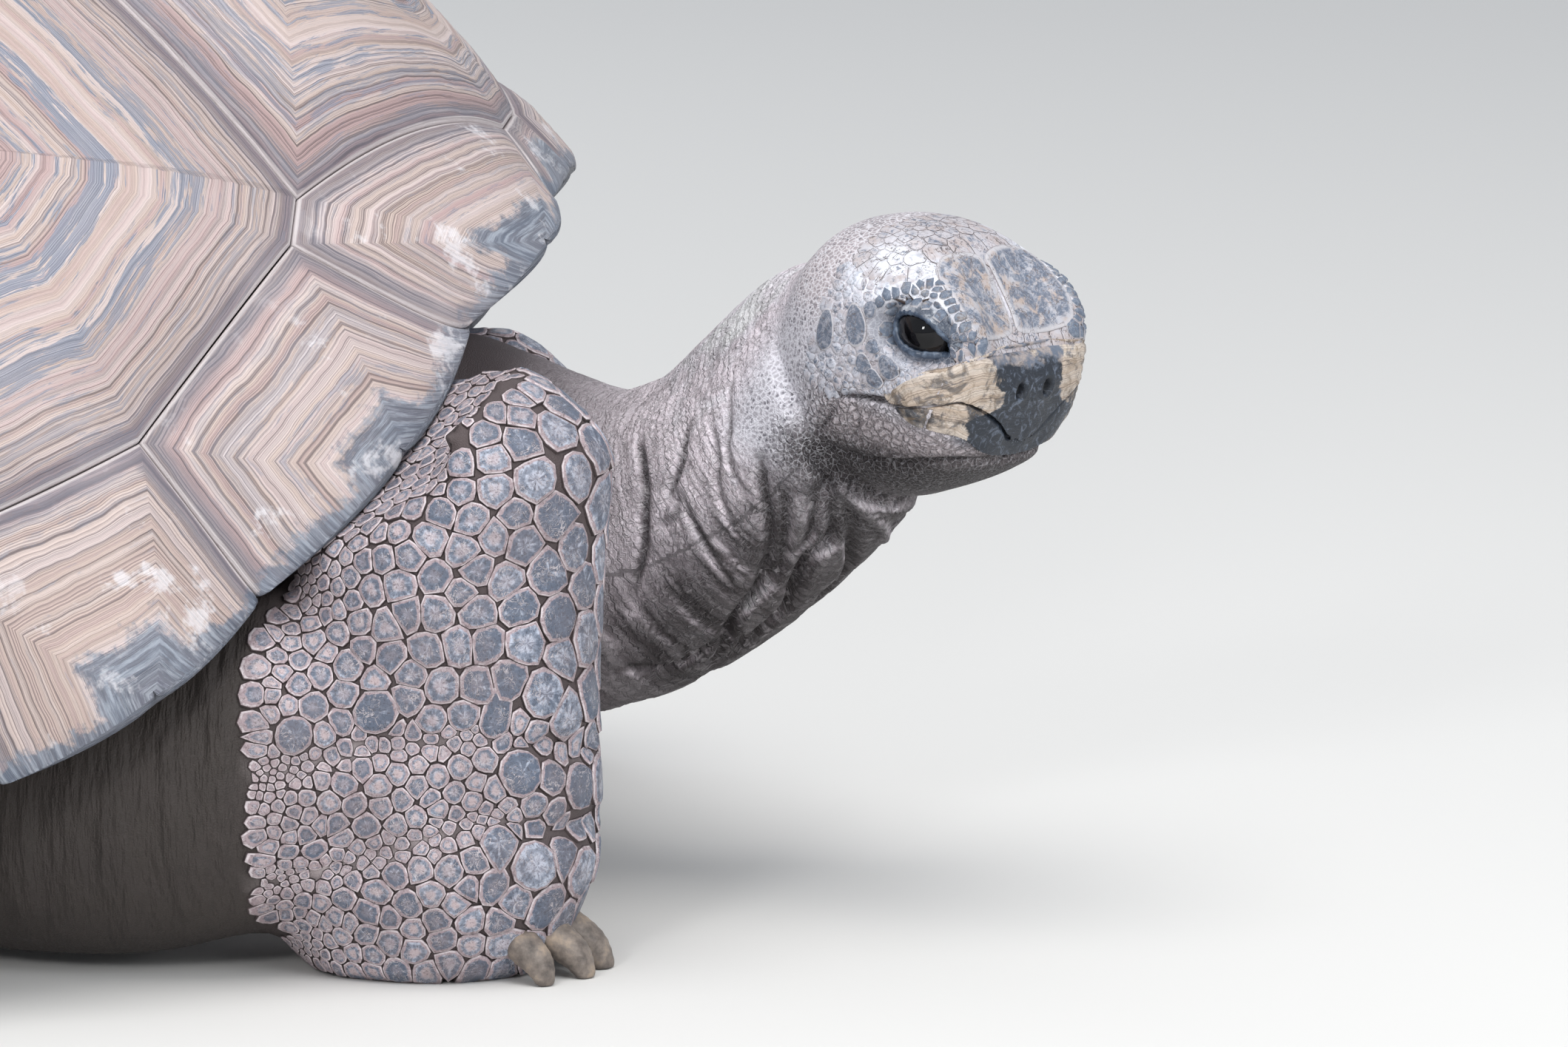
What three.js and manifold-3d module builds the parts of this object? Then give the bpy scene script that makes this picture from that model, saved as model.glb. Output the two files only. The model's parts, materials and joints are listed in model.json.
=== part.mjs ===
// Aldabra giant tortoise, life size, resting on its belly with the neck stretched out
// and the head turned to its right. Millimetres: +X forward, +Y to its left, +Z up.
// The origin is on the floor, at the flat underside of the plastron, below the crown.
import * as THREE from "three";
import { mergeVertices } from "three/addons/utils/BufferGeometryUtils.js";
import Module from "manifold-3d";

const wasm = await Module();
wasm.setup();

// ---------------------------------------------------------------- driving dimensions
const GAP = 1.1; // inset of each horn plate from its seam, along the ray from its middle
const CLEAR = 0.6; // clearance between a flesh piece and the next

const SHELL = {
  front: 505, // foremost rim, from the origin
  rear: 545, // hindmost rim
  halfWidth: 375,
  crownX: -20,
  crownZ: 505,
  frontPower: 2.6, // superellipse power of the outline's front half, seen from above
  rearPower: 2.3,
  rearSwell: 0.05, // how much wider the outline is behind than in front
  rimSide: 72, // height of the rim beside the bridge
  rimFrontRise: 192, // how far the rim climbs over the neck
  rimHindRise: 42, // how far it climbs over the hind legs
  plate: 13, // thickness of the horn and bone wall
  band: 0.78, // where the marginal plates end, on the way from crown to rim
};

// Degrees round the rim where the marginal plates part, and how far each one's edge stands out.
const RIM_ANGLES = [4, 19, 38.5, 54.3, 68, 80.5, 92, 103.5, 116, 130, 147, 166];
const SCALLOPS = [13, 11, 8, 4, 3, 3, 3, 5, 8, 9, 8];
// Seam corners on the left side; the right side mirrors them. A band corner is given in
// degrees round the shell, and the others as seen from above.
const BAND_CORNERS = {
  I3: 57, K1: 66, I4: 69.5, I5: 81, K2: 90.5, I6: 92.5, I7: 103.5, K3: 114, I8: 116.5,
  I9: 130, I10: 146, J5: 157, I11: 164,
};
const SEAM_CORNERS = {
  I0: [485, 24], J1: [420, 167], I1: [419, 181], I2: [370, 250],
  W12: [256, 108], L2: [172, 146], W23: [92, 98], L3: [-8, 152], W34: [-112, 94],
  L4: [-206, 140], W45: [-292, 84],
};

// The plates of one side, as the corners of their outlines; a name with a prime is the mirrored corner.
const SIDE_PLATES = {
  costal_1: ["J1", "I1", "I2", "I3", "K1", "L2", "W12"],
  costal_2: ["K1", "I4", "I5", "K2", "L3", "W23", "L2"],
  costal_3: ["K2", "I6", "I7", "K3", "L4", "W34", "L3"],
  costal_4: ["K3", "I8", "I9", "I10", "J5", "W45", "L4"],
  marginal_1: ["R0", "R1", "I1", "J1", "I0"],
  marginal_2: ["R1", "R2", "I2", "I1"],
  marginal_3: ["R2", "R3", "I3", "I2"],
  marginal_4: ["R3", "R4", "I4", "K1", "I3"],
  marginal_5: ["R4", "R5", "I5", "I4"],
  marginal_6: ["R5", "R6", "I6", "K2", "I5"],
  marginal_7: ["R6", "R7", "I7", "I6"],
  marginal_8: ["R7", "R8", "I8", "K3", "I7"],
  marginal_9: ["R8", "R9", "I9", "I8"],
  marginal_10: ["R9", "R10", "I10", "I9"],
  marginal_11: ["R10", "R11", "I11", "J5", "I10"],
};
const MIDDLE_PLATES = {
  nuchal: ["R0'", "R0", "I0", "I0'"],
  vertebral_1: ["I0", "J1", "W12", "W12'", "J1'", "I0'"],
  vertebral_2: ["W12", "L2", "W23", "W23'", "L2'", "W12'"],
  vertebral_3: ["W23", "L3", "W34", "W34'", "L3'", "W23'"],
  vertebral_4: ["W34", "L4", "W45", "W45'", "L4'", "W34'"],
  vertebral_5: ["W45", "J5", "I11", "I11'", "J5'", "W45'"],
  supracaudal: ["R11", "R11'", "I11'", "I11"],
};
const BULGE = { costal: 9, vertebral: 9, marginal: 5, nuchal: 3, supracaudal: 5 };

const HEAD = {
  eyes: new THREE.Vector3(673, -120, 229), // midway between the eyeballs
  yaw: -37, // degrees, turned to its right
  pitch: 18, // degrees, looking down
};

const rad = THREE.MathUtils.degToRad;
const clamp = THREE.MathUtils.clamp;
const lerp = THREE.MathUtils.lerp;
const smooth = (x, a, b) => THREE.MathUtils.smoothstep(x, a, b);
const bell = (x, middle, width) => Math.exp(-(((x - middle) / width) ** 2));

// ---------------------------------------------------------------- geometry helpers
// Moves every vertex of a closed three.js geometry by a function of its old place.
function sculpt(geometry, move) {
  const place = geometry.getAttribute("position");
  const v = new THREE.Vector3();
  const tidy = (x) => Math.round(x * 1e6) / 1e6 + 0; // so that a closing seam's two sides are alike
  for (let i = 0; i < place.count; i++) {
    v.set(tidy(place.getX(i)), tidy(place.getY(i)), tidy(place.getZ(i)));
    const to = move(v);
    place.setXYZ(i, to.x, to.y, to.z);
  }
  return geometry;
}

function solidOf(geometry) {
  const bare = geometry.index ? geometry.toNonIndexed() : geometry.clone();
  bare.deleteAttribute("normal");
  bare.deleteAttribute("uv");
  const merged = mergeVertices(bare, 1e-3);
  const solid = new wasm.Manifold(
    new wasm.Mesh({
      numProp: 3,
      vertProperties: merged.attributes.position.array,
      triVerts: new Uint32Array(merged.index.array),
    }),
  );
  return solid;
}

function geometryOf(solid) {
  const mesh = solid.getMesh();
  const place = new Float32Array(mesh.numVert * 3);
  for (let i = 0; i < mesh.numVert; i++) {
    for (let k = 0; k < 3; k++) place[3 * i + k] = mesh.vertProperties[mesh.numProp * i + k];
  }
  const geometry = new THREE.BufferGeometry();
  geometry.setAttribute("position", new THREE.BufferAttribute(place, 3));
  geometry.setIndex(new THREE.BufferAttribute(new Uint32Array(mesh.triVerts), 1));
  geometry.computeVertexNormals();
  return geometry;
}

// ---------------------------------------------------------------- the dome of the shell
// The dome is drawn on a unit disc: its middle is the crown and its edge the rim.
function rimHeight(angle) {
  const degrees = Math.abs(THREE.MathUtils.radToDeg(angle));
  const climb = 1 - smooth(degrees, 3, 64);
  return SHELL.rimSide + SHELL.rimFrontRise * climb + SHELL.rimHindRise * bell(degrees, 132, 20);
}

// How far a marginal plate's edge stands out between its seams.
function scallop(angle, radius) {
  const degrees = Math.abs(THREE.MathUtils.radToDeg(angle));
  const i = RIM_ANGLES.findIndex((edge, k) => degrees >= edge && degrees < RIM_ANGLES[k + 1]);
  if (i < 0 || i >= SCALLOPS.length) return 0;
  const share = (degrees - RIM_ANGLES[i]) / (RIM_ANGLES[i + 1] - RIM_ANGLES[i]);
  const worn = i === 0 && angle > 0 ? 0.35 : 1; // the first plate of the left side
  return worn * SCALLOPS[i] * Math.sin(Math.PI * share) * clamp((radius - 0.7) / 0.3, 0, 1) ** 2;
}

function domePoint(u, v, edged = true) {
  const radius = Math.hypot(u, v);
  const angle = Math.atan2(v, u);
  const c = Math.cos(angle);
  const s = Math.sin(angle);
  const power = 2 / (c > 0 ? SHELL.frontPower : SHELL.rearPower);
  const reach = c > 0 ? SHELL.front - SHELL.crownX : SHELL.rear + SHELL.crownX;
  const fall = (Math.min(radius, 1.2) * Math.PI) / 2;
  const out = radius > 1 ? 1 + (radius - 1) : Math.sin(fall);
  const x = SHELL.crownX + Math.sign(c) * reach * Math.abs(c) ** power * out;
  const width = SHELL.halfWidth * (1 - (SHELL.rearSwell * x) / SHELL.rear);
  const y = Math.sign(s) * width * Math.abs(s) ** power * out;
  const steep = 2 * (0.62 + 0.26 * Math.max(c, 0) ** 1.5 + 0.08 * Math.max(-c, 0));
  const rim = rimHeight(angle);
  const rise = Math.max(Math.cos(Math.min(fall, Math.PI / 2)), 0) ** steep;
  const edge = edged ? scallop(angle, radius) / Math.hypot(x - SHELL.crownX, y, 1) : 0;
  return new THREE.Vector3(
    x + (x - SHELL.crownX) * edge,
    y + y * edge,
    rim + (SHELL.crownZ - rim) * rise,
  );
}

function domeNormal(u, v) {
  const d = 0.004;
  const pull = Math.min(1, 0.992 / Math.max(Math.hypot(u, v), 1e-6));
  const at = (du, dv) => domePoint(u * pull + du, v * pull + dv, false);
  const a = at(d, 0).sub(at(-d, 0));
  const b = at(0, d).sub(at(0, -d));
  return a.cross(b).normalize();
}

// The place on the unit disc of a point of the dome, seen from above.
function discPlace(x, y) {
  const reach = x > SHELL.crownX ? SHELL.front - SHELL.crownX : SHELL.rear + SHELL.crownX;
  const width = SHELL.halfWidth * (1 - (SHELL.rearSwell * x) / SHELL.rear);
  const along = Math.abs(x - SHELL.crownX) / reach;
  const across = Math.abs(y) / width;
  const n = x > SHELL.crownX ? SHELL.frontPower : SHELL.rearPower;
  const out = (along ** n + across ** n) ** (1 / n);
  const radius = Math.asin(Math.min(out, 1)) / (Math.PI / 2);
  const angle = Math.atan2((across / out) ** (n / 2), Math.sign(x - SHELL.crownX) * (along / out) ** (n / 2));
  return new THREE.Vector2(radius * Math.cos(angle), Math.sign(y) * radius * Math.sin(angle));
}

function seamCorner(name) {
  const mirrored = name.endsWith("'");
  const key = mirrored ? name.slice(0, -1) : name;
  let place;
  if (key[0] === "R") {
    const angle = rad(RIM_ANGLES[Number(key.slice(1))]);
    place = new THREE.Vector2(Math.cos(angle), Math.sin(angle));
  } else if (key in BAND_CORNERS) {
    const angle = rad(BAND_CORNERS[key]);
    place = new THREE.Vector2(Math.cos(angle), Math.sin(angle)).multiplyScalar(SHELL.band);
  } else {
    place = discPlace(...SEAM_CORNERS[key]);
  }
  return mirrored ? new THREE.Vector2(place.x, -place.y) : place;
}

// A plate's outline on the disc: straight seams in two steps, the rim in three along its arc.
function plateOutline(corners, side) {
  const points = [];
  corners.forEach((name, i) => {
    const next = corners[(i + 1) % corners.length];
    const a = seamCorner(name);
    const b = seamCorner(next);
    const onRim = name[0] === "R" && next[0] === "R";
    const steps = onRim ? 3 : 2;
    for (let k = 0; k < steps; k++) {
      const p = a.clone().lerp(b, k / steps);
      if (onRim) p.normalize();
      points.push(new THREE.Vector2(p.x, p.y * side));
    }
  });
  return points;
}

function middleOf(points) {
  const middle = new THREE.Vector2();
  for (const p of points) middle.addScaledVector(p, 1 / points.length);
  return middle;
}

// One plate of horn: a puck whose rings run from its middle to its seams.
function plateGeometry(outline, bulge) {
  const rings = bulge > 6 ? [0.45, 0.8, 1] : [0.68, 1];
  const profile = [new THREE.Vector2(0, 0)];
  profile.push(new THREE.Vector2(1, 0));
  for (const r of rings.slice().reverse()) profile.push(new THREE.Vector2(r, 1));
  profile.push(new THREE.Vector2(0, 1));
  const puck = new THREE.LatheGeometry(profile, outline.length);
  const middle = middleOf(outline);
  return sculpt(puck, (v) => {
    const r = Math.hypot(v.x, v.z);
    const turn = Math.atan2(v.x, v.z) / (2 * Math.PI);
    const k = (Math.round(turn * outline.length) + outline.length) % outline.length;
    const edge = outline[k];
    const span = domePoint(edge.x, edge.y).distanceTo(domePoint(middle.x, middle.y));
    const q = middle.clone().lerp(edge, r * (1 - GAP / span));
    const lift = v.y > 0.5 ? bulge * (1 - r ** 2.5) : -SHELL.plate;
    return domePoint(q.x, q.y).addScaledVector(domeNormal(q.x, q.y), lift);
  });
}

// ---------------------------------------------------------------- the plastron
const PLASTRON = {
  front: 335,
  rear: -395,
  lobe: 195, // half width of the front and hind lobes
  bridge: 342, // half width at the bridge
  bridgeRise: 88, // how high the bridge climbs
  plate: 16,
  seams: [335, 268, 175, 75, -160, -262, -395], // from the gular plates back to the anal ones
};
const PLASTRON_PLATES = ["gular", "humeral", "pectoral", "abdominal", "femoral", "anal"];

function plastronHalf(x) {
  const bridge = smooth(x, -215, -150) * (1 - smooth(x, 150, 215));
  const frontTaper = 1 - 0.62 * smooth(x, 190, PLASTRON.front + 30);
  const rearTaper = 1 - 0.5 * smooth(-x, 200, -PLASTRON.rear + 20);
  return lerp(PLASTRON.lobe * frontTaper * rearTaper, PLASTRON.bridge, bridge);
}

function plastronPoint(x, across, thickness) {
  const half = plastronHalf(x);
  const bridge = smooth(x, -215, -150) * (1 - smooth(x, 150, 215));
  const climb = smooth(Math.abs(across), 0.55, 1) ** 1.2;
  const curl = 26 * smooth(x, 200, PLASTRON.front) + 14 * smooth(-x, 280, 400);
  const rise = climb * lerp(20, PLASTRON.bridgeRise, bridge) + curl;
  return new THREE.Vector3(x, across * half, rise + thickness);
}

function plastronPlate(from, to, inset = 0.25) {
  const box = new THREE.BoxGeometry(1, 1, 1, 2, 8, 1);
  return sculpt(box, (v) => {
    const x = lerp(to + inset, from - inset, v.x + 0.5);
    return plastronPoint(x, v.y * 2, v.z > 0 ? PLASTRON.plate : 0);
  });
}

// The room the plastron takes up: each plate as it is, and a little wider, higher and lower.
function plastronRoom() {
  const room = [];
  for (const lift of [0, 1.6, -1.6]) {
    for (let i = 0; i < PLASTRON_PLATES.length; i++) {
      const plate = plastronPlate(PLASTRON.seams[i], PLASTRON.seams[i + 1], lift ? -0.1 : 0.25);
      if (lift) plate.scale(1.002, 1.005, 1).translate(0, 0, lift);
      room.push(solidOf(plate));
    }
  }
  return room;
}

// ---------------------------------------------------------------- flesh
// A ball drawn out along a curve. width and height are half sizes along it; t runs from 0 to 1.
function sweep({ points, width, height, sideways, around = 16, along = 14, grow = 0 }) {
  const curve = new THREE.CatmullRomCurve3(points.map((p) => new THREE.Vector3(...p)), false, "centripetal");
  const ball = new THREE.SphereGeometry(1, around, along);
  const side = new THREE.Vector3(...sideways);
  return sculpt(ball, (v) => {
    const t = clamp(Math.acos(clamp(v.y, -1, 1)) / Math.PI, 0, 1);
    const ring = Math.hypot(v.x, v.z);
    const angle = Math.atan2(v.z, v.x);
    const tangent = curve.getTangent(t);
    const up = new THREE.Vector3().crossVectors(tangent, side).normalize();
    const across = new THREE.Vector3().crossVectors(up, tangent).normalize();
    const round = ring < 1e-4 ? 0 : Math.min(1, ring / 0.55) ** 0.6;
    const p = curve.getPoint(t);
    p.addScaledVector(across, Math.cos(angle) * round * (width(t) + grow));
    p.addScaledVector(up, Math.sin(angle) * round * (height(t) + grow));
    if (ring < 1e-4) p.addScaledVector(tangent, t < 0.5 ? -grow : grow);
    return p;
  });
}

// A number read off evenly spaced values, joined smoothly.
function along(...values) {
  const curve = new THREE.CatmullRomCurve3(
    values.map((value, i) => new THREE.Vector3(i, value, 0)), false, "catmullrom", 0.5);
  return (t) => curve.getPoint(clamp(t, 0, 1)).y;
}

function trunkGeometry(grow) {
  const ball = new THREE.SphereGeometry(1, 24, 8);
  const inside = 30 - grow; // below the outer face of the shell
  const above = PLASTRON.plate + 9 - grow; // above the floor of the plastron
  return sculpt(ball, (v) => {
    const polar = Math.acos(clamp(v.y, -1, 1)) / Math.PI; // 0 on top, 1 below
    const angle = Math.atan2(-v.z + 0, v.x);
    const upper = clamp(polar / 0.5, 0, 1);
    const lower = clamp((1 - polar) / 0.5, 0, 1);
    const degrees = Math.abs(THREE.MathUtils.radToDeg(angle));
    const open = 0.05 * (1 - smooth(degrees, 40, 70)) + 0.03 * smooth(degrees, 120, 150);
    const top = (0.93 - open) * upper;
    const u = top * Math.cos(angle);
    const w = top * Math.sin(angle);
    const roof = domePoint(u, w).addScaledVector(domeNormal(u, w), -inside);
    if (polar <= 0.5) return roof;
    const floorX = clamp(roof.x, PLASTRON.rear + 30, PLASTRON.front - 20) * lower;
    const half = plastronHalf(floorX) - 12;
    const floorY = clamp(roof.y, -half, half) * lower;
    const base = plastronPoint(floorX, floorY / plastronHalf(floorX), above);
    return base.add(new THREE.Vector3(base.x, base.y, 0).multiplyScalar(grow / 120));
  });
}

const NECK = {
  points: [
    [380, -5, 135], [470, -18, 128], [540, -40, 133],
    [585, -66, 158], [620, -90, 192], [645, -104, 212],
  ],
  width: [118, 86, 58, 47, 44, 38],
  height: [104, 80, 59, 49, 44, 38],
};

const neckGeometry = (grow) =>
  sweep({
    points: NECK.points,
    width: along(...NECK.width),
    height: along(...NECK.height),
    sideways: [0, 1, 0],
    around: 16,
    along: 12,
    grow,
  });

// The head in its own frame: x forward and z up from the point between the eyes, y to its left.
const SKULL = {
  middle: -5, // where it is widest between snout and eyes
  snout: 33, // from there to the snout
  back: 76, // and to the nape
  // From the snout to the nape, at even steps of the angle round the skull:
  width: [0, 26, 38.5, 43.5, 46, 49, 44, 29, 0],
  top: [-13, 9, 20, 24.5, 25.5, 24.5, 16, 2, -15],
  bottom: [-26, -46, -55, -64, -73, -82, -77, -56, -20],
  power: 2.4, // squareness of its cross-section
};
const EYE = { radius: 13, back: 2, out: 31 };

function skullGeometry(grow) {
  const ball = new THREE.SphereGeometry(1, 20, 14);
  const width = along(...SKULL.width);
  const top = along(...SKULL.top);
  const bottom = along(...SKULL.bottom);
  return sculpt(ball, (v) => {
    const t = Math.acos(clamp(v.y, -1, 1)) / Math.PI;
    const x = SKULL.middle + v.y * (v.y > 0 ? SKULL.snout + grow : SKULL.back + grow);
    const angle = Math.atan2(v.z, -v.x + 0);
    const ring = Math.hypot(v.x, v.z) > 1e-4 ? 1 : 0;
    const across = Math.sign(Math.cos(angle)) * Math.abs(Math.cos(angle)) ** (2 / SKULL.power) * ring;
    const up = Math.sign(Math.sin(angle)) * Math.abs(Math.sin(angle)) ** (2 / SKULL.power) * ring;
    const middle = lerp(-23, -19, t);
    const y = across * (width(t) + grow);
    const reach = up > 0 ? top(t) - middle : middle - bottom(t);
    const z = middle + up * (reach + grow);
    const brow = 2.5 * bell(x, 3, 12) * bell(z, 14, 9) * smooth(Math.abs(y), 20, 40);
    const cheek = 2 * bell(x, 10, 12) * bell(z, -24, 9) * smooth(Math.abs(y), 15, 34);
    return new THREE.Vector3(x, y + Math.sign(y) * (brow + cheek), z);
  });
}

// Turns a solid in the head's frame into its place.
const headPlace = new THREE.Matrix4()
  .makeRotationFromEuler(new THREE.Euler(0, rad(HEAD.pitch), rad(HEAD.yaw), "ZYX"))
  .setPosition(HEAD.eyes);
const inHead = (geometry) => solidOf(geometry.applyMatrix4(headPlace));

const BEAK = {
  corner: -17, // the corner of the mouth, from between the eyes
  line: -36.5, // height of the mouth line
  slit: 0.6,
  // The upper beak's side outline, x and z.
  outline: [
    [-17, -36], [-8, -30], [0, -25.5], [7, -20], [13, -17],
    [20, -23], [30, -24], [45, -24], [45, -36],
  ],
};

function jawBlock(slack) {
  const block = new THREE.BoxGeometry(70, 140, 60);
  return block.translate(BEAK.corner + 35 - slack, 0, BEAK.line - 30 - BEAK.slit / 2 + slack);
}

function beakBlock(slack) {
  const corners = BEAK.outline.map(([x, z]) => {
    const higher = z > BEAK.line + 0.6 ? slack : 0;
    return new THREE.Vector2(x < 0 ? x - 2 * slack : x, z + higher);
  });
  const shape = new THREE.Shape(corners);
  const slab = new THREE.ExtrudeGeometry(shape, { depth: 140, bevelEnabled: false });
  return slab.rotateX(Math.PI / 2).translate(0, 70, 0);
}

function eyeGeometry(side) {
  return new THREE.SphereGeometry(EYE.radius, 12, 7).translate(-EYE.back, side * EYE.out, 0);
}

// The hollow an eye sits in, open between the lids.
function orbitGeometry(side) {
  const hollow = new THREE.SphereGeometry(EYE.radius + CLEAR, 12, 7);
  return sculpt(hollow, (v) => {
    const outer = smooth(v.y * side, 4, EYE.radius);
    return new THREE.Vector3(
      v.x * (1 - 0.05 * outer) - EYE.back,
      v.y * (v.y * side > 0 ? 2.2 : 1) + side * EYE.out,
      v.z * (1 - 0.2 * outer),
    );
  });
}

// A leg is two sweeps, the arm out of the trunk and the pillar down to the sole, with its
// claws, all cut flat at the floor.
function legSolid({ arm, pillar, claws }) {
  let solid = solidOf(sweep({ around: 12, along: 10, ...pillar }));
  solid = solid.add(solidOf(sweep({ around: 10, along: 8, ...arm })));
  for (const claw of claws) solid = solid.add(solidOf(clawGeometry(claw)));
  const under = new THREE.BoxGeometry(2000, 2000, 200).translate(0, 0, -100);
  return solid.subtract(solidOf(under));
}

function clawGeometry({ at, turn, length }) {
  const horn = new THREE.SphereGeometry(1, 6, 4);
  horn.scale(length / 2, 9, 9).rotateY(rad(28));
  return horn.rotateZ(rad(turn)).translate(...at);
}

// Claws round the front of a foot whose sole is an ellipse, from one angle to another.
function fan({ centre, reach, turn, spread, count, length }) {
  const claws = [];
  for (let i = 0; i < count; i++) {
    const off = rad(lerp(-spread, spread, i / (count - 1)));
    const ahead = reach[0] * Math.cos(off);
    const aside = reach[1] * Math.sin(off);
    const yaw = rad(turn);
    const x = centre[0] + ahead * Math.cos(yaw) - aside * Math.sin(yaw);
    const y = centre[1] + ahead * Math.sin(yaw) + aside * Math.cos(yaw);
    claws.push({ at: [x, y, 10], turn: turn + THREE.MathUtils.radToDeg(off) * 0.8, length });
  }
  return claws;
}

const mirror = ([x, y, z]) => [x, -y, z];
const FORE_ARM = { width: along(50, 54, 53, 50), height: along(56, 59, 64, 60), sideways: [0, 1, 0] };
const THIGH = {
  points: [[-190, 70, 92], [-270, 140, 84], [-345, 205, 72], [-385, 240, 62]],
  width: along(52, 54, 54, 48),
  height: along(46, 46, 46, 42),
  sideways: [0.6, -0.8, 0],
};
const SHIN = {
  points: [[-382, 246, 108], [-388, 250, 70], [-392, 254, 30], [-392, 256, -50]],
  width: along(46, 52, 55, 56),
  height: along(44, 50, 52, 53),
  sideways: [1, 0, 0],
};
const LEGS = {
  right_foreleg: {
    arm: { ...FORE_ARM, points: [[225, -150, 82], [310, -200, 62], [390, -216, 74], [472, -206, 112]] },
    pillar: {
      points: [[488, -200, 231], [482, -202, 185], [475, -205, 125], [470, -206, 65], [474, -207, -50]],
      width: along(62, 58, 60, 65, 64),
      height: along(44, 49, 52, 52, 52),
      sideways: [1, 0, 0],
    },
    claws: fan({ centre: [474, -207], reach: [56, 46], turn: 0, spread: 62, count: 5, length: 34 }),
  },
  left_foreleg: {
    arm: { ...FORE_ARM, points: [[225, 150, 80], [300, 196, 60], [370, 214, 66], [445, 208, 96]] },
    pillar: {
      points: [[470, 206, 178], [459, 207, 142], [448, 209, 95], [438, 210, 45], [438, 210, -50]],
      width: along(46, 50, 58, 63, 62),
      height: along(42, 48, 52, 52, 52),
      sideways: [1, 0, 0],
    },
    claws: fan({ centre: [438, 210], reach: [54, 46], turn: 8, spread: 62, count: 5, length: 34 }),
  },
  left_hind_leg: {
    arm: THIGH,
    pillar: SHIN,
    claws: fan({ centre: [-392, 255], reach: [48, 46], turn: 60, spread: 55, count: 4, length: 34 }),
  },
  right_hind_leg: {
    arm: { ...THIGH, points: THIGH.points.map(mirror), sideways: [0.6, 0.8, 0] },
    pillar: { ...SHIN, points: SHIN.points.map(mirror) },
    claws: fan({ centre: [-392, -255], reach: [48, 46], turn: -60, spread: 55, count: 4, length: 34 }),
  },
};

function tailSolid() {
  const cone = sweep({
    points: [[-395, 0, 84], [-460, 6, 62], [-505, 30, 40], [-522, 66, 24], [-512, 104, 14]],
    width: along(34, 30, 22, 14, 6),
    height: along(34, 30, 22, 14, 6),
    sideways: [0, 1, 0],
    around: 10,
    along: 11,
  });
  return solidOf(cone);
}

// The room the carapace takes up, a little thicker than its plates; flesh is cut back to it.
function shellRoom() {
  const slack = 6;
  const rings = [0, 0.6, 0.8, 0.92, 1.01];
  const profile = [...rings.map((r) => [r, 0]), ...rings.map((r) => [r, 1]).reverse()];
  const puck = new THREE.LatheGeometry(profile.map(([r, z]) => new THREE.Vector2(r, z)), 56);
  return solidOf(sculpt(puck, (v) => {
    const lift = v.y > 0.5 ? 40 : -SHELL.plate - slack;
    return domePoint(v.z, v.x).addScaledVector(domeNormal(v.z, v.x), lift);
  }));
}

function mesh(name, geometry, colour, roughness) {
  const material = new THREE.MeshStandardMaterial({ color: colour, roughness, metalness: 0 });
  const made = new THREE.Mesh(geometry, material);
  made.name = name;
  return made;
}

const tortoise = new THREE.Group();
const HORN = 0x9c8672;
const SKIN = 0x6b625e;
const BLACK = 0x14110f;

for (const [name, corners] of Object.entries(MIDDLE_PLATES)) {
  const outline = plateOutline(corners, 1);
  tortoise.add(mesh(name, plateGeometry(outline, BULGE[name.split("_")[0]]), HORN, 0.55));
}
for (const [name, corners] of Object.entries(SIDE_PLATES)) {
  for (const [word, side] of [["left", 1], ["right", -1]]) {
    const outline = plateOutline(corners, side);
    if (side < 0) outline.reverse();
    tortoise.add(mesh(`${name}_${word}`, plateGeometry(outline, BULGE[name.split("_")[0]]), HORN, 0.55));
  }
}
PLASTRON_PLATES.forEach((name, i) => {
  const plate = plastronPlate(PLASTRON.seams[i], PLASTRON.seams[i + 1]);
  tortoise.add(mesh(`${name}_plates`, plate, HORN, 0.6));
});

const shell = shellRoom();
const bellyRoom = plastronRoom();

// Cuts the shell's room off a piece of flesh and keeps the piece that is left inside.
function clearOfShell(solid) {
  const left = bellyRoom.reduce((rest, plate) => rest.subtract(plate), solid.subtract(shell));
  return left.simplify(0.05).decompose().sort((a, b) => b.volume() - a.volume())[0];
}

const skull = inHead(skullGeometry(0));
const skullRoom = inHead(skullGeometry(CLEAR));
const trunk = solidOf(trunkGeometry(0));
const trunkRoom = solidOf(trunkGeometry(2 * CLEAR));
const neck = solidOf(neckGeometry(0));
const neckRoom = solidOf(neckGeometry(CLEAR));

tortoise.add(mesh("trunk", geometryOf(clearOfShell(trunk)), SKIN, 0.8));
tortoise.add(mesh("neck", geometryOf(clearOfShell(neck.subtract(skullRoom).subtract(trunkRoom))), SKIN, 0.8));
let head = skull;
for (const side of [1, -1]) {
  head = head.subtract(inHead(orbitGeometry(side)));
  const ball = eyeGeometry(side).applyMatrix4(headPlace);
  tortoise.add(mesh(side > 0 ? "left_eye" : "right_eye", ball, BLACK, 0.1));
}
const jaw = head.intersect(inHead(jawBlock(0)));
const beak = head.intersect(inHead(beakBlock(0)));
head = head.subtract(inHead(jawBlock(CLEAR))).subtract(inHead(beakBlock(CLEAR)));
tortoise.add(mesh("head", geometryOf(head), SKIN, 0.7));
tortoise.add(mesh("lower_jaw", geometryOf(jaw), SKIN, 0.6));
tortoise.add(mesh("upper_beak", geometryOf(beak), HORN, 0.45));
for (const [name, sizes] of Object.entries(LEGS)) {
  const leg = clearOfShell(legSolid(sizes).subtract(trunkRoom).subtract(trunk).subtract(neckRoom));
  tortoise.add(mesh(name, geometryOf(leg), SKIN, 0.8));
}
tortoise.add(mesh("tail", geometryOf(clearOfShell(tailSolid().subtract(trunkRoom))), SKIN, 0.8));

export default tortoise;
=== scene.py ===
import json
import logging
import math
from dataclasses import dataclass, field
from enum import Enum
from typing import Callable, Sequence

import bpy
import numpy as np
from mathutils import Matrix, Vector
from mathutils.bvhtree import BVHTree

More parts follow.
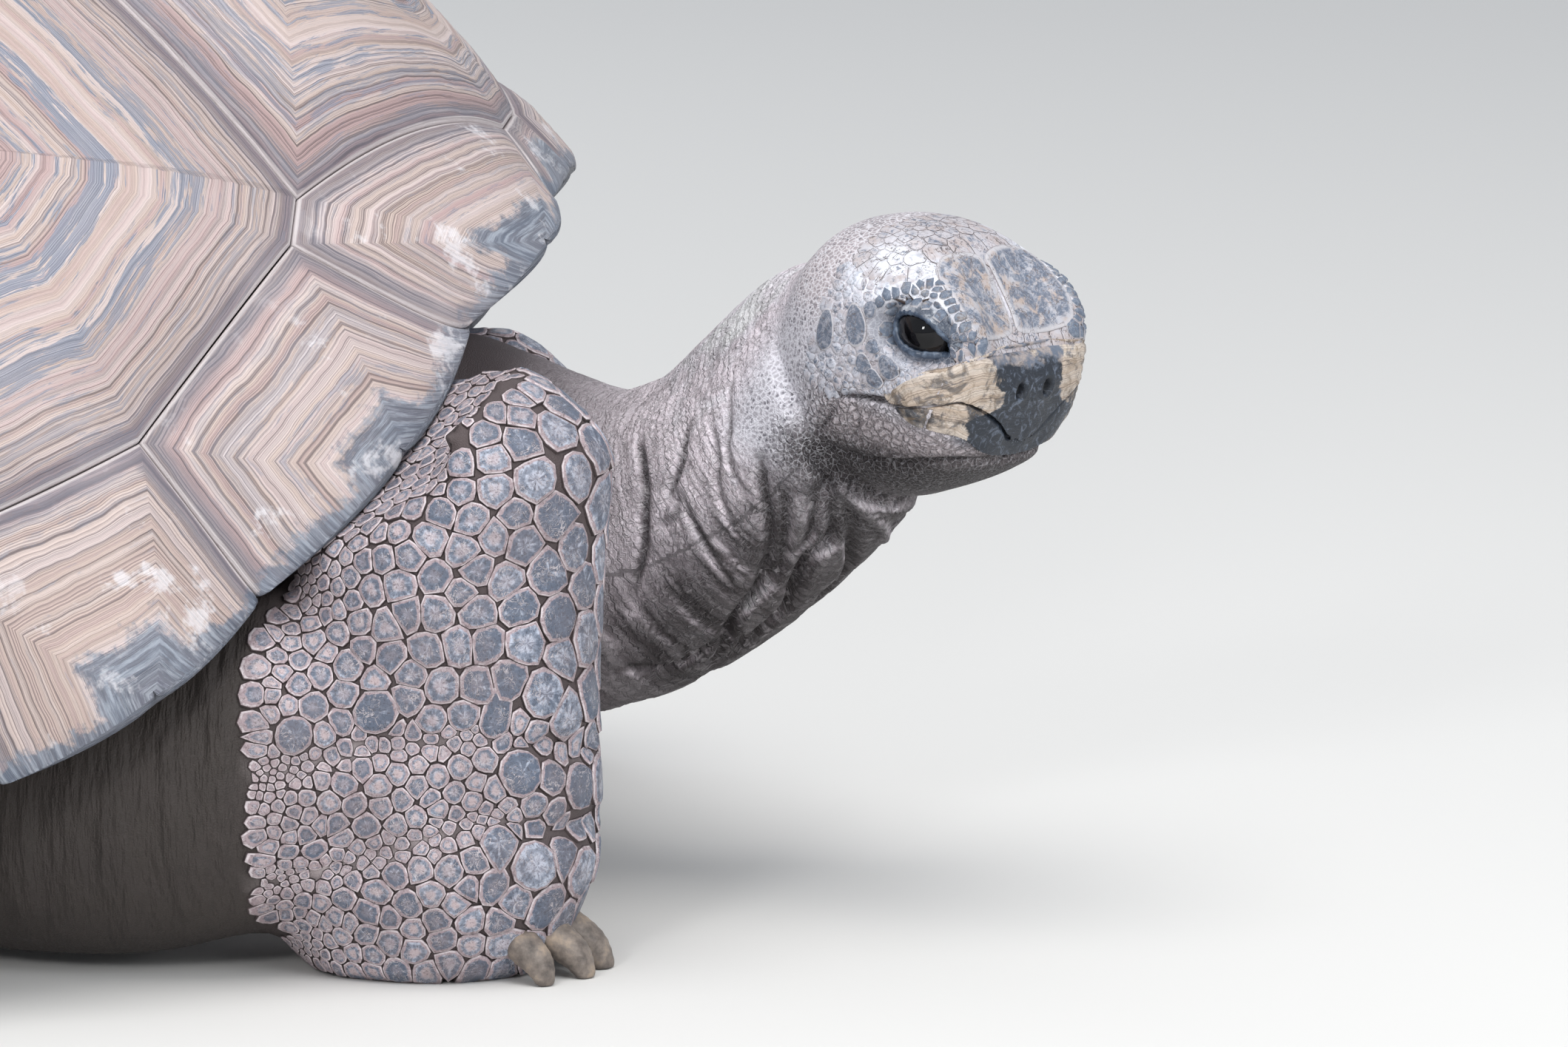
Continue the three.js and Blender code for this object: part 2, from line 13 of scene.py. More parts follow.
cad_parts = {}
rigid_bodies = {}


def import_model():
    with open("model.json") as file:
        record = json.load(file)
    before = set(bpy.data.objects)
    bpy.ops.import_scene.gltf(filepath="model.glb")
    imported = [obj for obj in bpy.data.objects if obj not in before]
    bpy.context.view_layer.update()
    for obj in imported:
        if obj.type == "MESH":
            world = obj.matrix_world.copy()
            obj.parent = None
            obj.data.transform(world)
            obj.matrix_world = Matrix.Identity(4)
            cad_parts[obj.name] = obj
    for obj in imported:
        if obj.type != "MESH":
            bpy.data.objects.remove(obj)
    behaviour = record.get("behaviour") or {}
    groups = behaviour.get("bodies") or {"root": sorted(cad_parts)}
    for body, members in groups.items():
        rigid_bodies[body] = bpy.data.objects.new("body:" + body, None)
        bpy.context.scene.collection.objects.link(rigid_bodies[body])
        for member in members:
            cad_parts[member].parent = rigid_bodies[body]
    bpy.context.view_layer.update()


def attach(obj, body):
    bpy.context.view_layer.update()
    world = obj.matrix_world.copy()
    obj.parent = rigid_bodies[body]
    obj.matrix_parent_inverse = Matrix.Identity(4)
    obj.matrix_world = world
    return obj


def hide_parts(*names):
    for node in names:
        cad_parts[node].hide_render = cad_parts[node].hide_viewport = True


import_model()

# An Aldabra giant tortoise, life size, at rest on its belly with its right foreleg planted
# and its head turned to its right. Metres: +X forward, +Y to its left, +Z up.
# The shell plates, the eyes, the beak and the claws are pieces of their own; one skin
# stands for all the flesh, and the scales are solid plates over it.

logging.basicConfig(level=logging.INFO, format="%(name)s: %(message)s")
log = logging.getLogger("tortoise")

MM = 0.001
Array = np.ndarray
Colour = tuple[float, float, float]
Point = tuple[float, float, float]


# ------------------------------------------------------------------ numbers and noise
def smooth(x: Array | float, low: float, high: float) -> Array:
    """Eases from 0 at low to 1 at high."""
    t = np.clip((np.asarray(x, float) - low) / (high - low), 0, 1)
    return t * t * (3 - 2 * t)


def bell(x: Array | float, middle: float, width: float) -> Array:
    """A bump of height 1 round middle."""
    return np.exp(-(((np.asarray(x, float) - middle) / width) ** 2))


def unit(v: Array) -> Array:
    """Each vector at length 1."""
    return v / np.maximum(np.linalg.norm(v, axis=-1, keepdims=True), 1e-12)


def noise(places: Array, size: float, seed: int = 0) -> Array:
    """Smooth noise from -1 to 1.

    Args:
        places: points in metres, one row each.
        size: how far apart its lumps lie, in metres.
        seed: picks another noise of the same kind.

    Returns:
        One value for each point.
    """
    p = places / size + seed * 17.31
    base = np.floor(p).astype(np.int64)
    share = p - base
    share = share * share * (3 - 2 * share)
    total = np.zeros(len(p))
    for corner in np.ndindex(2, 2, 2):
        c = base + np.array(corner)
        mixed = c[:, 0] * 73856093 ^ c[:, 1] * 19349663 ^ c[:, 2] * 83492791 ^ (seed * 9176 + 77)
        mixed = (mixed ^ (mixed >> 13)) * 1274126177 & 0x7FFFFFFF
        mixed = (mixed ^ (mixed >> 15)) * 668265263 & 0x7FFFFFFF
        value = (mixed >> 7 & 0xFFFF) / 32767.5 - 1
        weight = np.prod(np.where(np.array(corner) == 1, share, 1 - share), axis=1)
        total += value * weight
    return total


def rough_noise(places: Array, size: float, seed: int = 0, octaves: int = 3) -> Array:
    """Noise with finer noise added on top, each octave half the size and strength.

    Args:
        places: where it is read.
        size: width of its largest lumps.
        seed: picks the pattern.
        octaves: how many sizes of lump are added.

    Returns:
        A number for each place.
    """
    total = np.zeros(len(places))
    for k in range(octaves):
        total += noise(places, size / 2**k, seed + 31 * k) / 2**k
    return total / 1.6


def polyline_distance(places: Array, line: Array) -> tuple[Array, Array]:
    """How far each point is from a line of points, and how far along the line that is.

    Args:
        places: points, one row each.
        line: the line's points, one row each.

    Returns:
        The distances, and the shares of the line's length from its start.
    """
    best = np.full(len(places), 1e9)
    share = np.zeros(len(places))
    lengths = np.linalg.norm(np.diff(line, axis=0), axis=1)
    total = lengths.sum()
    run = 0.0
    for a, b, length in zip(line[:-1], line[1:], lengths):
        t = np.clip(((places - a) @ (b - a)) / max(length**2, 1e-12), 0, 1)
        gap = np.linalg.norm(places - a - t[:, None] * (b - a), axis=1)
        nearer = gap < best
        best[nearer] = gap[nearer]
        share[nearer] = (run + t[nearer] * length) / total
        run += length
    return best, share


def curve_through(values: Sequence[float]) -> Callable[[Array], Array]:
    """Reads a number off evenly spaced values, joined smoothly, for shares from 0 to 1.

    Args:
        values: the values, evenly spaced from share 0 to share 1.

    Returns:
        A function that gives the value at each share.
    """
    v = np.asarray(values, float)
    padded = np.concatenate([[2 * v[0] - v[1]], v, [2 * v[-1] - v[-2]]])

    def read(share: Array) -> Array:
        """The value at each share.

        Args:
            share: shares from 0 to 1.

        Returns:
            The values there.
        """
        place = np.clip(share, 0, 1) * (len(v) - 1)
        i = np.minimum(place.astype(int), len(v) - 2)
        w = place - i
        before, at, after, beyond = (padded[i + k] for k in range(4))
        t0, t1 = (after - before) / 2, (beyond - at) / 2
        return at + w * (t0 + w * (3 * (after - at) - 2 * t0 - t1 + w * (2 * (at - after) + t0 + t1)))

    return read


def resample(line: Sequence[Point], steps: int) -> Array:
    """A smooth line through points, as evenly spread steps.

    Args:
        line: points that it passes through.
        steps: how many points to give back.

    Returns:
        One row for each step.
    """
    points = np.asarray(line, float)
    share = np.linspace(0, 1, steps)
    return np.stack([curve_through(points[:, k])(share) for k in range(3)], axis=1)


# ------------------------------------------------------------------ mesh tools
def alone(piece: bpy.types.Object) -> None:
    """Selects one object and nothing else.

    Args:
        piece: the object to select.
    """
    bpy.ops.object.select_all(action="DESELECT")
    piece.select_set(True)
    bpy.context.view_layer.objects.active = piece


def finish_with(piece: bpy.types.Object, kind: str, **settings: object) -> None:
    """Adds a modifier and applies it.

    Args:
        piece: the object.
        kind: the modifier's type.
        settings: its values, by their names.
    """
    alone(piece)
    bpy.ops.object.modifier_add(type=kind)
    modifier = piece.modifiers[-1]
    for key, value in settings.items():
        setattr(modifier, key, value)
    bpy.ops.object.modifier_apply(modifier=modifier.name)


def remesh(piece: bpy.types.Object, voxel: float) -> None:
    """Wraps the piece in an even net of squares.

    Args:
        piece: the mesh.
        voxel: width of a square, in metres.
    """
    alone(piece)
    piece.data.remesh_voxel_size = voxel
    piece.data.remesh_voxel_adaptivity = 0
    bpy.ops.object.voxel_remesh()


def edit(piece: bpy.types.Object, *steps: Callable[[], object]) -> None:
    """Runs edit-mode operators on all of a piece.

    Args:
        piece: the mesh.
        steps: calls of operators, run in turn.
    """
    alone(piece)
    bpy.ops.object.mode_set(mode="EDIT")
    bpy.ops.mesh.select_all(action="SELECT")
    for step in steps:
        step()
    bpy.ops.object.mode_set(mode="OBJECT")


def places_of(piece: bpy.types.Object) -> Array:
    """The places of a mesh's points.

    Args:
        piece: the mesh.

    Returns:
        One row of x, y and z for each point.
    """
    flat = np.empty(len(piece.data.vertices) * 3, np.float32)
    piece.data.vertices.foreach_get("co", flat)
    return flat.reshape(-1, 3).astype(float)


def normals_of(piece: bpy.types.Object) -> Array:
    """The directions of a mesh's points.

    Args:
        piece: the mesh.

    Returns:
        One direction for each point.
    """
    flat = np.empty(len(piece.data.vertices) * 3, np.float32)
    piece.data.vertex_normals.foreach_get("vector", flat)
    return flat.reshape(-1, 3).astype(float)


def move_to(piece: bpy.types.Object, places: Array) -> None:
    """Puts a mesh's points at new places."""
    piece.data.vertices.foreach_set("co", places.astype(np.float32).ravel())
    piece.data.update()


def mesh_from(name: str, points: Array, faces: Sequence[Sequence[int]] | Array) -> bpy.types.Object:
    """A smooth-shaded mesh object from points and faces.

    Args:
        name: the object's name.
        points: one row for each point, in metres.
        faces: the corners of each face.

    Returns:
        The new object, at the origin.
    """
    data = bpy.data.meshes.new(name)
    listed = faces.tolist() if isinstance(faces, np.ndarray) else faces
    data.from_pydata(points.tolist(), [], listed)
    data.polygons.foreach_set("use_smooth", np.ones(len(data.polygons), bool))
    data.update()
    piece = bpy.data.objects.new(name, data)
    bpy.context.scene.collection.objects.link(piece)
    return piece


def note(piece: bpy.types.Object, name: str, values: Array) -> None:
    """Writes a number for each point of a mesh, for its material to read."""
    layer = piece.data.attributes.new(name, "FLOAT", "POINT")
    layer.data.foreach_set("value", np.asarray(values, np.float32))


def stain(piece: bpy.types.Object, name: str, colours: Array) -> None:
    """Writes a colour for each point of a mesh, for its material to read.

    Args:
        piece: the mesh.
        name: the attribute's name.
        colours: one row of red, green and blue for each point.
    """
    layer = piece.data.attributes.new(name, "FLOAT_COLOR", "POINT")
    full = np.concatenate([colours, np.ones((len(colours), 1))], axis=1)
    layer.data.foreach_set("color", full.astype(np.float32).ravel())


def tube_faces(rows: int, around: int) -> list[list[int]]:
    """Faces of a closed tube: a pole, rows of points and a last pole.

    Args:
        rows: rows of points between the poles.
        around: points in a row.

    Returns:
        The corners of each face.
    """
    faces = [[0, 1 + (k + 1) % around, 1 + k] for k in range(around)]
    for row in range(rows - 1):
        a, b = 1 + row * around, 1 + (row + 1) * around
        faces += [[a + k, a + (k + 1) % around, b + (k + 1) % around, b + k] for k in range(around)]
    last, end = 1 + (rows - 1) * around, 1 + rows * around
    faces += [[last + k, last + (k + 1) % around, end] for k in range(around)]
    return faces


def join(pieces: Sequence[bpy.types.Object]) -> bpy.types.Object:
    """Joins pieces into the first.

    Args:
        pieces: the objects to join.

    Returns:
        The first of them, which now holds all the meshes.
    """
    bpy.ops.object.select_all(action="DESELECT")
    for piece in pieces:
        piece.select_set(True)
    bpy.context.view_layer.objects.active = pieces[0]
    if len(pieces) > 1:
        bpy.ops.object.join()
    return pieces[0]


def face_outward(piece: bpy.types.Object) -> None:
    """Merges doubled points and turns every face outward."""
    edit(
        piece,
        lambda: bpy.ops.mesh.remove_doubles(threshold=1e-6),
        lambda: bpy.ops.mesh.normals_make_consistent(inside=False),
    )


# ------------------------------------------------------------------ materials
class Paint:
    """A material's node tree, drawn up in few words.

    Every input may be a number, a colour or another node's output.
    """

    def __init__(self, name: str) -> None:
        """Starts a material with a bare surface shader.

        Args:
            name: the material's name.
        """
        self.material = bpy.data.materials.new(name)
        self.material.use_nodes = True
        self.tree = self.material.node_tree
        self.shader = self.tree.nodes["Principled BSDF"]
        self.objects = self.tree.nodes.new("ShaderNodeTexCoord").outputs["Object"]

    def put(self, socket: bpy.types.NodeSocket, value: object) -> None:
        """Links an output to a socket, or sets its value."""
        if isinstance(value, bpy.types.NodeSocket):
            self.tree.links.new(value, socket)
        elif isinstance(value, tuple) and len(value) == 3 and socket.type == "RGBA":
            socket.default_value = (*value, 1)
        else:
            socket.default_value = value

    def surface(self, **values: object) -> None:
        """Sets inputs of the surface shader, with _ for a space in a name."""
        for key, value in values.items():
            self.put(self.shader.inputs[key.replace("_", " ")], value)

    def read(self, name: str) -> bpy.types.NodeSocket:
        """A number that the mesh carries.

        Args:
            name: the attribute's name.

        Returns:
            The number.
        """
        node = self.tree.nodes.new("ShaderNodeAttribute")
        node.attribute_name = name
        return node.outputs["Fac"]

    def read_colour(self, name: str) -> bpy.types.NodeSocket:
        """A colour that the mesh carries.

        Args:
            name: the attribute's name.

        Returns:
            The colour.
        """
        node = self.tree.nodes.new("ShaderNodeAttribute")
        node.attribute_name = name
        return node.outputs["Color"]

    def math(self, how: str, a: object, b: object = 0.0, c: object = 0.0) -> bpy.types.NodeSocket:
        """A sum of two or three numbers.

        Args:
            how: the Math node's operation.
            a: the first number.
            b: the second number.
            c: the third number, where the operation takes one.

        Returns:
            The result.
        """
        node = self.tree.nodes.new("ShaderNodeMath")
        node.operation = how
        for socket, value in zip(node.inputs, (a, b, c)):
            self.put(socket, value)
        return node.outputs[0]

    def ease(self, x: object, low: float, high: float, start: float = 0.0,
             end: float = 1.0) -> bpy.types.NodeSocket:
        """Eases from start, at low, to end, at high.

        Args:
            x: the number that it follows.
            low: the number at which it gives start.
            high: the number at which it gives end.
            start: its value at low.
            end: its value at high.

        Returns:
            The eased number.
        """
        node = self.tree.nodes.new("ShaderNodeMapRange")
        node.interpolation_type = "SMOOTHSTEP"
        for socket, value in zip(node.inputs, (x, low, high, start, end)):
            self.put(socket, value)
        return node.outputs[0]

    def mix(self, factor: object, a: object, b: object, how: str = "MIX") -> bpy.types.NodeSocket:
        """Mixes two colours.

        Args:
            factor: how much of the second colour to use.
            a: the first colour.
            b: the second colour.
            how: the blend mode.

        Returns:
            The mixed colour.
        """
        node = self.tree.nodes.new("ShaderNodeMix")
        node.data_type = "RGBA"
        node.blend_type = how
        self.put(node.inputs["Factor"], factor)
        self.put(node.inputs[6], a)
        self.put(node.inputs[7], b)
        return node.outputs[2]

    def ramp(self, x: object, stops: Sequence[tuple[float, Colour]]) -> bpy.types.NodeSocket:
        """Reads a colour off a scale of stops.

        Args:
            x: the number to read.
            stops: pairs of a number and its colour.

        Returns:
            The colour there.
        """
        node = self.tree.nodes.new("ShaderNodeValToRGB")
        scale = node.color_ramp.elements
        while len(scale) < len(stops):
            scale.new(0.5)
        for element, (place, colour) in zip(scale, stops):
            element.position = place
            element.color = (*colour, 1)
        self.put(node.inputs[0], x)
        return node.outputs[0]

    def vector(self, x: object, y: object, z: object = 0.0) -> bpy.types.NodeSocket:
        """A vector from three numbers.

        Args:
            x: its first number.
            y: its second number.
            z: its third number.

        Returns:
            The vector.
        """
        node = self.tree.nodes.new("ShaderNodeCombineXYZ")
        for socket, value in zip(node.inputs, (x, y, z)):
            self.put(socket, value)
        return node.outputs[0]

    def noise(self, scale: float, detail: float = 3.0, where: object = None, rough: float = 0.55,
              twist: float = 0.0) -> bpy.types.NodeSocket:
        """Cloudy noise from 0 to 1, at so many lumps to the unit.

        Args:
            scale: how many lumps to the unit.
            detail: how many finer layers are added.
            where: the vector it is read at, if not the usual one.
            rough: how strong the finer layers are.
            twist: how far the lumps are distorted.

        Returns:
            A number from 0 to 1.
        """
        node = self.tree.nodes.new("ShaderNodeTexNoise")
        self.put(node.inputs["Vector"], where or self.objects)
        for key, value in (("Scale", scale), ("Detail", detail), ("Roughness", rough), ("Distortion", twist)):
            self.put(node.inputs[key], value)
        return node.outputs["Fac"]

    def line_noise(self, x: object, scale: float, detail: float = 2.0,
                   rough: float = 0.6) -> bpy.types.NodeSocket:
        """Noise from 0 to 1 along one number.

        Args:
            x: the number it is read at.
            scale: how many lumps to the unit.
            detail: how many finer layers are added.
            rough: how strong the finer layers are.

        Returns:
            A number from 0 to 1.
        """
        node = self.tree.nodes.new("ShaderNodeTexNoise")
        node.noise_dimensions = "1D"
        for key, value in (("W", x), ("Scale", scale), ("Detail", detail), ("Roughness", rough)):
            self.put(node.inputs[key], value)
        return node.outputs["Fac"]

    def cells(self, scale: float, where: object = None,
              feature: str = "DISTANCE_TO_EDGE") -> bpy.types.NodeSocket:
        """The distance to the edge, or the middle, of the nearest of many cells.

        Args:
            scale: how many cells to the unit.
            where: the vector it is read at, if not the usual one.
            feature: what is measured, as the Voronoi node names it.

        Returns:
            The distance.
        """
        node = self.tree.nodes.new("ShaderNodeTexVoronoi")
        node.feature = feature
        self.put(node.inputs["Vector"], where or self.objects)
        self.put(node.inputs["Scale"], scale)
        return node.outputs["Distance"]

    def bump(self, height: object, strength: float, depth: float,
             after: object = None) -> bpy.types.NodeSocket:
        """A normal raised by a height from 0 to 1, depth metres high.

        Args:
            height: the height, from 0 to 1.
            strength: how strongly it tilts the normal.
            depth: how high a height of 1 stands, in metres.
            after: the normal that it is added to, if any.

        Returns:
            The normal.
        """
        node = self.tree.nodes.new("ShaderNodeBump")
        self.put(node.inputs["Strength"], strength)
        self.put(node.inputs["Distance"], depth)
        self.put(node.inputs["Height"], height)
        if after is not None:
            self.put(node.inputs["Normal"], after)
        return node.outputs[0]


def dress(piece: bpy.types.Object, material: bpy.types.Material, slot: str, *nodes: str) -> None:
    """Gives a piece its material and its place in the frame, and reports it.

    Args:
        piece: the finished object.
        material: its material.
        slot: a slot of the record; not used.
        nodes: the CAD nodes it stands for.
    """
    piece.data.materials.clear()
    piece.data.materials.append(material)
    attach(piece, "root")
    if nodes:
        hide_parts(*nodes)
    triangles = sum(len(p.vertices) - 2 for p in piece.data.polygons)
    log.info("%s: %d triangles", piece.name, triangles)


# ------------------------------------------------------------------ the dome of the shell
@dataclass(frozen=True)
class Dome:
    """The outer face of the shell, drawn on a unit disc from the crown to the rim. Millimetres."""

    front: float = 505
    rear: float = 545
    half_width: float = 375
    crown_x: float = -20
    crown_z: float = 505
    front_power: float = 2.6
    rear_power: float = 2.3
    rear_swell: float = 0.05
    rim_side: float = 72
    rim_front_rise: float = 192
    rim_hind_rise: float = 42
    band: float = 0.78
    rim_angles: tuple[float, ...] = (4, 19, 38.5, 54.3, 68, 80.5, 92, 103.5, 116, 130, 147, 166)
    scallops: tuple[float, ...] = (13, 11, 8, 4, 3, 3, 3, 5, 8, 9, 8)

    def rim_height(self, angle: Array) -> Array:
        """Height of the rim at each angle round the shell.

        Args:
            angle: angles round the shell, in radians.

        Returns:
            A height for each angle, in mm.
        """
        turn = np.abs(np.degrees(angle))
        climb = 1 - smooth(turn, 3, 64)
        return self.rim_side + self.rim_front_rise * climb + self.rim_hind_rise * bell(turn, 132, 20)

    def scallop(self, angle: Array, radius: Array) -> Array:
        """How far each marginal plate's edge stands out between its seams.

        Args:
            angle: angles round the shell, in radians.
            radius: how far out on the disc each point lies.

        Returns:
            A length for each angle.
        """
        turn = np.abs(np.degrees(angle))
        edges = np.array(self.rim_angles)
        i = np.searchsorted(edges, turn, side="right") - 1
        held = (i >= 0) & (i < len(self.scallops))
        i = np.clip(i, 0, len(self.scallops) - 1)
        share = (turn - edges[i]) / (edges[i + 1] - edges[i])
        worn = np.where((i == 0) & (angle > 0), 0.35, 1.0)
        reach = np.clip((radius - 0.7) / 0.3, 0, 1) ** 2
        return np.where(held, worn * np.array(self.scallops)[i] * np.sin(np.pi * share) * reach, 0)

    def point(self, disc: Array, edged: bool = True) -> Array:
        """The place on the dome of each point of the disc.

        Args:
            disc: points on the disc.
            edged: whether the scalloped edge is added.

        Returns:
            One row of x, y and z for each point, in mm.
        """
        u, v = disc[..., 0], disc[..., 1]
        radius, angle = np.hypot(u, v), np.arctan2(v, u)
        c, s = np.cos(angle), np.sin(angle)
        power = 2 / np.where(c > 0, self.front_power, self.rear_power)
        reach = np.where(c > 0, self.front - self.crown_x, self.rear + self.crown_x)
        fall = np.minimum(radius, 1.2) * np.pi / 2
        out = np.where(radius > 1, radius, np.sin(fall))
        x = self.crown_x + np.sign(c) * reach * np.abs(c) ** power * out
        width = self.half_width * (1 - self.rear_swell * x / self.rear)
        y = np.sign(s) * width * np.abs(s) ** power * out
        steep = 2 * (0.62 + 0.26 * np.maximum(c, 0) ** 1.5 + 0.08 * np.maximum(-c, 0))
        rim = self.rim_height(angle)
        rise = np.maximum(np.cos(np.minimum(fall, np.pi / 2)), 0) ** steep
        edge = 0.0
        if edged:
            edge = self.scallop(angle, radius) / np.maximum(np.hypot(x - self.crown_x, y), 1)
        z = rim + (self.crown_z - rim) * rise
        return np.stack([x + (x - self.crown_x) * edge, y + y * edge, z], axis=-1)

    def normal(self, disc: Array) -> Array:
        """The dome's outward direction at each point of the disc.

        Args:
            disc: points on the disc.

        Returns:
            One direction for each point.
        """
        d = 0.004
        radius = np.maximum(np.linalg.norm(disc, axis=-1, keepdims=True), 1e-6)
        pulled = disc * np.minimum(1, 0.992 / radius)
        du, dv = np.array([d, 0]), np.array([0, d])
        a = self.point(pulled + du, False) - self.point(pulled - du, False)
        b = self.point(pulled + dv, False) - self.point(pulled - dv, False)
        return unit(np.cross(a, b))

    def place(self, x: float, y: float) -> Array:
        """The place on the disc of a point seen from above.

        Args:
            x: how far forward it lies, in mm.
            y: how far to the left it lies, in mm.

        Returns:
            Its two coordinates on the disc.
        """
        front = x > self.crown_x
        reach = self.front - self.crown_x if front else self.rear + self.crown_x
        width = self.half_width * (1 - self.rear_swell * x / self.rear)
        along, across = abs(x - self.crown_x) / reach, abs(y) / width
        n = self.front_power if front else self.rear_power
        out = (along**n + across**n) ** (1 / n)
        radius = math.asin(min(out, 1)) / (math.pi / 2)
        angle = math.atan2((across / out) ** (n / 2), (1 if front else -1) * (along / out) ** (n / 2))
        return np.array([radius * math.cos(angle), math.copysign(radius * math.sin(angle), y)])


DOME = Dome()


class PlateKind(Enum):
    """The kinds of plate, each with its bulge and the depth of its rings in millimetres."""

    COSTAL = ("costal", 9.0, 1.0)
    VERTEBRAL = ("vertebral", 9.0, 1.0)
    MARGINAL = ("marginal", 5.0, 0.5)
    NUCHAL = ("nuchal", 3.0, 0.4)
    SUPRACAUDAL = ("supracaudal", 5.0, 0.5)

    @property
    def bulge(self) -> float:
        """How far its middle stands out."""
        return self.value[1]

    @property
    def relief(self) -> float:
        """How deep its rings are."""
        return self.value[2]


BAND_CORNERS = {
    "I3": 57, "K1": 66, "I4": 69.5, "I5": 81, "K2": 90.5, "I6": 92.5, "I7": 103.5, "K3": 114,
    "I8": 116.5, "I9": 130, "I10": 146, "J5": 157, "I11": 164,
}
SEAM_CORNERS = {
    "I0": (485, 24), "J1": (420, 167), "I1": (419, 181), "I2": (370, 250), "W12": (256, 108),
    "L2": (172, 146), "W23": (92, 98), "L3": (-8, 152), "W34": (-112, 94), "L4": (-206, 140),
    "W45": (-292, 84),
}
SIDE_PLATES = {
    "costal_1": "J1 I1 I2 I3 K1 L2 W12", "costal_2": "K1 I4 I5 K2 L3 W23 L2",
    "costal_3": "K2 I6 I7 K3 L4 W34 L3", "costal_4": "K3 I8 I9 I10 J5 W45 L4",
    "marginal_1": "R0 R1 I1 J1 I0", "marginal_2": "R1 R2 I2 I1", "marginal_3": "R2 R3 I3 I2",
    "marginal_4": "R3 R4 I4 K1 I3", "marginal_5": "R4 R5 I5 I4", "marginal_6": "R5 R6 I6 K2 I5",
    "marginal_7": "R6 R7 I7 I6", "marginal_8": "R7 R8 I8 K3 I7", "marginal_9": "R8 R9 I9 I8",
    "marginal_10": "R9 R10 I10 I9", "marginal_11": "R10 R11 I11 J5 I10",
}
MIDDLE_PLATES = {
    "nuchal": "R0' R0 I0 I0'", "vertebral_1": "I0 J1 W12 W12' J1' I0'",
    "vertebral_2": "W12 L2 W23 W23' L2' W12'", "vertebral_3": "W23 L3 W34 W34' L3' W23'",
    "vertebral_4": "W34 L4 W45 W45' L4' W34'", "vertebral_5": "W45 J5 I11 I11' J5' W45'",
    "supracaudal": "R11 R11' I11' I11",
}


def seam_corner(name: str) -> Array:
    """The place on the disc of a seam corner; a prime mirrors it.

    Args:
        name: the corner's name.

    Returns:
        Its two coordinates on the disc.
    """
    key = name.rstrip("'")
    if key[0] == "R":
        angle = math.radians(DOME.rim_angles[int(key[1:])])
        place = np.array([math.cos(angle), math.sin(angle)])
    elif key in BAND_CORNERS:
        angle = math.radians(BAND_CORNERS[key])
        place = np.array([math.cos(angle), math.sin(angle)]) * DOME.band
    else:
        place = DOME.place(*SEAM_CORNERS[key])
    return place * np.array([1, -1]) if name.endswith("'") else place


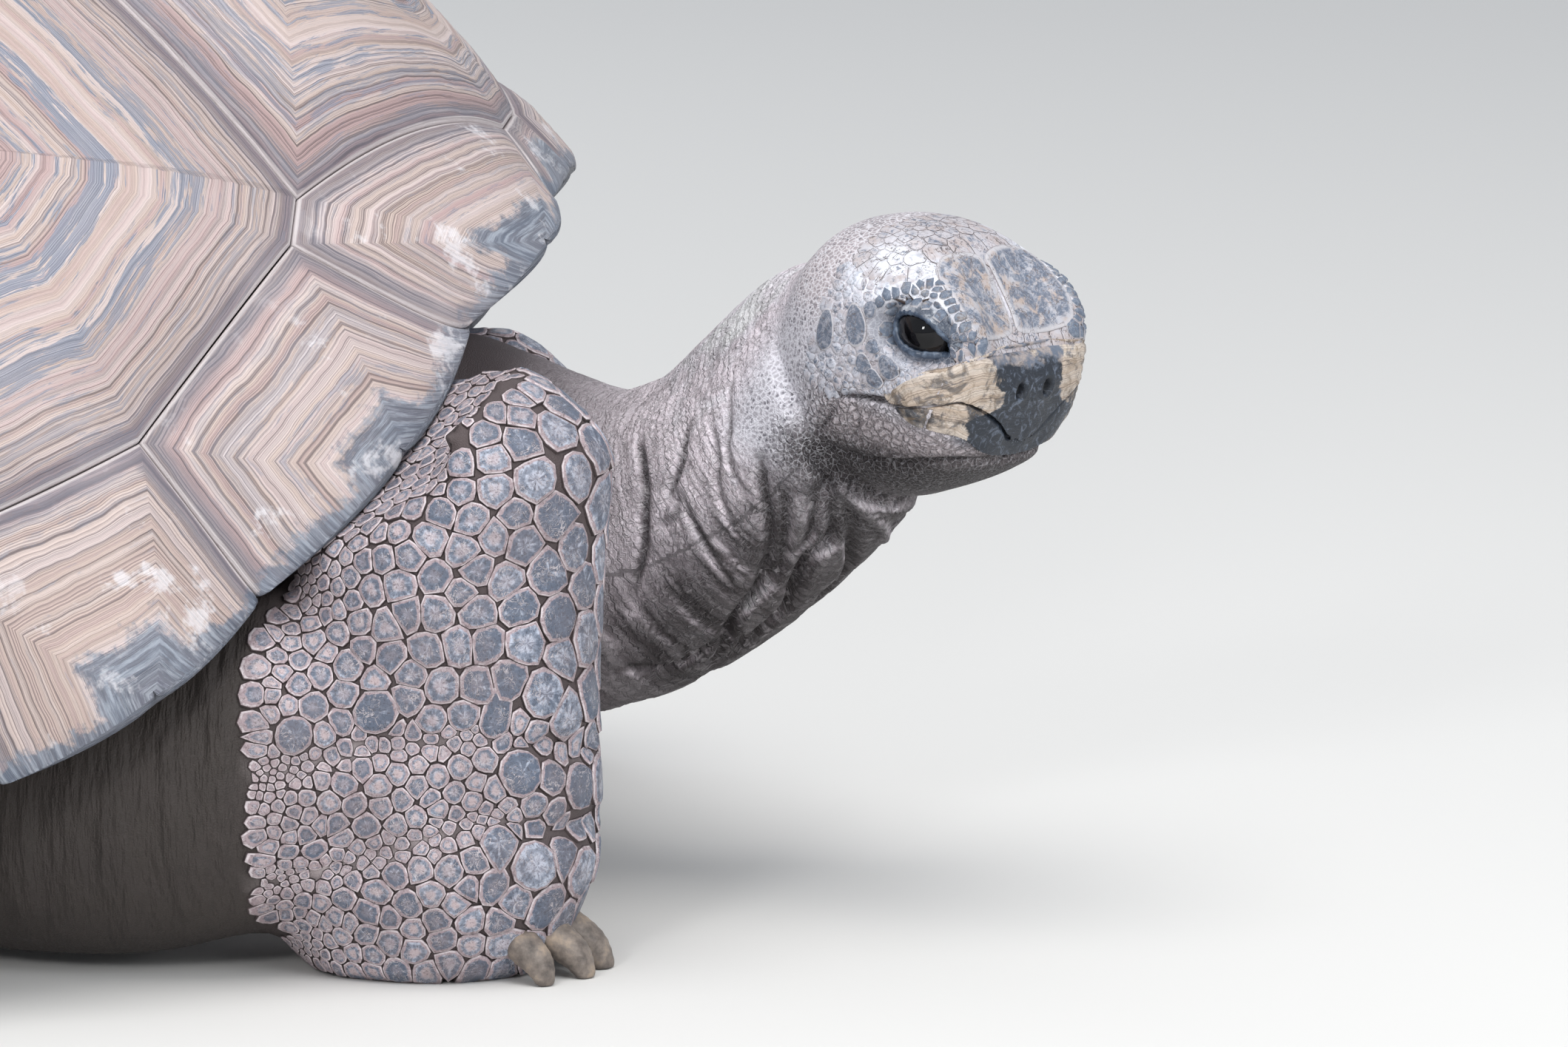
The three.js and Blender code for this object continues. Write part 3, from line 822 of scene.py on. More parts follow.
@dataclass
class ShellPlate:
    """One horn plate: rings of growth from its oldest patch out to its seams."""

    name: str
    corners: list[str]
    side: int
    kind: PlateKind
    seed: int
    step: float = 4.6  # between points along an edge, in millimetres
    gap: float = 0.3
    wall: float = 13.0
    seam_round: float = 1.0
    rim_round: float = 5.6

    def outline(self) -> tuple[Array, Array]:
        """The plate's edge on the disc, and which of its points lie on the rim.

        Returns:
            The edge's points on the disc, and True for each that lies on the rim.
        """
        points, rim = [], []
        for name, after in zip(self.corners, self.corners[1:] + self.corners[:1]):
            a, b = seam_corner(name), seam_corner(after)
            on_rim = name[0] == "R" and after[0] == "R"
            length = np.linalg.norm(DOME.point(a) - DOME.point(b))
            steps = max(3, round(length / self.step))
            for k in range(steps):
                p = a + (b - a) * k / steps
                points.append(p / np.linalg.norm(p) if on_rim else p)
                rim.append(on_rim)
        ring = np.array(points) * np.array([1, self.side])
        if self.side < 0:
            return ring[::-1].copy(), np.array(rim)[::-1].copy()
        return ring, np.array(rim)

    def fields(self, disc: Array, ring: Array, rim: Array, oldest: Array) -> tuple[Array, Array]:
        """How far out each point lies, for the bulge and for the growth.

        Args:
            disc: points on the disc.
            ring: the plate's edge.
            rim: which of its points lie on the rim.
            oldest: the patch that growth starts from.

        Returns:
            Two shares from 0 in the middle to 1 at the edge; the rim doesn't count in the second.
        """
        after = np.roll(ring, -1, axis=0)
        across = np.stack([(after - ring)[:, 1], -(after - ring)[:, 0]], axis=1)
        across /= np.maximum(np.linalg.norm(across, axis=1, keepdims=True), 1e-9)
        level = (across * ring).sum(axis=1)
        middle = ring.mean(axis=0)

        def share(start: Array, use: Array) -> Array:
            """The largest share of the way from start to an edge line.

            Args:
                start: the place on the disc that growth starts from.
                use: True for each edge line that counts.

            Returns:
                A share for each of the plate's points.
            """
            room = level[use] - across[use] @ start
            gone = disc @ across[use].T - across[use] @ start
            return np.max(gone / np.where(np.abs(room) < 1e-9, 1e-9, room), axis=1)

        seams = ~(rim & np.roll(rim, -1))
        return np.clip(share(middle, np.ones(len(ring), bool)), 0, 1), np.clip(share(oldest, seams), 0, 1.02)

    def zones(self, span: float, rng: np.random.Generator) -> Array:
        """The shares at which one year's growth ends and the next starts.

        Args:
            span: the length of its growth, in mm.
            rng: makes the random draws.

        Returns:
            Shares from 0 to 1.
        """
        edges, at = [0.0], 0.0
        while at < span - 3:
            at += rng.uniform(0.75, 1.3) * (8.5 - 4.2 * at / span)
            edges.append(at)
        return np.array(edges) / edges[-1]

    def build(self, horn: bpy.types.Material) -> bpy.types.Object:
        """Makes the plate's mesh and dresses it.

        Args:
            horn: the plate's material.

        Returns:
            The plate.
        """
        rng = np.random.default_rng(self.seed)
        ring, rim = self.outline()
        rim_corner = rim | np.roll(rim, 1)
        middle = ring.mean(axis=0)
        oldest = middle
        if rim.any():
            oldest = middle + (ring[rim].mean(axis=0) - middle) * 0.74
        edge, start = DOME.point(ring), DOME.point(oldest)
        span = np.linalg.norm(edge - start, axis=1)
        reach = float(np.mean(span[~rim]))
        years = self.zones(reach, rng)
        loops: list[tuple[float, float]] = []
        for a, b in zip(years[:-1], years[1:]):
            depth = rng.uniform(0.6, 1.25)
            loops += [
                (a + (b - a) * s, h * depth)
                for s, h in ((0.04, 0.0), (0.28, 0.75), (0.6, 1.0), (0.88, 0.45))
            ]
        round_off = np.where(rim_corner, self.rim_round, self.seam_round)
        round_off = (np.roll(round_off, 1) + 2 * round_off + np.roll(round_off, -1)) / 4
        limit = 1 - round_off / span
        rows, growth, lifts = [], [], []
        for share, height in loops:
            if share <= 0.001:
                continue
            r = np.minimum(share, limit * (0.985 + 0.015 * share))
            q = oldest + (ring - oldest) * (r * (1 - self.gap / span))[:, None]
            wave = 0.011 * noise(DOME.point(q) * 1.0, 26, self.seed % 97) * np.clip(4 * r * (1 - r), 0, 1)
            q = q + (ring - oldest) * wave[:, None]
            strength = smooth(share, 0.12, 0.5) * 0.75 + 0.25
            rows.append(q)
            growth.append(np.full(len(ring), share))
            lifts.append(height * self.kind.relief * strength * (0.75 + 0.35 * noise(DOME.point(q), 34, 5)))
        inset_loops = []
        for turn in (30, 60, 90):
            sine, cosine = math.sin(math.radians(turn)), math.cos(math.radians(turn))
            inset_loops.append((round_off * (1 - sine), -round_off * (1 - cosine)))
        for turn in (90, 120, 150, 180):
            sine, cosine = math.sin(math.radians(turn)), math.cos(math.radians(turn))
            inset_loops.append((round_off * (1 - sine), -self.wall + round_off * (1 + cosine)))
        for inset, lift in inset_loops:
            rows.append(oldest + (ring - oldest) * (1 - (self.gap + inset) / span)[:, None])
            growth.append(np.ones(len(ring)))
            lifts.append(lift)
        for share in (0.7, 0.35):
            rows.append(oldest + (ring - oldest) * share)
            growth.append(np.full(len(ring), 1.0))
            lifts.append(np.full(len(ring), -self.wall))
        disc = np.concatenate([oldest[None], *rows, oldest[None]])
        lift = np.concatenate([[0.0], *lifts, [-self.wall]])
        bulge_share, grown = self.fields(disc, ring, rim, oldest)
        top = np.zeros(len(disc), bool)
        top[: 1 + len(ring) * (len(rows) - 6)] = True
        bulge = np.where(top, self.kind.bulge * (1 - bulge_share**2.5), 0)
        surface = DOME.point(disc)
        points = surface + DOME.normal(disc) * (lift + bulge)[:, None]
        piece = mesh_from(f"{self.name}_horn", points * MM, tube_faces(len(rows), len(ring)))
        self.note_all(piece, surface, edge, rim, ring, grown, reach, np.concatenate([[0.0], *growth, [1.0]]))
        dress(piece, horn, "carapace", self.name)
        return piece

    def note_all(self, piece: bpy.types.Object, surface: Array, edge: Array, rim: Array, ring: Array,
                 grown: Array, reach: float, shares: Array) -> None:
        """Writes what the horn finish reads: growth, seam, rim, course and the plate's own number.

        Args:
            piece: the plate's mesh.
            surface: its points on the dome, in mm.
            edge: its edge on the dome, in mm.
            rim: True for each of the edge's points that lies on the rim.
            ring: its edge on the disc.
            grown: each point's share of the way from the oldest patch to the seams.
            reach: the length of its growth, in mm.
            shares: each point's share of the growth.
        """
        rim_points = edge[rim] if rim.any() else np.full((1, 3), 1e4)
        seam_points = edge[~rim]
        near = lambda to: np.min(np.linalg.norm(surface[:, None] - to[None], axis=2), axis=1)
        cut = rim.any() and self.kind not in (PlateKind.COSTAL, PlateKind.VERTEBRAL)
        note(piece, "growth", (grown if cut else shares) * reach)
        note(piece, "seam", near(seam_points))
        note(piece, "rim", near(rim_points))
        lengths = np.linalg.norm(np.diff(edge, axis=0, append=edge[:1]), axis=1).cumsum()
        around = np.tile(lengths, (len(surface) - 2) // len(ring))
        note(piece, "course", np.concatenate([[0.0], around, [0.0]]) * np.maximum(shares, 0.05))
        note(piece, "plate", np.full(len(surface), self.seed * 7.77))


@dataclass
class Carapace:
    """The 37 plates of the upper shell."""

    horn: bpy.types.Material
    first_seed: int = 11
    pieces: list[bpy.types.Object] = field(default_factory=list)

    def build(self) -> None:
        """Makes every plate."""
        seed = self.first_seed
        for name, corners in MIDDLE_PLATES.items():
            kind = PlateKind[name.split("_")[0].upper()]
            self.pieces.append(ShellPlate(name, corners.split(), 1, kind, seed).build(self.horn))
            seed += 1
        for name, corners in SIDE_PLATES.items():
            kind = PlateKind[name.split("_")[0].upper()]
            for word, side in (("left", 1), ("right", -1)):
                plate = ShellPlate(f"{name}_{word}", corners.split(), side, kind, seed)
                self.pieces.append(plate.build(self.horn))
                seed += 1


# ------------------------------------------------------------------ the plastron
@dataclass(frozen=True)
class Plastron:
    """The flat lower shell. Millimetres."""

    front: float = 335
    rear: float = -395
    lobe: float = 195
    bridge: float = 342
    bridge_rise: float = 88
    plate: float = 16
    seams: tuple[float, ...] = (335, 268, 175, 75, -160, -262, -395)
    names: tuple[str, ...] = ("gular", "humeral", "pectoral", "abdominal", "femoral", "anal")

    def half(self, x: Array) -> Array:
        """Half its width at each place along it.

        Args:
            x: places along it, in mm.

        Returns:
            Half its width at each, in mm.
        """
        bridge = smooth(x, -215, -150) * (1 - smooth(x, 150, 215))
        taper = (1 - 0.62 * smooth(x, 190, self.front + 30)) * (1 - 0.5 * smooth(-x, 200, -self.rear + 20))
        return self.lobe * taper * (1 - bridge) + self.bridge * bridge

    def point(self, x: Array, across: Array, thickness: Array) -> Array:
        """A place on it, from how far along, how far across and how high in its wall.

        Args:
            x: how far along it each place lies, in mm.
            across: how far across, from -1 to 1.
            thickness: how high in its wall, in mm.

        Returns:
            One row of x, y and z for each place, in mm.
        """
        bridge = smooth(x, -215, -150) * (1 - smooth(x, 150, 215))
        climb = smooth(np.abs(across), 0.55, 1) ** 1.2
        curl = 26 * smooth(x, 200, self.front) + 14 * smooth(-x, 280, 400)
        rise = climb * (20 * (1 - bridge) + self.bridge_rise * bridge) + curl
        return np.stack([x, across * self.half(x), rise + thickness], axis=-1)

    def build(self, horn: bpy.types.Material) -> None:
        """Makes its six pairs of plates, each pair one piece with a groove between the two."""
        for i, name in enumerate(self.names):
            ahead, behind = self.seams[i] - 0.15, self.seams[i + 1] + 0.15
            self.pair(f"{name}_plates", ahead, behind, 60 + i, horn)

    def pair(self, name: str, ahead: float, behind: float, seed: int, horn: bpy.types.Material) -> None:
        """Makes one pair of plates.

        Args:
            name: the CAD node it stands for.
            ahead: its front seam.
            behind: its hind seam.
            seed: picks its markings.
            horn: its finish.
        """
        long = max(8, round((ahead - behind) / 7))
        wide = 64
        bpy.ops.object.select_all(action="DESELECT")
        bpy.ops.mesh.primitive_grid_add(x_subdivisions=long, y_subdivisions=wide, size=2)
        piece = bpy.context.object
        piece.name = piece.data.name = f"{name}_horn"
        share = places_of(piece)
        x = behind + (ahead - behind) * (share[:, 0] + 1) / 2
        across = share[:, 1]
        groove = 1.5 * np.exp(-((across * self.half(x)) / 1.6) ** 2)
        move_to(piece, self.point(x, across, 0.0 * x) * MM)
        finish_with(piece, "SOLIDIFY", thickness=self.plate * MM, offset=1.0)
        places = places_of(piece)
        places[: len(share), 2] += groove * MM
        move_to(piece, places)
        face_outward(piece)
        finish_with(piece, "BEVEL", width=0.0012, segments=2, limit_method="ANGLE")
        piece.data.polygons.foreach_set("use_smooth", np.ones(len(piece.data.polygons), bool))
        alone(piece)
        bpy.ops.object.shade_smooth_by_angle(angle=math.radians(40))
        places = places_of(piece) / MM
        middle = np.array([(ahead + behind) / 2, 0, 0])
        half = np.maximum(self.half(places[:, 0]), 1)
        side = np.abs(places[:, 1]) / half
        along = np.abs(places[:, 0] - middle[0]) / ((ahead - behind) / 2)
        note(piece, "growth", np.maximum(along * 0.9, np.abs(side - 0.35) / 0.65) * (ahead - behind) / 2)
        note(piece, "seam", np.minimum(np.abs(places[:, 1]), (1 - along) * (ahead - behind) / 2))
        note(piece, "rim", (1 - side) * half)
        note(piece, "course", places[:, 1] + places[:, 0])
        note(piece, "plate", np.full(len(places), seed * 5.5))
        dress(piece, horn, "plastron", name)


# ------------------------------------------------------------------ flesh
def centripetal(points: Sequence[Point], share: Array) -> Array:
    """Places on a smooth curve through points, at shares from 0 to 1.

    Args:
        points: points that it passes through.
        share: shares from 0 to 1.

    Returns:
        One row for each share.
    """
    p = np.asarray(points, float)
    padded = np.concatenate([[2 * p[0] - p[1]], p, [2 * p[-1] - p[-2]]])
    place = np.clip(share, 0, 1) * (len(p) - 1)
    i = np.minimum(place.astype(int), len(p) - 2)
    w = (place - i)[:, None]
    a, b, c, d = (padded[i + k] for k in range(4))
    gap = [np.sqrt(np.linalg.norm(q - r, axis=1, keepdims=True)) for q, r in ((b, a), (c, b), (d, c))]
    t0 = ((b - a) / gap[0] - (c - a) / (gap[0] + gap[1]) + (c - b) / gap[1]) * gap[1]
    t1 = ((c - b) / gap[1] - (d - b) / (gap[1] + gap[2]) + (d - c) / gap[2]) * gap[1]
    return b + w * (t0 + w * (-3 * b + 3 * c - 2 * t0 - t1 + w * (2 * b - 2 * c + t0 + t1)))


@dataclass(frozen=True)
class Sweep:
    """A ball drawn out along a curve, with its half sizes along it. Millimetres."""

    points: tuple[Point, ...]
    width: tuple[float, ...]
    height: tuple[float, ...]
    sideways: Point

    def mirrored(self) -> "Sweep":
        """The same on the other side."""
        flip = lambda p: (p[0], -p[1], p[2])
        return Sweep(tuple(flip(p) for p in self.points), self.width, self.height, flip(self.sideways))

    def body(self, name: str, grow: float, around: int = 56, rows: int = 70) -> bpy.types.Object:
        """Makes it a closed mesh.

        Args:
            name: the object's name.
            grow: how much fatter it is, in millimetres.
            around: points in a row.
            rows: rows from end to end.

        Returns:
            The new object.
        """
        share = 0.5 - 0.5 * np.cos(np.pi * np.arange(1, rows + 1) / (rows + 1))
        tangent = unit(centripetal(self.points, share + 1e-3) - centripetal(self.points, share - 1e-3))
        up = unit(np.cross(tangent, np.array(self.sideways, float)))
        across = unit(np.cross(up, tangent))
        full = np.minimum(1, np.sin(np.pi * share) / 0.55) ** 0.6
        wide = full * (curve_through(self.width)(share) + grow)
        high = full * (curve_through(self.height)(share) + grow)
        angle = np.arange(around) * 2 * np.pi / around
        middle = centripetal(self.points, share)
        rings = (
            middle[:, None]
            + np.cos(angle)[None, :, None] * (across * wide[:, None])[:, None]
            + np.sin(angle)[None, :, None] * (up * high[:, None])[:, None]
        )
        ends = centripetal(self.points, np.array([0.0, 1.0]))
        points = np.concatenate([ends[:1], rings.reshape(-1, 3), ends[1:]])
        piece = mesh_from(name, points * MM, tube_faces(rows, around))
        face_outward(piece)
        return piece


NECK = Sweep(
    ((380, -5, 135), (470, -18, 128), (540, -40, 133), (585, -66, 158), (620, -90, 192), (645, -104, 212)),
    (118, 86, 58, 47, 44, 38), (104, 80, 59, 49, 44, 38), (0, 1, 0),
)
NAPE = Sweep(
    ((512, -30, 138), (540, -36, 154), (566, -44, 166), (590, -54, 188), (612, -66, 213), (636, -80, 228)),
    (40, 42, 42, 42, 40, 34), (32, 35, 36, 37, 35, 30), (0, 1, 0),
)
FORE_ARM = ((50, 54, 53, 50), (56, 59, 64, 60), (0, 1, 0))
LEFT_THIGH = Sweep(
    ((-190, 70, 92), (-270, 140, 84), (-345, 205, 72), (-385, 240, 62)),
    (52, 54, 54, 48), (46, 46, 46, 42), (0.6, -0.8, 0),
)
LEFT_SHIN = Sweep(
    ((-382, 246, 108), (-388, 250, 70), (-392, 254, 30), (-392, 256, -50)),
    (46, 52, 55, 56), (44, 50, 52, 53), (1, 0, 0),
)
LIMBS: dict[str, tuple[Sweep, Sweep]] = {
    "right_foreleg": (
        Sweep(((225, -150, 82), (310, -200, 62), (390, -216, 74), (472, -206, 112)), *FORE_ARM),
        Sweep(
            ((488, -200, 231), (482, -202, 185), (475, -205, 125), (470, -206, 65), (474, -207, -50)),
            (62, 58, 60, 65, 64), (44, 49, 52, 52, 52), (1, 0, 0),
        ),
    ),
    "left_foreleg": (
        Sweep(((225, 150, 80), (300, 196, 60), (370, 214, 66), (445, 208, 96)), *FORE_ARM),
        Sweep(
            ((470, 206, 178), (459, 207, 142), (448, 209, 95), (438, 210, 45), (438, 210, -50)),
            (46, 50, 58, 63, 62), (42, 48, 52, 52, 52), (1, 0, 0),
        ),
    ),
    "left_hind_leg": (LEFT_THIGH, LEFT_SHIN),
    "right_hind_leg": (LEFT_THIGH.mirrored(), LEFT_SHIN.mirrored()),
}
TAIL = Sweep(
    ((-395, 0, 84), (-460, 6, 62), (-505, 30, 40), (-522, 66, 24), (-512, 104, 14)),
    (34, 30, 22, 14, 6), (34, 30, 22, 14, 6), (0, 1, 0),
)


@dataclass(frozen=True)
class HeadFrame:
    """Where the head sits: millimetres ahead, to the left of and above the point between the eyes."""

    eyes: Point = (673, -120, 229)
    yaw: float = -37
    pitch: float = 18

    @property
    def turn(self) -> Array:
        """The head's axes, as columns.

        Returns:
            A matrix with an axis in each column.
        """
        a, b = math.radians(self.yaw), math.radians(self.pitch)
        about_z = np.array([[math.cos(a), -math.sin(a), 0], [math.sin(a), math.cos(a), 0], [0, 0, 1]])
        about_y = np.array([[math.cos(b), 0, math.sin(b)], [0, 1, 0], [-math.sin(b), 0, math.cos(b)]])
        return about_z @ about_y

    def out(self, local: Array) -> Array:
        """From the head's millimetres to metres in the scene."""
        return (np.asarray(local, float) @ self.turn.T + np.array(self.eyes)) * MM

    def into(self, places: Array) -> Array:
        """From metres in the scene to the head's millimetres."""
        return (places / MM - np.array(self.eyes)) @ self.turn


HEAD = HeadFrame()


@dataclass(frozen=True)
class Skull:
    """The head's main form, in its own frame, from the snout to the nape. Millimetres."""

    middle: float = -5
    snout: float = 33
    back: float = 76
    width: tuple[float, ...] = (0, 26, 38.5, 43.5, 46, 48.5, 41, 25, 0)
    top: tuple[float, ...] = (-13, 9, 20, 24.5, 27.0, 27.0, 18.5, 1, -15)
    bottom: tuple[float, ...] = (-26, -46, -55, -64, -73, -82, -77, -56, -20)
    power: float = 2.4
    forehead: tuple[float, float] = (-8.1, 22.4)
    facing: tuple[float, float] = (0.691, 0.722)
    sag: float = 0.86
    rounding: float = 3.0

    def sloped(self, p: Array, grow: float = 0.0, undo: bool = False) -> Array:
        """Presses the forehead to a slope between the brows, or takes that back.

        Args:
            p: points of the head, in its millimetres.
            grow: how far outside the form they lie.
            undo: whether to take the slope back.

        Returns:
            The moved points.
        """
        high = (
            (p[..., 0] - self.forehead[0]) * self.facing[0]
            + (p[..., 2] - self.forehead[1]) * self.facing[1]
        )
        high = high - grow
        share = self.sag * (1 - smooth(np.abs(p[..., 1]), 13, 35)) + 1e-6
        if undo:
            half = 1 - share / 2
            rest = (high * half) ** 2 - (1 - share) * (high**2 - (share * self.rounding) ** 2 / 4)
            step = (high * half + np.sqrt(np.maximum(rest, 0))) / (1 - share) - high
        else:
            step = -share * (high + np.sqrt(high**2 + self.rounding**2)) / 2
        moved = p.copy()
        moved[..., 0] += step * self.facing[0]
        moved[..., 2] += step * self.facing[1]
        return moved

    def rings(self, grow: float, rows: int, around: int) -> Array:
        """Points of the form, snout first, in rows, with the two poles.

        Args:
            grow: how far the form is grown outwards, in mm.
            rows: how many rows of points.
            around: how many points are in a row.

        Returns:
            One row of x, y and z for each point.
        """
        t = 0.5 - 0.5 * np.cos(np.pi * np.arange(0, rows + 2) / (rows + 1))
        t = 0.5 * (t + np.arange(0, rows + 2) / (rows + 1))
        c = np.cos(np.pi * t)[:, None]
        x = self.middle + c * np.where(c > 0, self.snout + grow, self.back + grow)
        angle = (np.arange(around) * 2 * np.pi / around)[None]
        across = np.sign(np.cos(angle)) * np.abs(np.cos(angle)) ** (2 / self.power)
        up = np.sign(np.sin(angle)) * np.abs(np.sin(angle)) ** (2 / self.power)
        inner = ((t > 0) & (t < 1))[:, None]
        wide = (curve_through(self.width)(t)[:, None] + grow) * inner
        middle = (-23 + 4 * t)[:, None]
        top, bottom = curve_through(self.top)(t)[:, None], curve_through(self.bottom)(t)[:, None]
        y = across * wide
        z = middle + up * (np.where(up > 0, top - middle, middle - bottom) + grow) * inner
        brow = 2.5 * bell(x, 3, 12) * bell(z, 14, 9) * smooth(np.abs(y), 20, 40)
        cheek = 2 * bell(x, 10, 12) * bell(z, -24, 9) * smooth(np.abs(y), 15, 34)
        y = y + np.sign(y) * (brow + cheek)
        full = self.sloped(np.stack([x + 0 * y, y, z], axis=-1), grow)
        return np.concatenate([full[0, :1], full[1:-1].reshape(-1, 3), full[-1, :1]])

    def snap(self, local: Array) -> Array:
        """Moves points that lie near the form onto it.

        Args:
            local: points in the head's frame, in mm.

        Returns:
            The same points, moved.
        """
        x, y, z = self.sloped(local, undo=True).T
        c = (x - self.middle) / np.where(x > self.middle, self.snout, self.back)
        t = np.arccos(np.clip(c, -0.999, 0.999)) / np.pi
        middle = -23 + 4 * t
        wide = np.maximum(curve_through(self.width)(t), 1)
        top, bottom = curve_through(self.top)(t), curve_through(self.bottom)(t)
        brow = 2.5 * bell(x, 3, 12) * bell(z, 14, 9) * smooth(np.abs(y), 20, 40)
        cheek = 2 * bell(x, 10, 12) * bell(z, -24, 9) * smooth(np.abs(y), 15, 34)
        flat = y - np.sign(y) * (brow + cheek)
        high = np.where(z > middle, top - middle, middle - bottom)
        level = (
            np.abs(flat / wide) ** self.power + np.abs((z - middle) / high) ** self.power
        ) ** (1 / self.power)
        near = (
            (1 - smooth(np.abs(level - 1), 0.05, 0.12))
            * (1 - smooth(c, 0.86, 0.96)) * smooth(c, -0.86, -0.6)
        )
        pull = 1 + near * (1 / np.maximum(level, 0.2) - 1)
        return self.sloped(np.stack([x, flat * pull + (y - flat), middle + (z - middle) * pull], axis=1))

    def body(self, name: str, grow: float, rows: int = 90, around: int = 96) -> bpy.types.Object:
        """Makes it a closed mesh in its place.

        Args:
            name: the object's name.
            grow: how far the form is grown outwards, in mm.
            rows: how many rows of points.
            around: how many points are in a row.

        Returns:
            The closed mesh.
        """
        piece = mesh_from(name, HEAD.out(self.rings(grow, rows, around)), tube_faces(rows, around))
        face_outward(piece)
        return piece


SKULL = Skull()
NOSTRIL = (7.8, -15.4)


def trunk_body() -> bpy.types.Object:
    """The flesh between the two shells, seen only at their openings.

    Returns:
        The closed mesh.
    """
    rows, around, inside, above = 44, 90, 34.0, 28.0
    polar = np.repeat(np.arange(1, rows + 1) / (rows + 1), around)
    angle = np.tile(np.arange(around) * 2 * np.pi / around, rows)
    angle = np.arctan2(np.sin(angle), np.cos(angle))
    upper, lower = np.clip(polar / 0.5, 0, 1), np.clip((1 - polar) / 0.5, 0, 1)
    turn = np.abs(np.degrees(angle))
    opened = 0.05 * (1 - smooth(turn, 40, 70)) + 0.03 * smooth(turn, 120, 150)
    reach = (0.93 - opened) * upper
    disc = np.stack([reach * np.cos(angle), reach * np.sin(angle)], axis=1)
    roof = DOME.point(disc) - inside * DOME.normal(disc)
    plates = Plastron()
    x = np.clip(roof[:, 0], plates.rear + 30, plates.front - 20) * lower
    half = plates.half(x)
    y = np.clip(roof[:, 1], 12 - half, half - 12) * lower
    base = plates.point(x, y / half, above)
    rings = np.where((polar <= 0.5)[:, None], roof, base)
    crown = DOME.point(np.zeros((1, 2))) - [[0, 0, inside]]
    points = np.concatenate([crown, rings, [[0, 0, above]]])
    piece = mesh_from("trunk_form", points * MM, tube_faces(rows, around))
    face_outward(piece)
    return piece


def shell_room(slack: float = 5.0) -> bpy.types.Object:
    """A solid as wide as the upper shell and a little thicker; flesh is cut back to it.

    Args:
        slack: the room that it leaves, in mm.

    Returns:
        The closed mesh.
    """
    around = 120
    rings = (0.2, 0.4, 0.6, 0.7, 0.8, 0.87, 0.93, 0.98, 1.01)
    angle = np.arange(around) * 2 * np.pi / around
    spokes = np.stack([np.cos(angle), np.sin(angle)], axis=1)
    rows = []
    for r in rings:
        rows.append(DOME.point(spokes * r) + 40 * DOME.normal(spokes * r))
    for r in rings[::-1]:
        rows.append(DOME.point(spokes * r) - (13 + slack) * DOME.normal(spokes * r))
    crown = DOME.point(np.zeros((1, 2)))
    points = np.concatenate([crown + [[0, 0, 40]], *rows, crown - [[0, 0, 13 + slack]]])
    piece = mesh_from("shell_room", points * MM, tube_faces(len(rows), around))
    face_outward(piece)
    return piece


def plastron_room() -> list[bpy.types.Object]:
    """The plastron as one closed slab, for flesh to be cut back to it.

    Returns:
        The slab, in a list.
    """
    plates = Plastron()
    long, wide = 150, 60
    x = np.linspace(plates.rear - 1, plates.front + 1, long)
    across = np.linspace(-1.01, 1.01, wide)
    grid_x, grid_a = np.meshgrid(x, across, indexing="ij")
    layers = [plates.point(grid_x, grid_a, np.full_like(grid_x, t)) for t in (-3.0, plates.plate + 2.0)]
    points = np.concatenate([layer.reshape(-1, 3) for layer in layers])
    at = lambda layer, i, j: layer * long * wide + i * wide + j
    faces = []
    for i in range(long - 1):
        for j in range(wide - 1):
            for layer in (0, 1):
                faces.append([at(layer, i, j), at(layer, i + 1, j), at(layer, i + 1, j + 1),
                              at(layer, i, j + 1)])
    for i in range(long - 1):
        for j in (0, wide - 1):
            faces.append([at(0, i, j), at(0, i + 1, j), at(1, i + 1, j), at(1, i, j)])
    for j in range(wide - 1):
        for i in (0, long - 1):
            faces.append([at(0, i, j), at(0, i, j + 1), at(1, i, j + 1), at(1, i, j)])
    piece = mesh_from("plastron_room", points * MM, faces)
    face_outward(piece)
    return [piece]


@dataclass(frozen=True)
class Fold:
    """A crease or a ridge in the skin: a line of points, how wide it is and how deep it goes.

    The points are in the head's millimetres, or in the scene's where it says so. A negative
    depth raises a ridge.
    """

    line: tuple[Point, ...]
    width: float
    depth: float
    both_sides: bool = True
    in_scene: bool = False


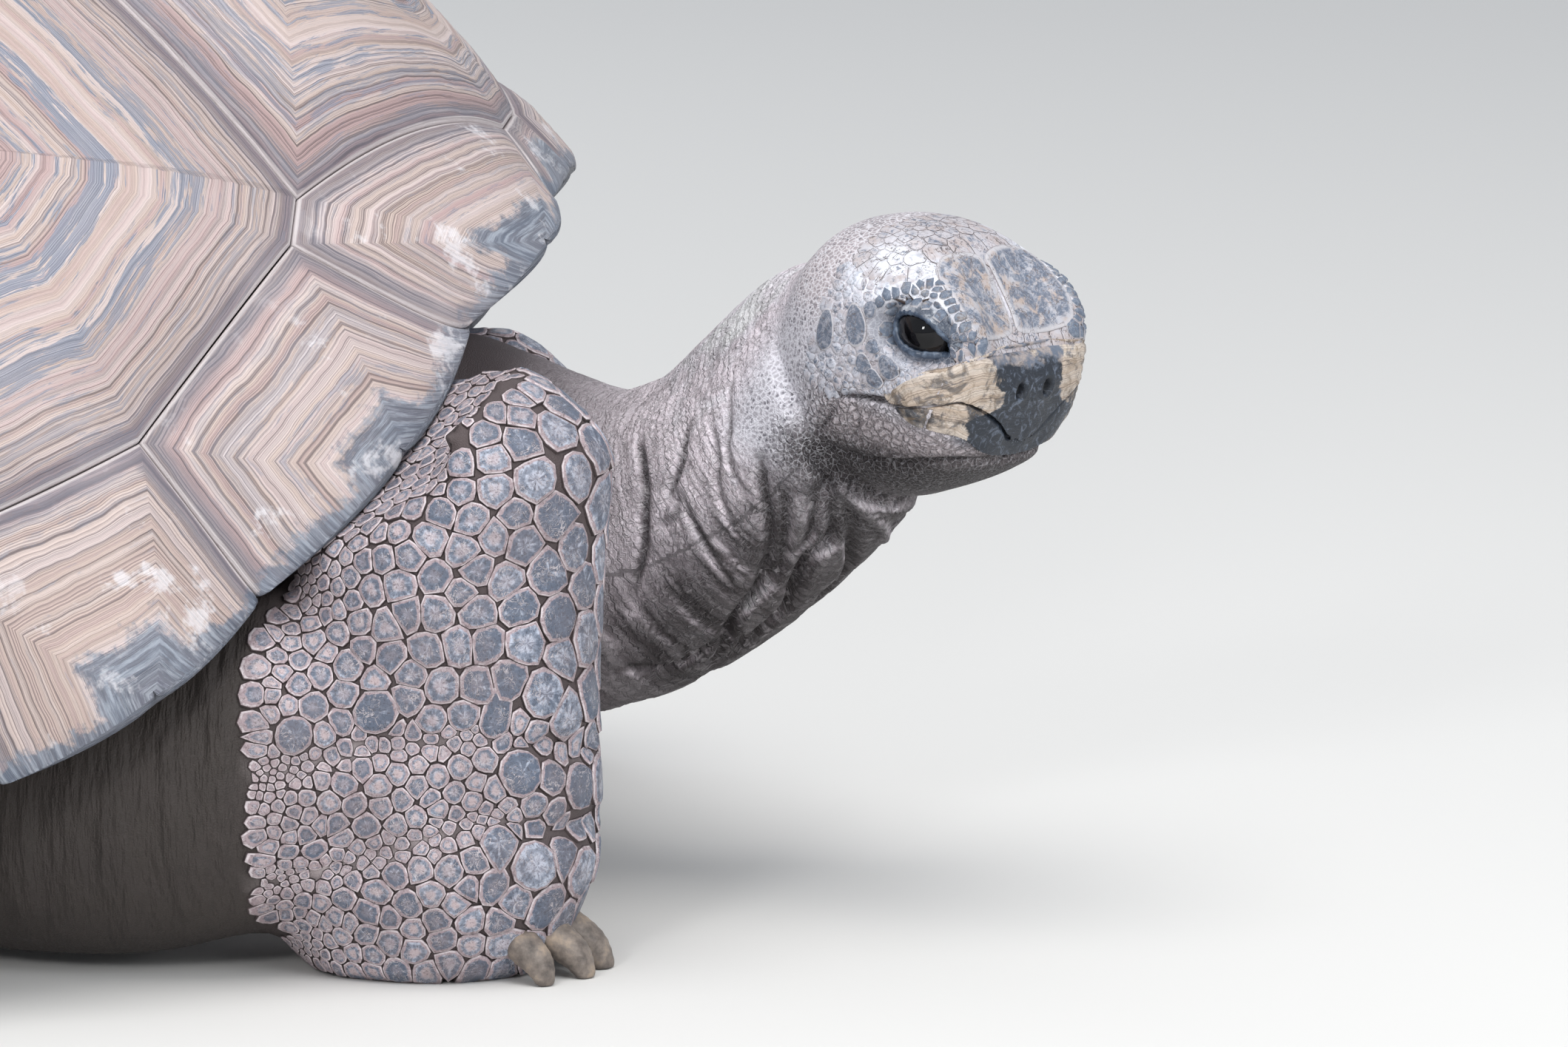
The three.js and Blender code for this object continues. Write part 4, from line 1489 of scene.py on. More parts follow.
FACE_FOLDS: tuple[Fold, ...] = (
    Fold(((-26, -47.8, -35.2), (-16.1, -47, -31.9), (-7, -46.2, -29.4), (2.5, -45.8, -27.4),
          (11, -44.4, -24.9)), 1.35, 3.0),
    Fold(((8, -44.3, -25.6), (17.4, -40.5, -21.5), (21.7, -35.2, -19.0), (24.3, -30.0, -19.9),
          (25.6, -23.9, -21.9),
          (26.4, -18.6, -24.5), (26.9, -12.5, -28.2), (27.1, -7.5, -32.5), (27.1, -1.0, -36.5)), 1.1, 2.4),
    Fold(((11.5, -39, -2.6), (13.8, -37.6, 0.1), (17.2, -34.6, 2.8), (22.2, -28.1, 2.9)), 0.8, 1.3),
    Fold(((11.0, -41.5, -8.4), (15.8, -39.2, -7.1), (20.2, -33.1, -0.8), (24, -27.1, 0.6)), 0.8, 1.2),
    Fold(((-20, -47.5, -33), (-15.5, -47, -28.5), (-10.5, -46.8, -25.5), (-4, -46.3, -19.5), (3, -45, -12.6),
          (10, -42.5, -8.8)), 0.9, 1.1),
    Fold(((-31.7, -43.9, -58), (-16.3, -39.7, -57), (-0.5, -36.9, -53.9), (20.4, -27.5, -45.1),
          (25.4, 3.5, -43.4)), 2.3, 2.4),
    Fold(((-24.1, -47.9, -34.4), (-24.8, -46.9, -41.7), (-30, -44.8, -51.1), (-34.7, -46, -56.5)), 1.3, 1.6),
    Fold(((-16.4, -46.8, -34.6), (-13.4, -45, -42.2), (-15.8, -42.8, -50.4)), 1.1, 1.2),
    Fold(((-6, -46, -31), (-9.5, -45, -37), (-14, -44, -39.5)), 0.9, 1.1),
    Fold(((-3.5, -46, -34), (0, -44.5, -41), (3, -41.5, -45.5), (0, -40.5, -49)), 1.0, 1.1),
    Fold(((3.5, -44.6, -33.4), (12, -42, -35.4), (19, -36, -39.4), (23, -29, -44.6)), 0.9, 1.2),
    Fold(((-18, -43.5, -48), (-4, -40.5, -49), (9, -36.5, -47), (16, -32.5, -46)), 1.2, 1.0),
)
NECK_FOLDS: tuple[Fold, ...] = (
    Fold(((541.5, -55, 189), (541, -87, 173), (543, -95, 160), (543, -97.5, 144), (542, -97, 133),
          (538, -92, 114)), 2.0, 2.6, False, True),
    Fold(((559, -95, 186), (558, -98, 179), (556, -101, 170), (552, -101, 157)), 1.7, 2.4, False, True),
    Fold(((556, -103, 161), (555, -103, 152), (549, -99, 146)), 1.5, 1.4, False, True),
    Fold(((606, -126, 183), (611, -127, 174), (613, -125, 167), (611, -121, 159)), 3.4, 6.5, False, True),
    Fold(((588, -121, 176), (589, -119, 164), (591, -114, 150), (591, -107, 138), (586, -98, 122),
          (577, -89, 110), (573, -77, 98), (566, -62, 89)), 2.3, 4.6, False, True),
    Fold(((597, -121, 164), (597, -114, 148), (596, -106, 135), (590, -98, 125), (581, -92, 115)), 2.1, 3.0,
         False, True),
    Fold(((608, -124, 165), (608, -117, 153), (605, -111, 143), (598, -108, 138)), 2.0, 3.2, False, True),
    Fold(((613, -124, 165), (615, -115, 153), (614, -107, 142), (606, -105, 136), (601, -95, 126),
          (596, -83, 114), (585, -76, 103), (574, -65, 92)), 2.8, 6.0, False, True),
    Fold(((620, -121, 161), (622, -106, 145), (620, -82, 128), (611, -74, 119), (602, -60, 108)), 2.8, 4.6,
         False, True),
    Fold(((533, -78, 88), (548, -72, 88), (562, -76, 95), (573, -81, 104)), 2.6, 3.0, False, True),
    Fold(((576, -101, 204), (576, -111, 188), (575, -113, 179), (581, -115, 163)), 1.5, 1.6, False, True),
    Fold(((568, -98, 195), (571, -110, 178), (572, -111, 163), (578, -110, 147)), 1.5, 1.5, False, True),
    Fold(((557, -103, 161), (564, -106, 146), (572, -104, 132), (576, -101, 126)), 1.4, 1.6, False, True),
    Fold(((611, -126, 181), (621, -123, 169), (635, -111, 159), (644, -97, 158)), 3.0, 3.6, False, True),
    Fold(((618, -124, 168), (628, -114, 154), (634, -98, 146), (632, -80, 140)), 2.4, -2.2, False, True),
    Fold(((602, -121, 170), (603, -118, 156), (601, -110, 143), (594, -102, 130)), 2.4, -1.8, False, True),
)


def brow_white(local: Array) -> Array:
    """How chalky the skin is, most of all above and behind the eyes.

    Args:
        local: points in the head's frame, in mm.

    Returns:
        A number from 0 to 1 for each point.
    """
    x, z = local[:, 0], local[:, 2]
    side = smooth(np.abs(local[:, 1] + 2), 16, 30)
    return side * smooth(z, -2, 8) * smooth(x, -44, -26) * smooth(-x, -20, -8)


@dataclass
class Skin:
    """The one skin that stands for all the flesh."""

    hide: bpy.types.Material
    voxel: float = 6.6
    piece: bpy.types.Object | None = None
    sunk: Array | None = None

    def build(self) -> None:
        """Makes the skin and dresses it."""
        self.weld()
        self.thin_out()
        self.refine_head()
        self.shape()
        self.colour()
        dress(
            self.piece, self.hide, "skin", "trunk", "neck", "head", "lower_jaw", "tail",
            "right_foreleg", "left_foreleg", "right_hind_leg", "left_hind_leg",
        )

    def weld(self) -> None:
        """Joins the forms of the flesh and cuts them back to the shell and the floor."""
        forms = [trunk_body(), NECK.body("neck_form", -0.6), SKULL.body("skull_form", -0.3)]
        forms += [TAIL.body("tail_form", -1.2), NAPE.body("nape_form", -0.6)]
        for name, (arm, pillar) in LIMBS.items():
            forms += [arm.body(f"{name}_arm", -1.6), pillar.body(f"{name}_pillar", -1.6)]
        self.piece = join(forms)
        self.piece.name = self.piece.data.name = "tortoise_skin"
        remesh(self.piece, 0.6 * self.voxel * MM)
        bpy.ops.object.select_all(action="DESELECT")
        bpy.ops.mesh.primitive_cube_add(size=3, location=(0, 0, -1.5))
        under = bpy.context.object
        under.data.transform(under.matrix_world)
        under.matrix_world.identity()
        for tool in [shell_room(), *plastron_room(), under]:
            finish_with(self.piece, "BOOLEAN", operation="DIFFERENCE", object=tool, solver="MANIFOLD")
            bpy.data.objects.remove(tool)
        remesh(self.piece, self.voxel * MM)
        self.keep_largest()
        finish_with(self.piece, "SMOOTH", factor=0.5, iterations=3)
        local = HEAD.into(places_of(self.piece))
        joint = (local[:, 0] > -112) & (local[:, 0] < -50) & (local[:, 2] > -62)
        group = self.piece.vertex_groups.new(name="joint")
        group.add(np.nonzero(joint)[0].tolist(), 1.0, "REPLACE")
        finish_with(self.piece, "SMOOTH", factor=0.5, iterations=12, vertex_group="joint")
        self.piece.vertex_groups.clear()

    def keep_largest(self) -> None:
        """Deletes loose scraps."""
        data = self.piece.data
        parent = np.arange(len(data.vertices))
        ends = np.empty(len(data.edges) * 2, np.int32)
        data.edges.foreach_get("vertices", ends)
        ends = ends.reshape(-1, 2)
        for _ in range(400):
            low = np.minimum(parent[ends[:, 0]], parent[ends[:, 1]])
            before = parent.copy()
            np.minimum.at(parent, ends[:, 0], low)
            np.minimum.at(parent, ends[:, 1], low)
            parent = parent[parent]
            if np.array_equal(before, parent):
                break
        kinds, counts = np.unique(parent, return_counts=True)
        loose = parent != kinds[np.argmax(counts)]
        if loose.any():
            self.operate(loose, lambda: bpy.ops.mesh.delete(type="VERT"))

    def choose(self, chosen: Array) -> None:
        """Selects a mesh's points, and the edges and faces between them.

        Args:
            chosen: True for each point to select.
        """
        data = self.piece.data
        alone(self.piece)
        data.vertices.foreach_set("select", chosen)
        ends = np.empty(len(data.edges) * 2, np.int32)
        data.edges.foreach_get("vertices", ends)
        data.edges.foreach_set("select", chosen[ends.reshape(-1, 2)].all(axis=1))
        data.polygons.foreach_set("select", [all(chosen[v] for v in face.vertices) for face in data.polygons])

    def operate(self, chosen: Array, step: Callable[[], object]) -> None:
        """Runs one edit-mode operator on part of the skin.

        Args:
            chosen: True for each point to work on.
            step: the call of the operator.
        """
        self.choose(chosen)
        bpy.ops.object.mode_set(mode="EDIT")
        step()
        bpy.ops.object.mode_set(mode="OBJECT")

    def thin_out(self) -> None:
        """Spends few faces where the shell hides the skin."""
        p = places_of(self.piece) / MM
        hidden = (p[:, 0] < 365) & (p[:, 0] > -330) & (np.abs(p[:, 1]) < 235)
        hidden |= np.abs(p[:, 0]) < 215
        self.operate(hidden, lambda: bpy.ops.mesh.decimate(ratio=0.1))
        log.info("skin thinned: %d faces", len(self.piece.data.polygons))

    def refine_head(self) -> None:
        """Halves the net over the neck, again over the head and again over the face."""
        for level in range(3):
            p = places_of(self.piece) / MM
            local = HEAD.into(p * MM)
            head = (local[:, 0] > -78) & (local[:, 2] > -88) & (np.abs(local[:, 1]) < 60)
            neck = (p[:, 0] > 440) & (np.abs(p[:, 1] + 60) < 78) & (p[:, 2] > 40)
            if level == 0:
                chosen = head | neck
            elif level == 1:
                chosen = head | (neck & (p[:, 0] > 500) & (p[:, 1] < -35 - 0.3 * (p[:, 0] - 500)))
            else:
                front = (np.abs(local[:, 1]) > 17) | (local[:, 0] > 12)
                chosen = head & (local[:, 0] > -22) & (local[:, 2] > -50) & (local[:, 2] < 15) & front
            self.operate(chosen, lambda: bpy.ops.mesh.subdivide(number_cuts=1, smoothness=0.0))
            self.ease_out(HEAD.into(places_of(self.piece)), level)
        edit(self.piece, lambda: bpy.ops.mesh.quads_convert_to_tris())
        log.info("skin with its head refined: %d triangles", len(self.piece.data.polygons))

    def ease_out(self, local: Array, level: int) -> None:
        """Smooths the neck and head after their net is halved, and puts the head back on its form.

        Args:
            local: points in the head's frame, in mm.
            level: which halving of the net came before, from 0.
        """
        group = self.piece.vertex_groups.new(name="front")
        chosen = np.nonzero(local[:, 0] > (-200 if level == 0 else -90))[0]
        group.add(chosen.tolist(), 1.0, "REPLACE")
        finish_with(self.piece, "SMOOTH", factor=0.5, iterations=3, vertex_group="front")
        self.piece.vertex_groups.clear()
        move_to(self.piece, HEAD.out(SKULL.snap(HEAD.into(places_of(self.piece)))))

    def shape(self) -> None:
        """Presses the folds and wrinkles into the skin."""
        move_to(self.piece, HEAD.out(SOCKET.press(HEAD.into(places_of(self.piece)))))
        places = places_of(self.piece)
        normals = normals_of(self.piece)
        local = HEAD.into(places)
        depth = np.zeros(len(places))
        for fold in (*FACE_FOLDS, *NECK_FOLDS):
            where = places / MM if fold.in_scene else local
            sides = (1, -1) if fold.both_sides else (1,)
            for side in sides:
                line = resample(fold.line, 24) * np.array([1, side, 1])
                low, high = line.min(axis=0) - 3 * fold.width, line.max(axis=0) + 3 * fold.width
                near = ((where > low) & (where < high)).all(axis=1)
                gap, share = polyline_distance(where[near], line)
                taper = np.sqrt(np.clip(np.sin(np.pi * np.clip(share, 0.02, 0.98)), 0, 1))
                strength = 1.4 if fold.in_scene else 1.25
                depth[near] += strength * fold.depth * taper * np.exp(-((gap / fold.width) ** 2))
        depth += self.neck_wrinkles(places)
        hole = np.hypot(np.abs(local[:, 1]) - NOSTRIL[0], (local[:, 2] - NOSTRIL[1]) * 0.85)
        depth += 6.5 * (local[:, 0] > 18) * np.exp(-((hole / 3.6) ** 4))
        self.sunk = depth.copy()
        depth += self.limb_creases(places)
        places -= normals * (depth * MM)[:, None]
        places[:, 2] = np.maximum(places[:, 2], 0.0)
        move_to(self.piece, places)

    def on_neck(self, places: Array) -> tuple[Array, Array, Array]:
        """How near each point is to the neck, how far along it and at what angle round it.

        Args:
            places: the points, in metres.

        Returns:
            Three numbers for each point, in that order.
        """
        p = places / MM
        line = centripetal(NECK.points, np.linspace(0, 1, 90))
        steps = np.concatenate([[0], np.cumsum(np.linalg.norm(np.diff(line, axis=0), axis=1))])
        near = np.zeros(len(p))
        along = np.zeros(len(p))
        angle = np.zeros(len(p))
        pick = np.nonzero((p[:, 0] > 380) & (np.abs(p[:, 1] + 45) < 160))[0]
        gaps = np.linalg.norm(p[pick][:, None] - line[None], axis=2)
        best = gaps.argmin(axis=1)
        tangent = unit(np.gradient(line, axis=0))[best]
        off = p[pick] - line[best]
        off -= tangent * (off * tangent).sum(axis=1, keepdims=True)
        up = unit(np.cross(tangent, np.array([0.0, 1.0, 0.0])))
        across = unit(np.cross(up, tangent))
        angle[pick] = np.arctan2((off * up).sum(axis=1), (off * across).sum(axis=1))
        along[pick] = steps[best]
        radius = np.interp(best / 89, np.linspace(0, 1, 6), NECK.width)
        near[pick] = 1 - smooth(gaps[np.arange(len(pick)), best] / radius, 1.15, 1.35)
        local = HEAD.into(places)
        near *= smooth(-local[:, 0], 48, 76) + smooth(-local[:, 2], 66, 86) * smooth(-local[:, 0], -10, 20)
        return np.clip(near, 0, 1), along, angle

    def neck_wrinkles(self, places: Array) -> Array:
        """The rings of loose skin round the neck, deepest at the throat.

        Args:
            places: the points, in metres.

        Returns:
            A depth for each point.
        """
        near, along, angle = self.on_neck(places)
        wobble = 9 * noise(places, 0.045, 3) + 4 * noise(places, 0.018, 4)
        throat = smooth(-np.sin(angle), -0.3, 0.9)
        deep = np.zeros(len(places))
        for period, strength, seed in ((31.0, 1.7, 0.4), (17.0, 0.8, 2.1), (9.0, 0.4, 4.4)):
            phase = (along + wobble * (0.5 + period / 40)) / period + seed
            valley = np.abs((phase % 1) - 0.5) * 2
            deep += strength * (np.exp(-(((1 - valley) / 0.24) ** 2)) - 0.22)
        strength = (0.35 + 1.15 * throat) * (0.55 + 0.5 * noise(places, 0.03, 9))
        return near * deep * np.clip(strength, 0.1, 2.2) * smooth(along, 10, 60)

    def limb_creases(self, places: Array) -> Array:
        """Soft unevenness of the loose skin of the limbs.

        Args:
            places: the points, in metres.

        Returns:
            A depth for each point.
        """
        p = places / MM
        local = HEAD.into(places)
        body = smooth(-local[:, 0], 80, 110)
        soft = 0.9 * rough_noise(places, 0.03, 12, 2) * body
        for crease in LEG_CREASES:
            gap, share = polyline_distance(p, np.array(crease))
            soft += (2.4 + 3.2 * smooth(p[:, 0], 495, 530)) * bell(gap, 0, 5.0) * smooth(share, 0, 0.2)
        return soft * (p[:, 2] > 6)

    def colour(self) -> None:
        """Stains the skin by region, with painted shade under the neck, jaw and chin, at the neck's base and
        behind the forelegs, and notes what its material needs.
        """
        places = places_of(self.piece)
        normals = normals_of(self.piece)
        local = HEAD.into(places)
        p = places / MM
        x, y, z = local.T
        _, along, angle = self.on_neck(places)
        patches = rough_noise(places, 0.03, 21)
        fine = rough_noise(places, 0.008, 22)

        def lay(under: Array, over: Colour, share: Array) -> Array:
            """Lays one colour over others."""
            return under + (np.array(over) - under) * np.clip(share, 0, 1)[:, None]

        tone = np.tile(np.array([0.075, 0.056, 0.056]), (len(p), 1))
        for crease in LEG_CREASES:
            tone = lay(tone, (0.62, 0.54, 0.54), bell(polyline_distance(p, np.array(crease))[0], 0, 2.6))
        neck = smooth(p[:, 0], 480, 560) * smooth(np.abs(p[:, 1] + 60), 95, 75)
        tone = lay(tone, (0.94, 0.83, 0.89), neck)
        # painted shade: the neck's skin is darkened where it faces down, more so lower down
        under = smooth(-normals[:, 2], -0.1, 0.55) * smooth(p[:, 2], 222, 156) * neck
        tone = lay(tone, (0.040, 0.031, 0.032), under * 0.95)
        # painted shade: the base of the neck is darkened where it goes in under the shell's front rim
        rear = smooth(p[:, 0], 545, 490) * smooth(np.abs(p[:, 1] + 30), 150, 110) * smooth(p[:, 2], 235, 150)
        tone = lay(tone, (0.15, 0.125, 0.13), rear * 0.75 * (p[:, 0] > 380))
        # painted shade: the skin behind each foreleg, deep under the shell, is darkened further
        axil = (np.abs(p[:, 1]) > 100) & (p[:, 2] < 190)
        behind = smooth(p[:, 0], 430, 404) * smooth(p[:, 0], 150, 200) * axil
        tone = lay(tone, (0.034, 0.027, 0.023), behind)
        head = smooth(x, -84, -56) * smooth(z, -84, -62) * (np.abs(y) < 62)
        tone = lay(tone, (0.68, 0.66, 0.72), head)
        rear = head * smooth(-x, 28, 46) * smooth(z, -22, 0)
        tone = lay(tone, (0.55, 0.49, 0.51), rear)
        # the lower jaw: a browner tone, also darker as painted shade on the lower face
        jaw = head * smooth(-z, 27, 38) * smooth(x, -46, -24)
        tone = lay(tone, (0.43, 0.375, 0.39), jaw)
        # painted shade: the underside of the head is darkened nearly to black
        chin_shade = head * smooth(-z + 0.12 * x, 42, 54) * smooth(x, -56, -22)
        tone = lay(tone, (0.036, 0.029, 0.029), chin_shade)
        face = head * smooth(x, -34, -18) * smooth(z, -34, -26) * smooth(-z, -10, -2)
        tone = lay(tone, (0.50, 0.47, 0.49), face)
        white = head * brow_white(local)
        tone = lay(tone, (0.80, 0.82, 0.89), white * (0.75 + 0.5 * patches))
        top = head * smooth(z, 12, 20) * (1 - white)
        tone = lay(tone, (0.40, 0.36, 0.375), top * 0.85)
        snout = head * smooth(x, 19.5, 24.5) * smooth(-z, -6, 4)
        tone = lay(tone, (0.13, 0.155, 0.20), snout * 0.9 * smooth(z, -40, -34))
        outline = closed_curve(SOCKET.opening, 48)
        lids = np.zeros(len(p))
        close = (np.abs(x) < 24) & (np.abs(y) > 26) & (np.abs(z) < 20)
        e = outside_by(local[close][:, [0, 2]], outline)
        lids[close] = 1 - smooth(e, 3.2, 4.4)
        tone = lay(tone, (0.065, 0.085, 0.12), lids)
        round_eye = np.zeros(len(p))
        round_eye[close] = bell(e, 5.5, 3.2) * smooth(-z[close], -9, 2)
        tone = lay(tone, (0.22, 0.255, 0.32), round_eye * 0.6)
        # shade: painted shade on the neck's underside and the chin, which the material darkens further
        note(self.piece, "shade", np.clip(np.maximum(under, chin_shade * 0.8), 0, 1))
        tone *= 1 + 0.20 * patches[:, None] + 0.12 * fine[:, None]
        stain(self.piece, "tone", np.clip(tone, 0.008, 0.9))
        dots = head * (1 - smooth(x, -30, -14)) * (1 - lids)
        dots = np.maximum(dots, 0.35 * head * (1 - white)) * (1 - 0.6 * white)
        dots = np.maximum(dots, neck * 0.5 * smooth(p[:, 2], 110, 170))
        note(self.piece, "dots", dots)
        note(self.piece, "run", along)
        note(self.piece, "turn", angle * 50)
        note(self.piece, "neck", np.clip(neck * (1 - head), 0, 1))
        note(self.piece, "loose", behind)
        note(self.piece, "wet", lids)
        note(self.piece, "chalk", white)
        # crease: how deep the folds, neck wrinkles and nostrils are pressed in, which the material darkens as
        # painted shade
        note(self.piece, "crease", smooth(self.sunk, 0.5, 2.4))
        note(self.piece, "jowl", head * smooth(-z, 24, 34) * smooth(x, -52, -30))
        note(self.piece, "ridge", smooth(-self.sunk, 0.15, 0.7))


# ------------------------------------------------------------------ the face
def closed_curve(points: Sequence[Sequence[float]], steps: int) -> Array:
    """A smooth closed line through points, as evenly spread steps.

    Args:
        points: points that it passes through, in order.
        steps: how many points to give back.

    Returns:
        One row for each step.
    """
    p = np.asarray(points, float)
    place = np.arange(steps) * len(p) / steps
    i = place.astype(int)
    w = (place - i)[:, None]
    before, at, after, beyond = (p[(i + k) % len(p)] for k in (-1, 0, 1, 2))
    t0, t1 = (after - before) / 2, (beyond - at) / 2
    return at + w * (t0 + w * (3 * (after - at) - 2 * t0 - t1 + w * (2 * (at - after) + t0 + t1)))


def inside_of(flat: Array, outline: Array) -> Array:
    """Whether each flat point lies within a closed outline.

    Args:
        flat: the points.
        outline: the outline's points, in order.

    Returns:
        True for each point within it.
    """
    held = np.zeros(len(flat), bool)
    for a, b in zip(outline, np.roll(outline, -1, axis=0)):
        crosses = (a[1] > flat[:, 1]) != (b[1] > flat[:, 1])
        level = a[0] + (flat[:, 1] - a[1]) * (b[0] - a[0]) / (b[1] - a[1] if b[1] != a[1] else 1e-9)
        held ^= crosses & (flat[:, 0] < level)
    return held


def outside_by(flat: Array, outline: Array) -> Array:
    """How far each flat point lies outside a closed outline, below 0 within it."""
    gap, _ = polyline_distance(flat, np.concatenate([outline, outline[:1]]))
    return np.where(inside_of(flat, outline), -gap, gap)


@dataclass(frozen=True)
class EyeSocket:
    """The eye's ball, its opening and the lids round it, in the head's millimetres."""

    middle: Point = (-1.5, 31.0, 0.2)
    ball: float = 13.0
    opening: tuple[tuple[float, float], ...] = (
        (-12.2, -0.6), (-9.4, 3.7), (-4.0, 6.6), (1.9, 6.9), (7.2, 4.4), (11.0, 0.2), (13.0, -3.6),
        (8.2, -5.5), (2.4, -6.9), (-3.5, -6.9), (-9.0, -4.9),
    )
    lid: float = 3.4

    def on_ball(self, x: Array, z: Array) -> Array:
        """How far out the ball's surface lies, easing off past its side."""
        d2 = (x - self.middle[0]) ** 2 + (z - self.middle[2]) ** 2
        return self.middle[1] + np.sqrt(np.maximum(self.ball**2 - d2, 14))

    def press(self, local: Array) -> Array:
        """Moves the head's points to form the socket and the lids.

        Args:
            local: the skin's points, in the head's millimetres.

        Returns:
            The moved points.
        """
        outline = closed_curve(self.opening, 72)
        x, z, out = local[:, 0], local[:, 2], np.abs(local[:, 1])
        near = (np.abs(x) < 30) & (z > -24) & (z < 26) & (out > 20)
        side = np.sign(local[near, 1])
        x, z, out = x[near], z[near], out[near]
        e = outside_by(np.stack([x, z], axis=1), outline)
        ball = self.on_ball(x, z)
        upper = smooth(z, -3.5, 1.0)
        unevenness = 2 * noise(np.stack([x, z, 0 * x], axis=1), 3.5, 5)
        ripple = 0.10 * np.sin(e * 3.4 + unevenness) * bell(e, 2.2, 1.8)
        lid = ball + 1.7 * smooth(e, -1.0, 0.9) + 0.45 * bell(e, 1.7, 1.4) + ripple
        under = ball - 2.6
        inner = under + (lid - under) * smooth(e, -1.1, 0.1)
        blend = smooth(e, 1.8, 7.5)
        moved = inner * (1 - blend) + out * blend
        moved -= (0.9 + 0.5 * upper) * bell(e, self.lid + 0.9, 0.75)
        moved += 0.8 * upper * bell(e, 8.0, 2.6) + 0.5 * (1 - upper) * bell(e, 6.8, 1.8)
        moved -= 0.7 * bell(e, 12.0, 1.3) * upper * smooth(x, -18, -4)
        pressed = local.copy()
        pressed[near, 1] = side * moved
        return pressed


SOCKET = EyeSocket()


@dataclass
class Eyes:
    """Both eyes, and the wet rims of their lids."""

    ball: bpy.types.Material
    rim: bpy.types.Material
    socket: EyeSocket = SOCKET
    gaze: Point = (0.30, 1.0, 0.0)
    steps: int = 88
    around: int = 10

    def build_ball(self, side: int, name: str, node: str) -> None:
        """Makes one ball with its clear bulge in front.

        Args:
            side: 1 for the left and -1 for the right.
            name: the piece's name.
            node: the CAD node that it is for.
        """
        bpy.ops.object.select_all(action="DESELECT")
        bpy.ops.mesh.primitive_uv_sphere_add(segments=72, ring_count=48, radius=1.0)
        eye = bpy.context.object
        eye.name = eye.data.name = name
        p = places_of(eye)
        gaze = unit(np.array(self.gaze) * [1, side, 1])
        first = unit(np.cross(gaze, [0.0, 0.0, 1.0]))
        turned = p[:, :1] * first + p[:, 1:2] * np.cross(gaze, first) + p[:, 2:] * gaze
        apart = np.degrees(np.arccos(np.clip(p[:, 2], -1, 1)))
        radius = self.socket.ball - 0.3 + 0.9 * bell(apart, 0, 24)
        local = np.array(self.socket.middle) * [1, side, 1] + turned * radius[:, None]
        move_to(eye, HEAD.out(local))
        note(eye, "pupil", apart / 60)
        edit(eye, lambda: bpy.ops.mesh.normals_make_consistent(inside=False))
        alone(eye)
        bpy.ops.object.shade_smooth()
        dress(eye, self.ball, "eye", node)

    def build_rim(self, side: int, name: str) -> None:
        """Makes the smooth wet roll that edges the lids.

        Args:
            side: 1 for the left and -1 for the right.
            name: the piece's name.
        """
        line = closed_curve(self.socket.opening, self.steps)
        middle = line.mean(axis=0)
        way = unit(np.roll(line, -1, axis=0) - np.roll(line, 1, axis=0))
        outward = np.stack([-way[:, 1], way[:, 0]], axis=1)
        outward *= np.sign(((line - middle) * outward).sum(axis=1))[:, None]
        lower = 1 - smooth(line[:, 1], -4.5, -1.0)
        thick = 0.95 + 0.35 * lower + 0.12 * np.sin(np.arange(self.steps) * 1.7)
        flat = line + outward * (0.15 + 0.25 * lower)[:, None]
        out = self.socket.on_ball(flat[:, 0], flat[:, 1]) + 0.75
        angle = np.arange(self.around) * 2 * np.pi / self.around
        rings = []
        for a in angle:
            spread = flat + outward * (np.cos(a) * thick * 1.15)[:, None]
            rings.append(np.stack([spread[:, 0], out + np.sin(a) * thick, spread[:, 1]], axis=1))
        local = np.stack(rings, axis=1).reshape(-1, 3) * [1, side, 1]
        faces = []
        for i in range(self.steps):
            for k in range(self.around):
                a, b = i * self.around, (i + 1) % self.steps * self.around
                faces.append([a + k, a + (k + 1) % self.around, b + (k + 1) % self.around, b + k])
        rim = mesh_from(name, HEAD.out(local), faces)
        edit(rim, lambda: bpy.ops.mesh.normals_make_consistent(inside=False))
        dress(rim, self.rim, "head_skin")

    def build(self) -> None:
        """Makes both sides."""
        for side, word in ((1, "left"), (-1, "right")):
            self.build_ball(side, f"{word}_eyeball", f"{word}_eye")
            self.build_rim(side, f"{word}_lid_rim")


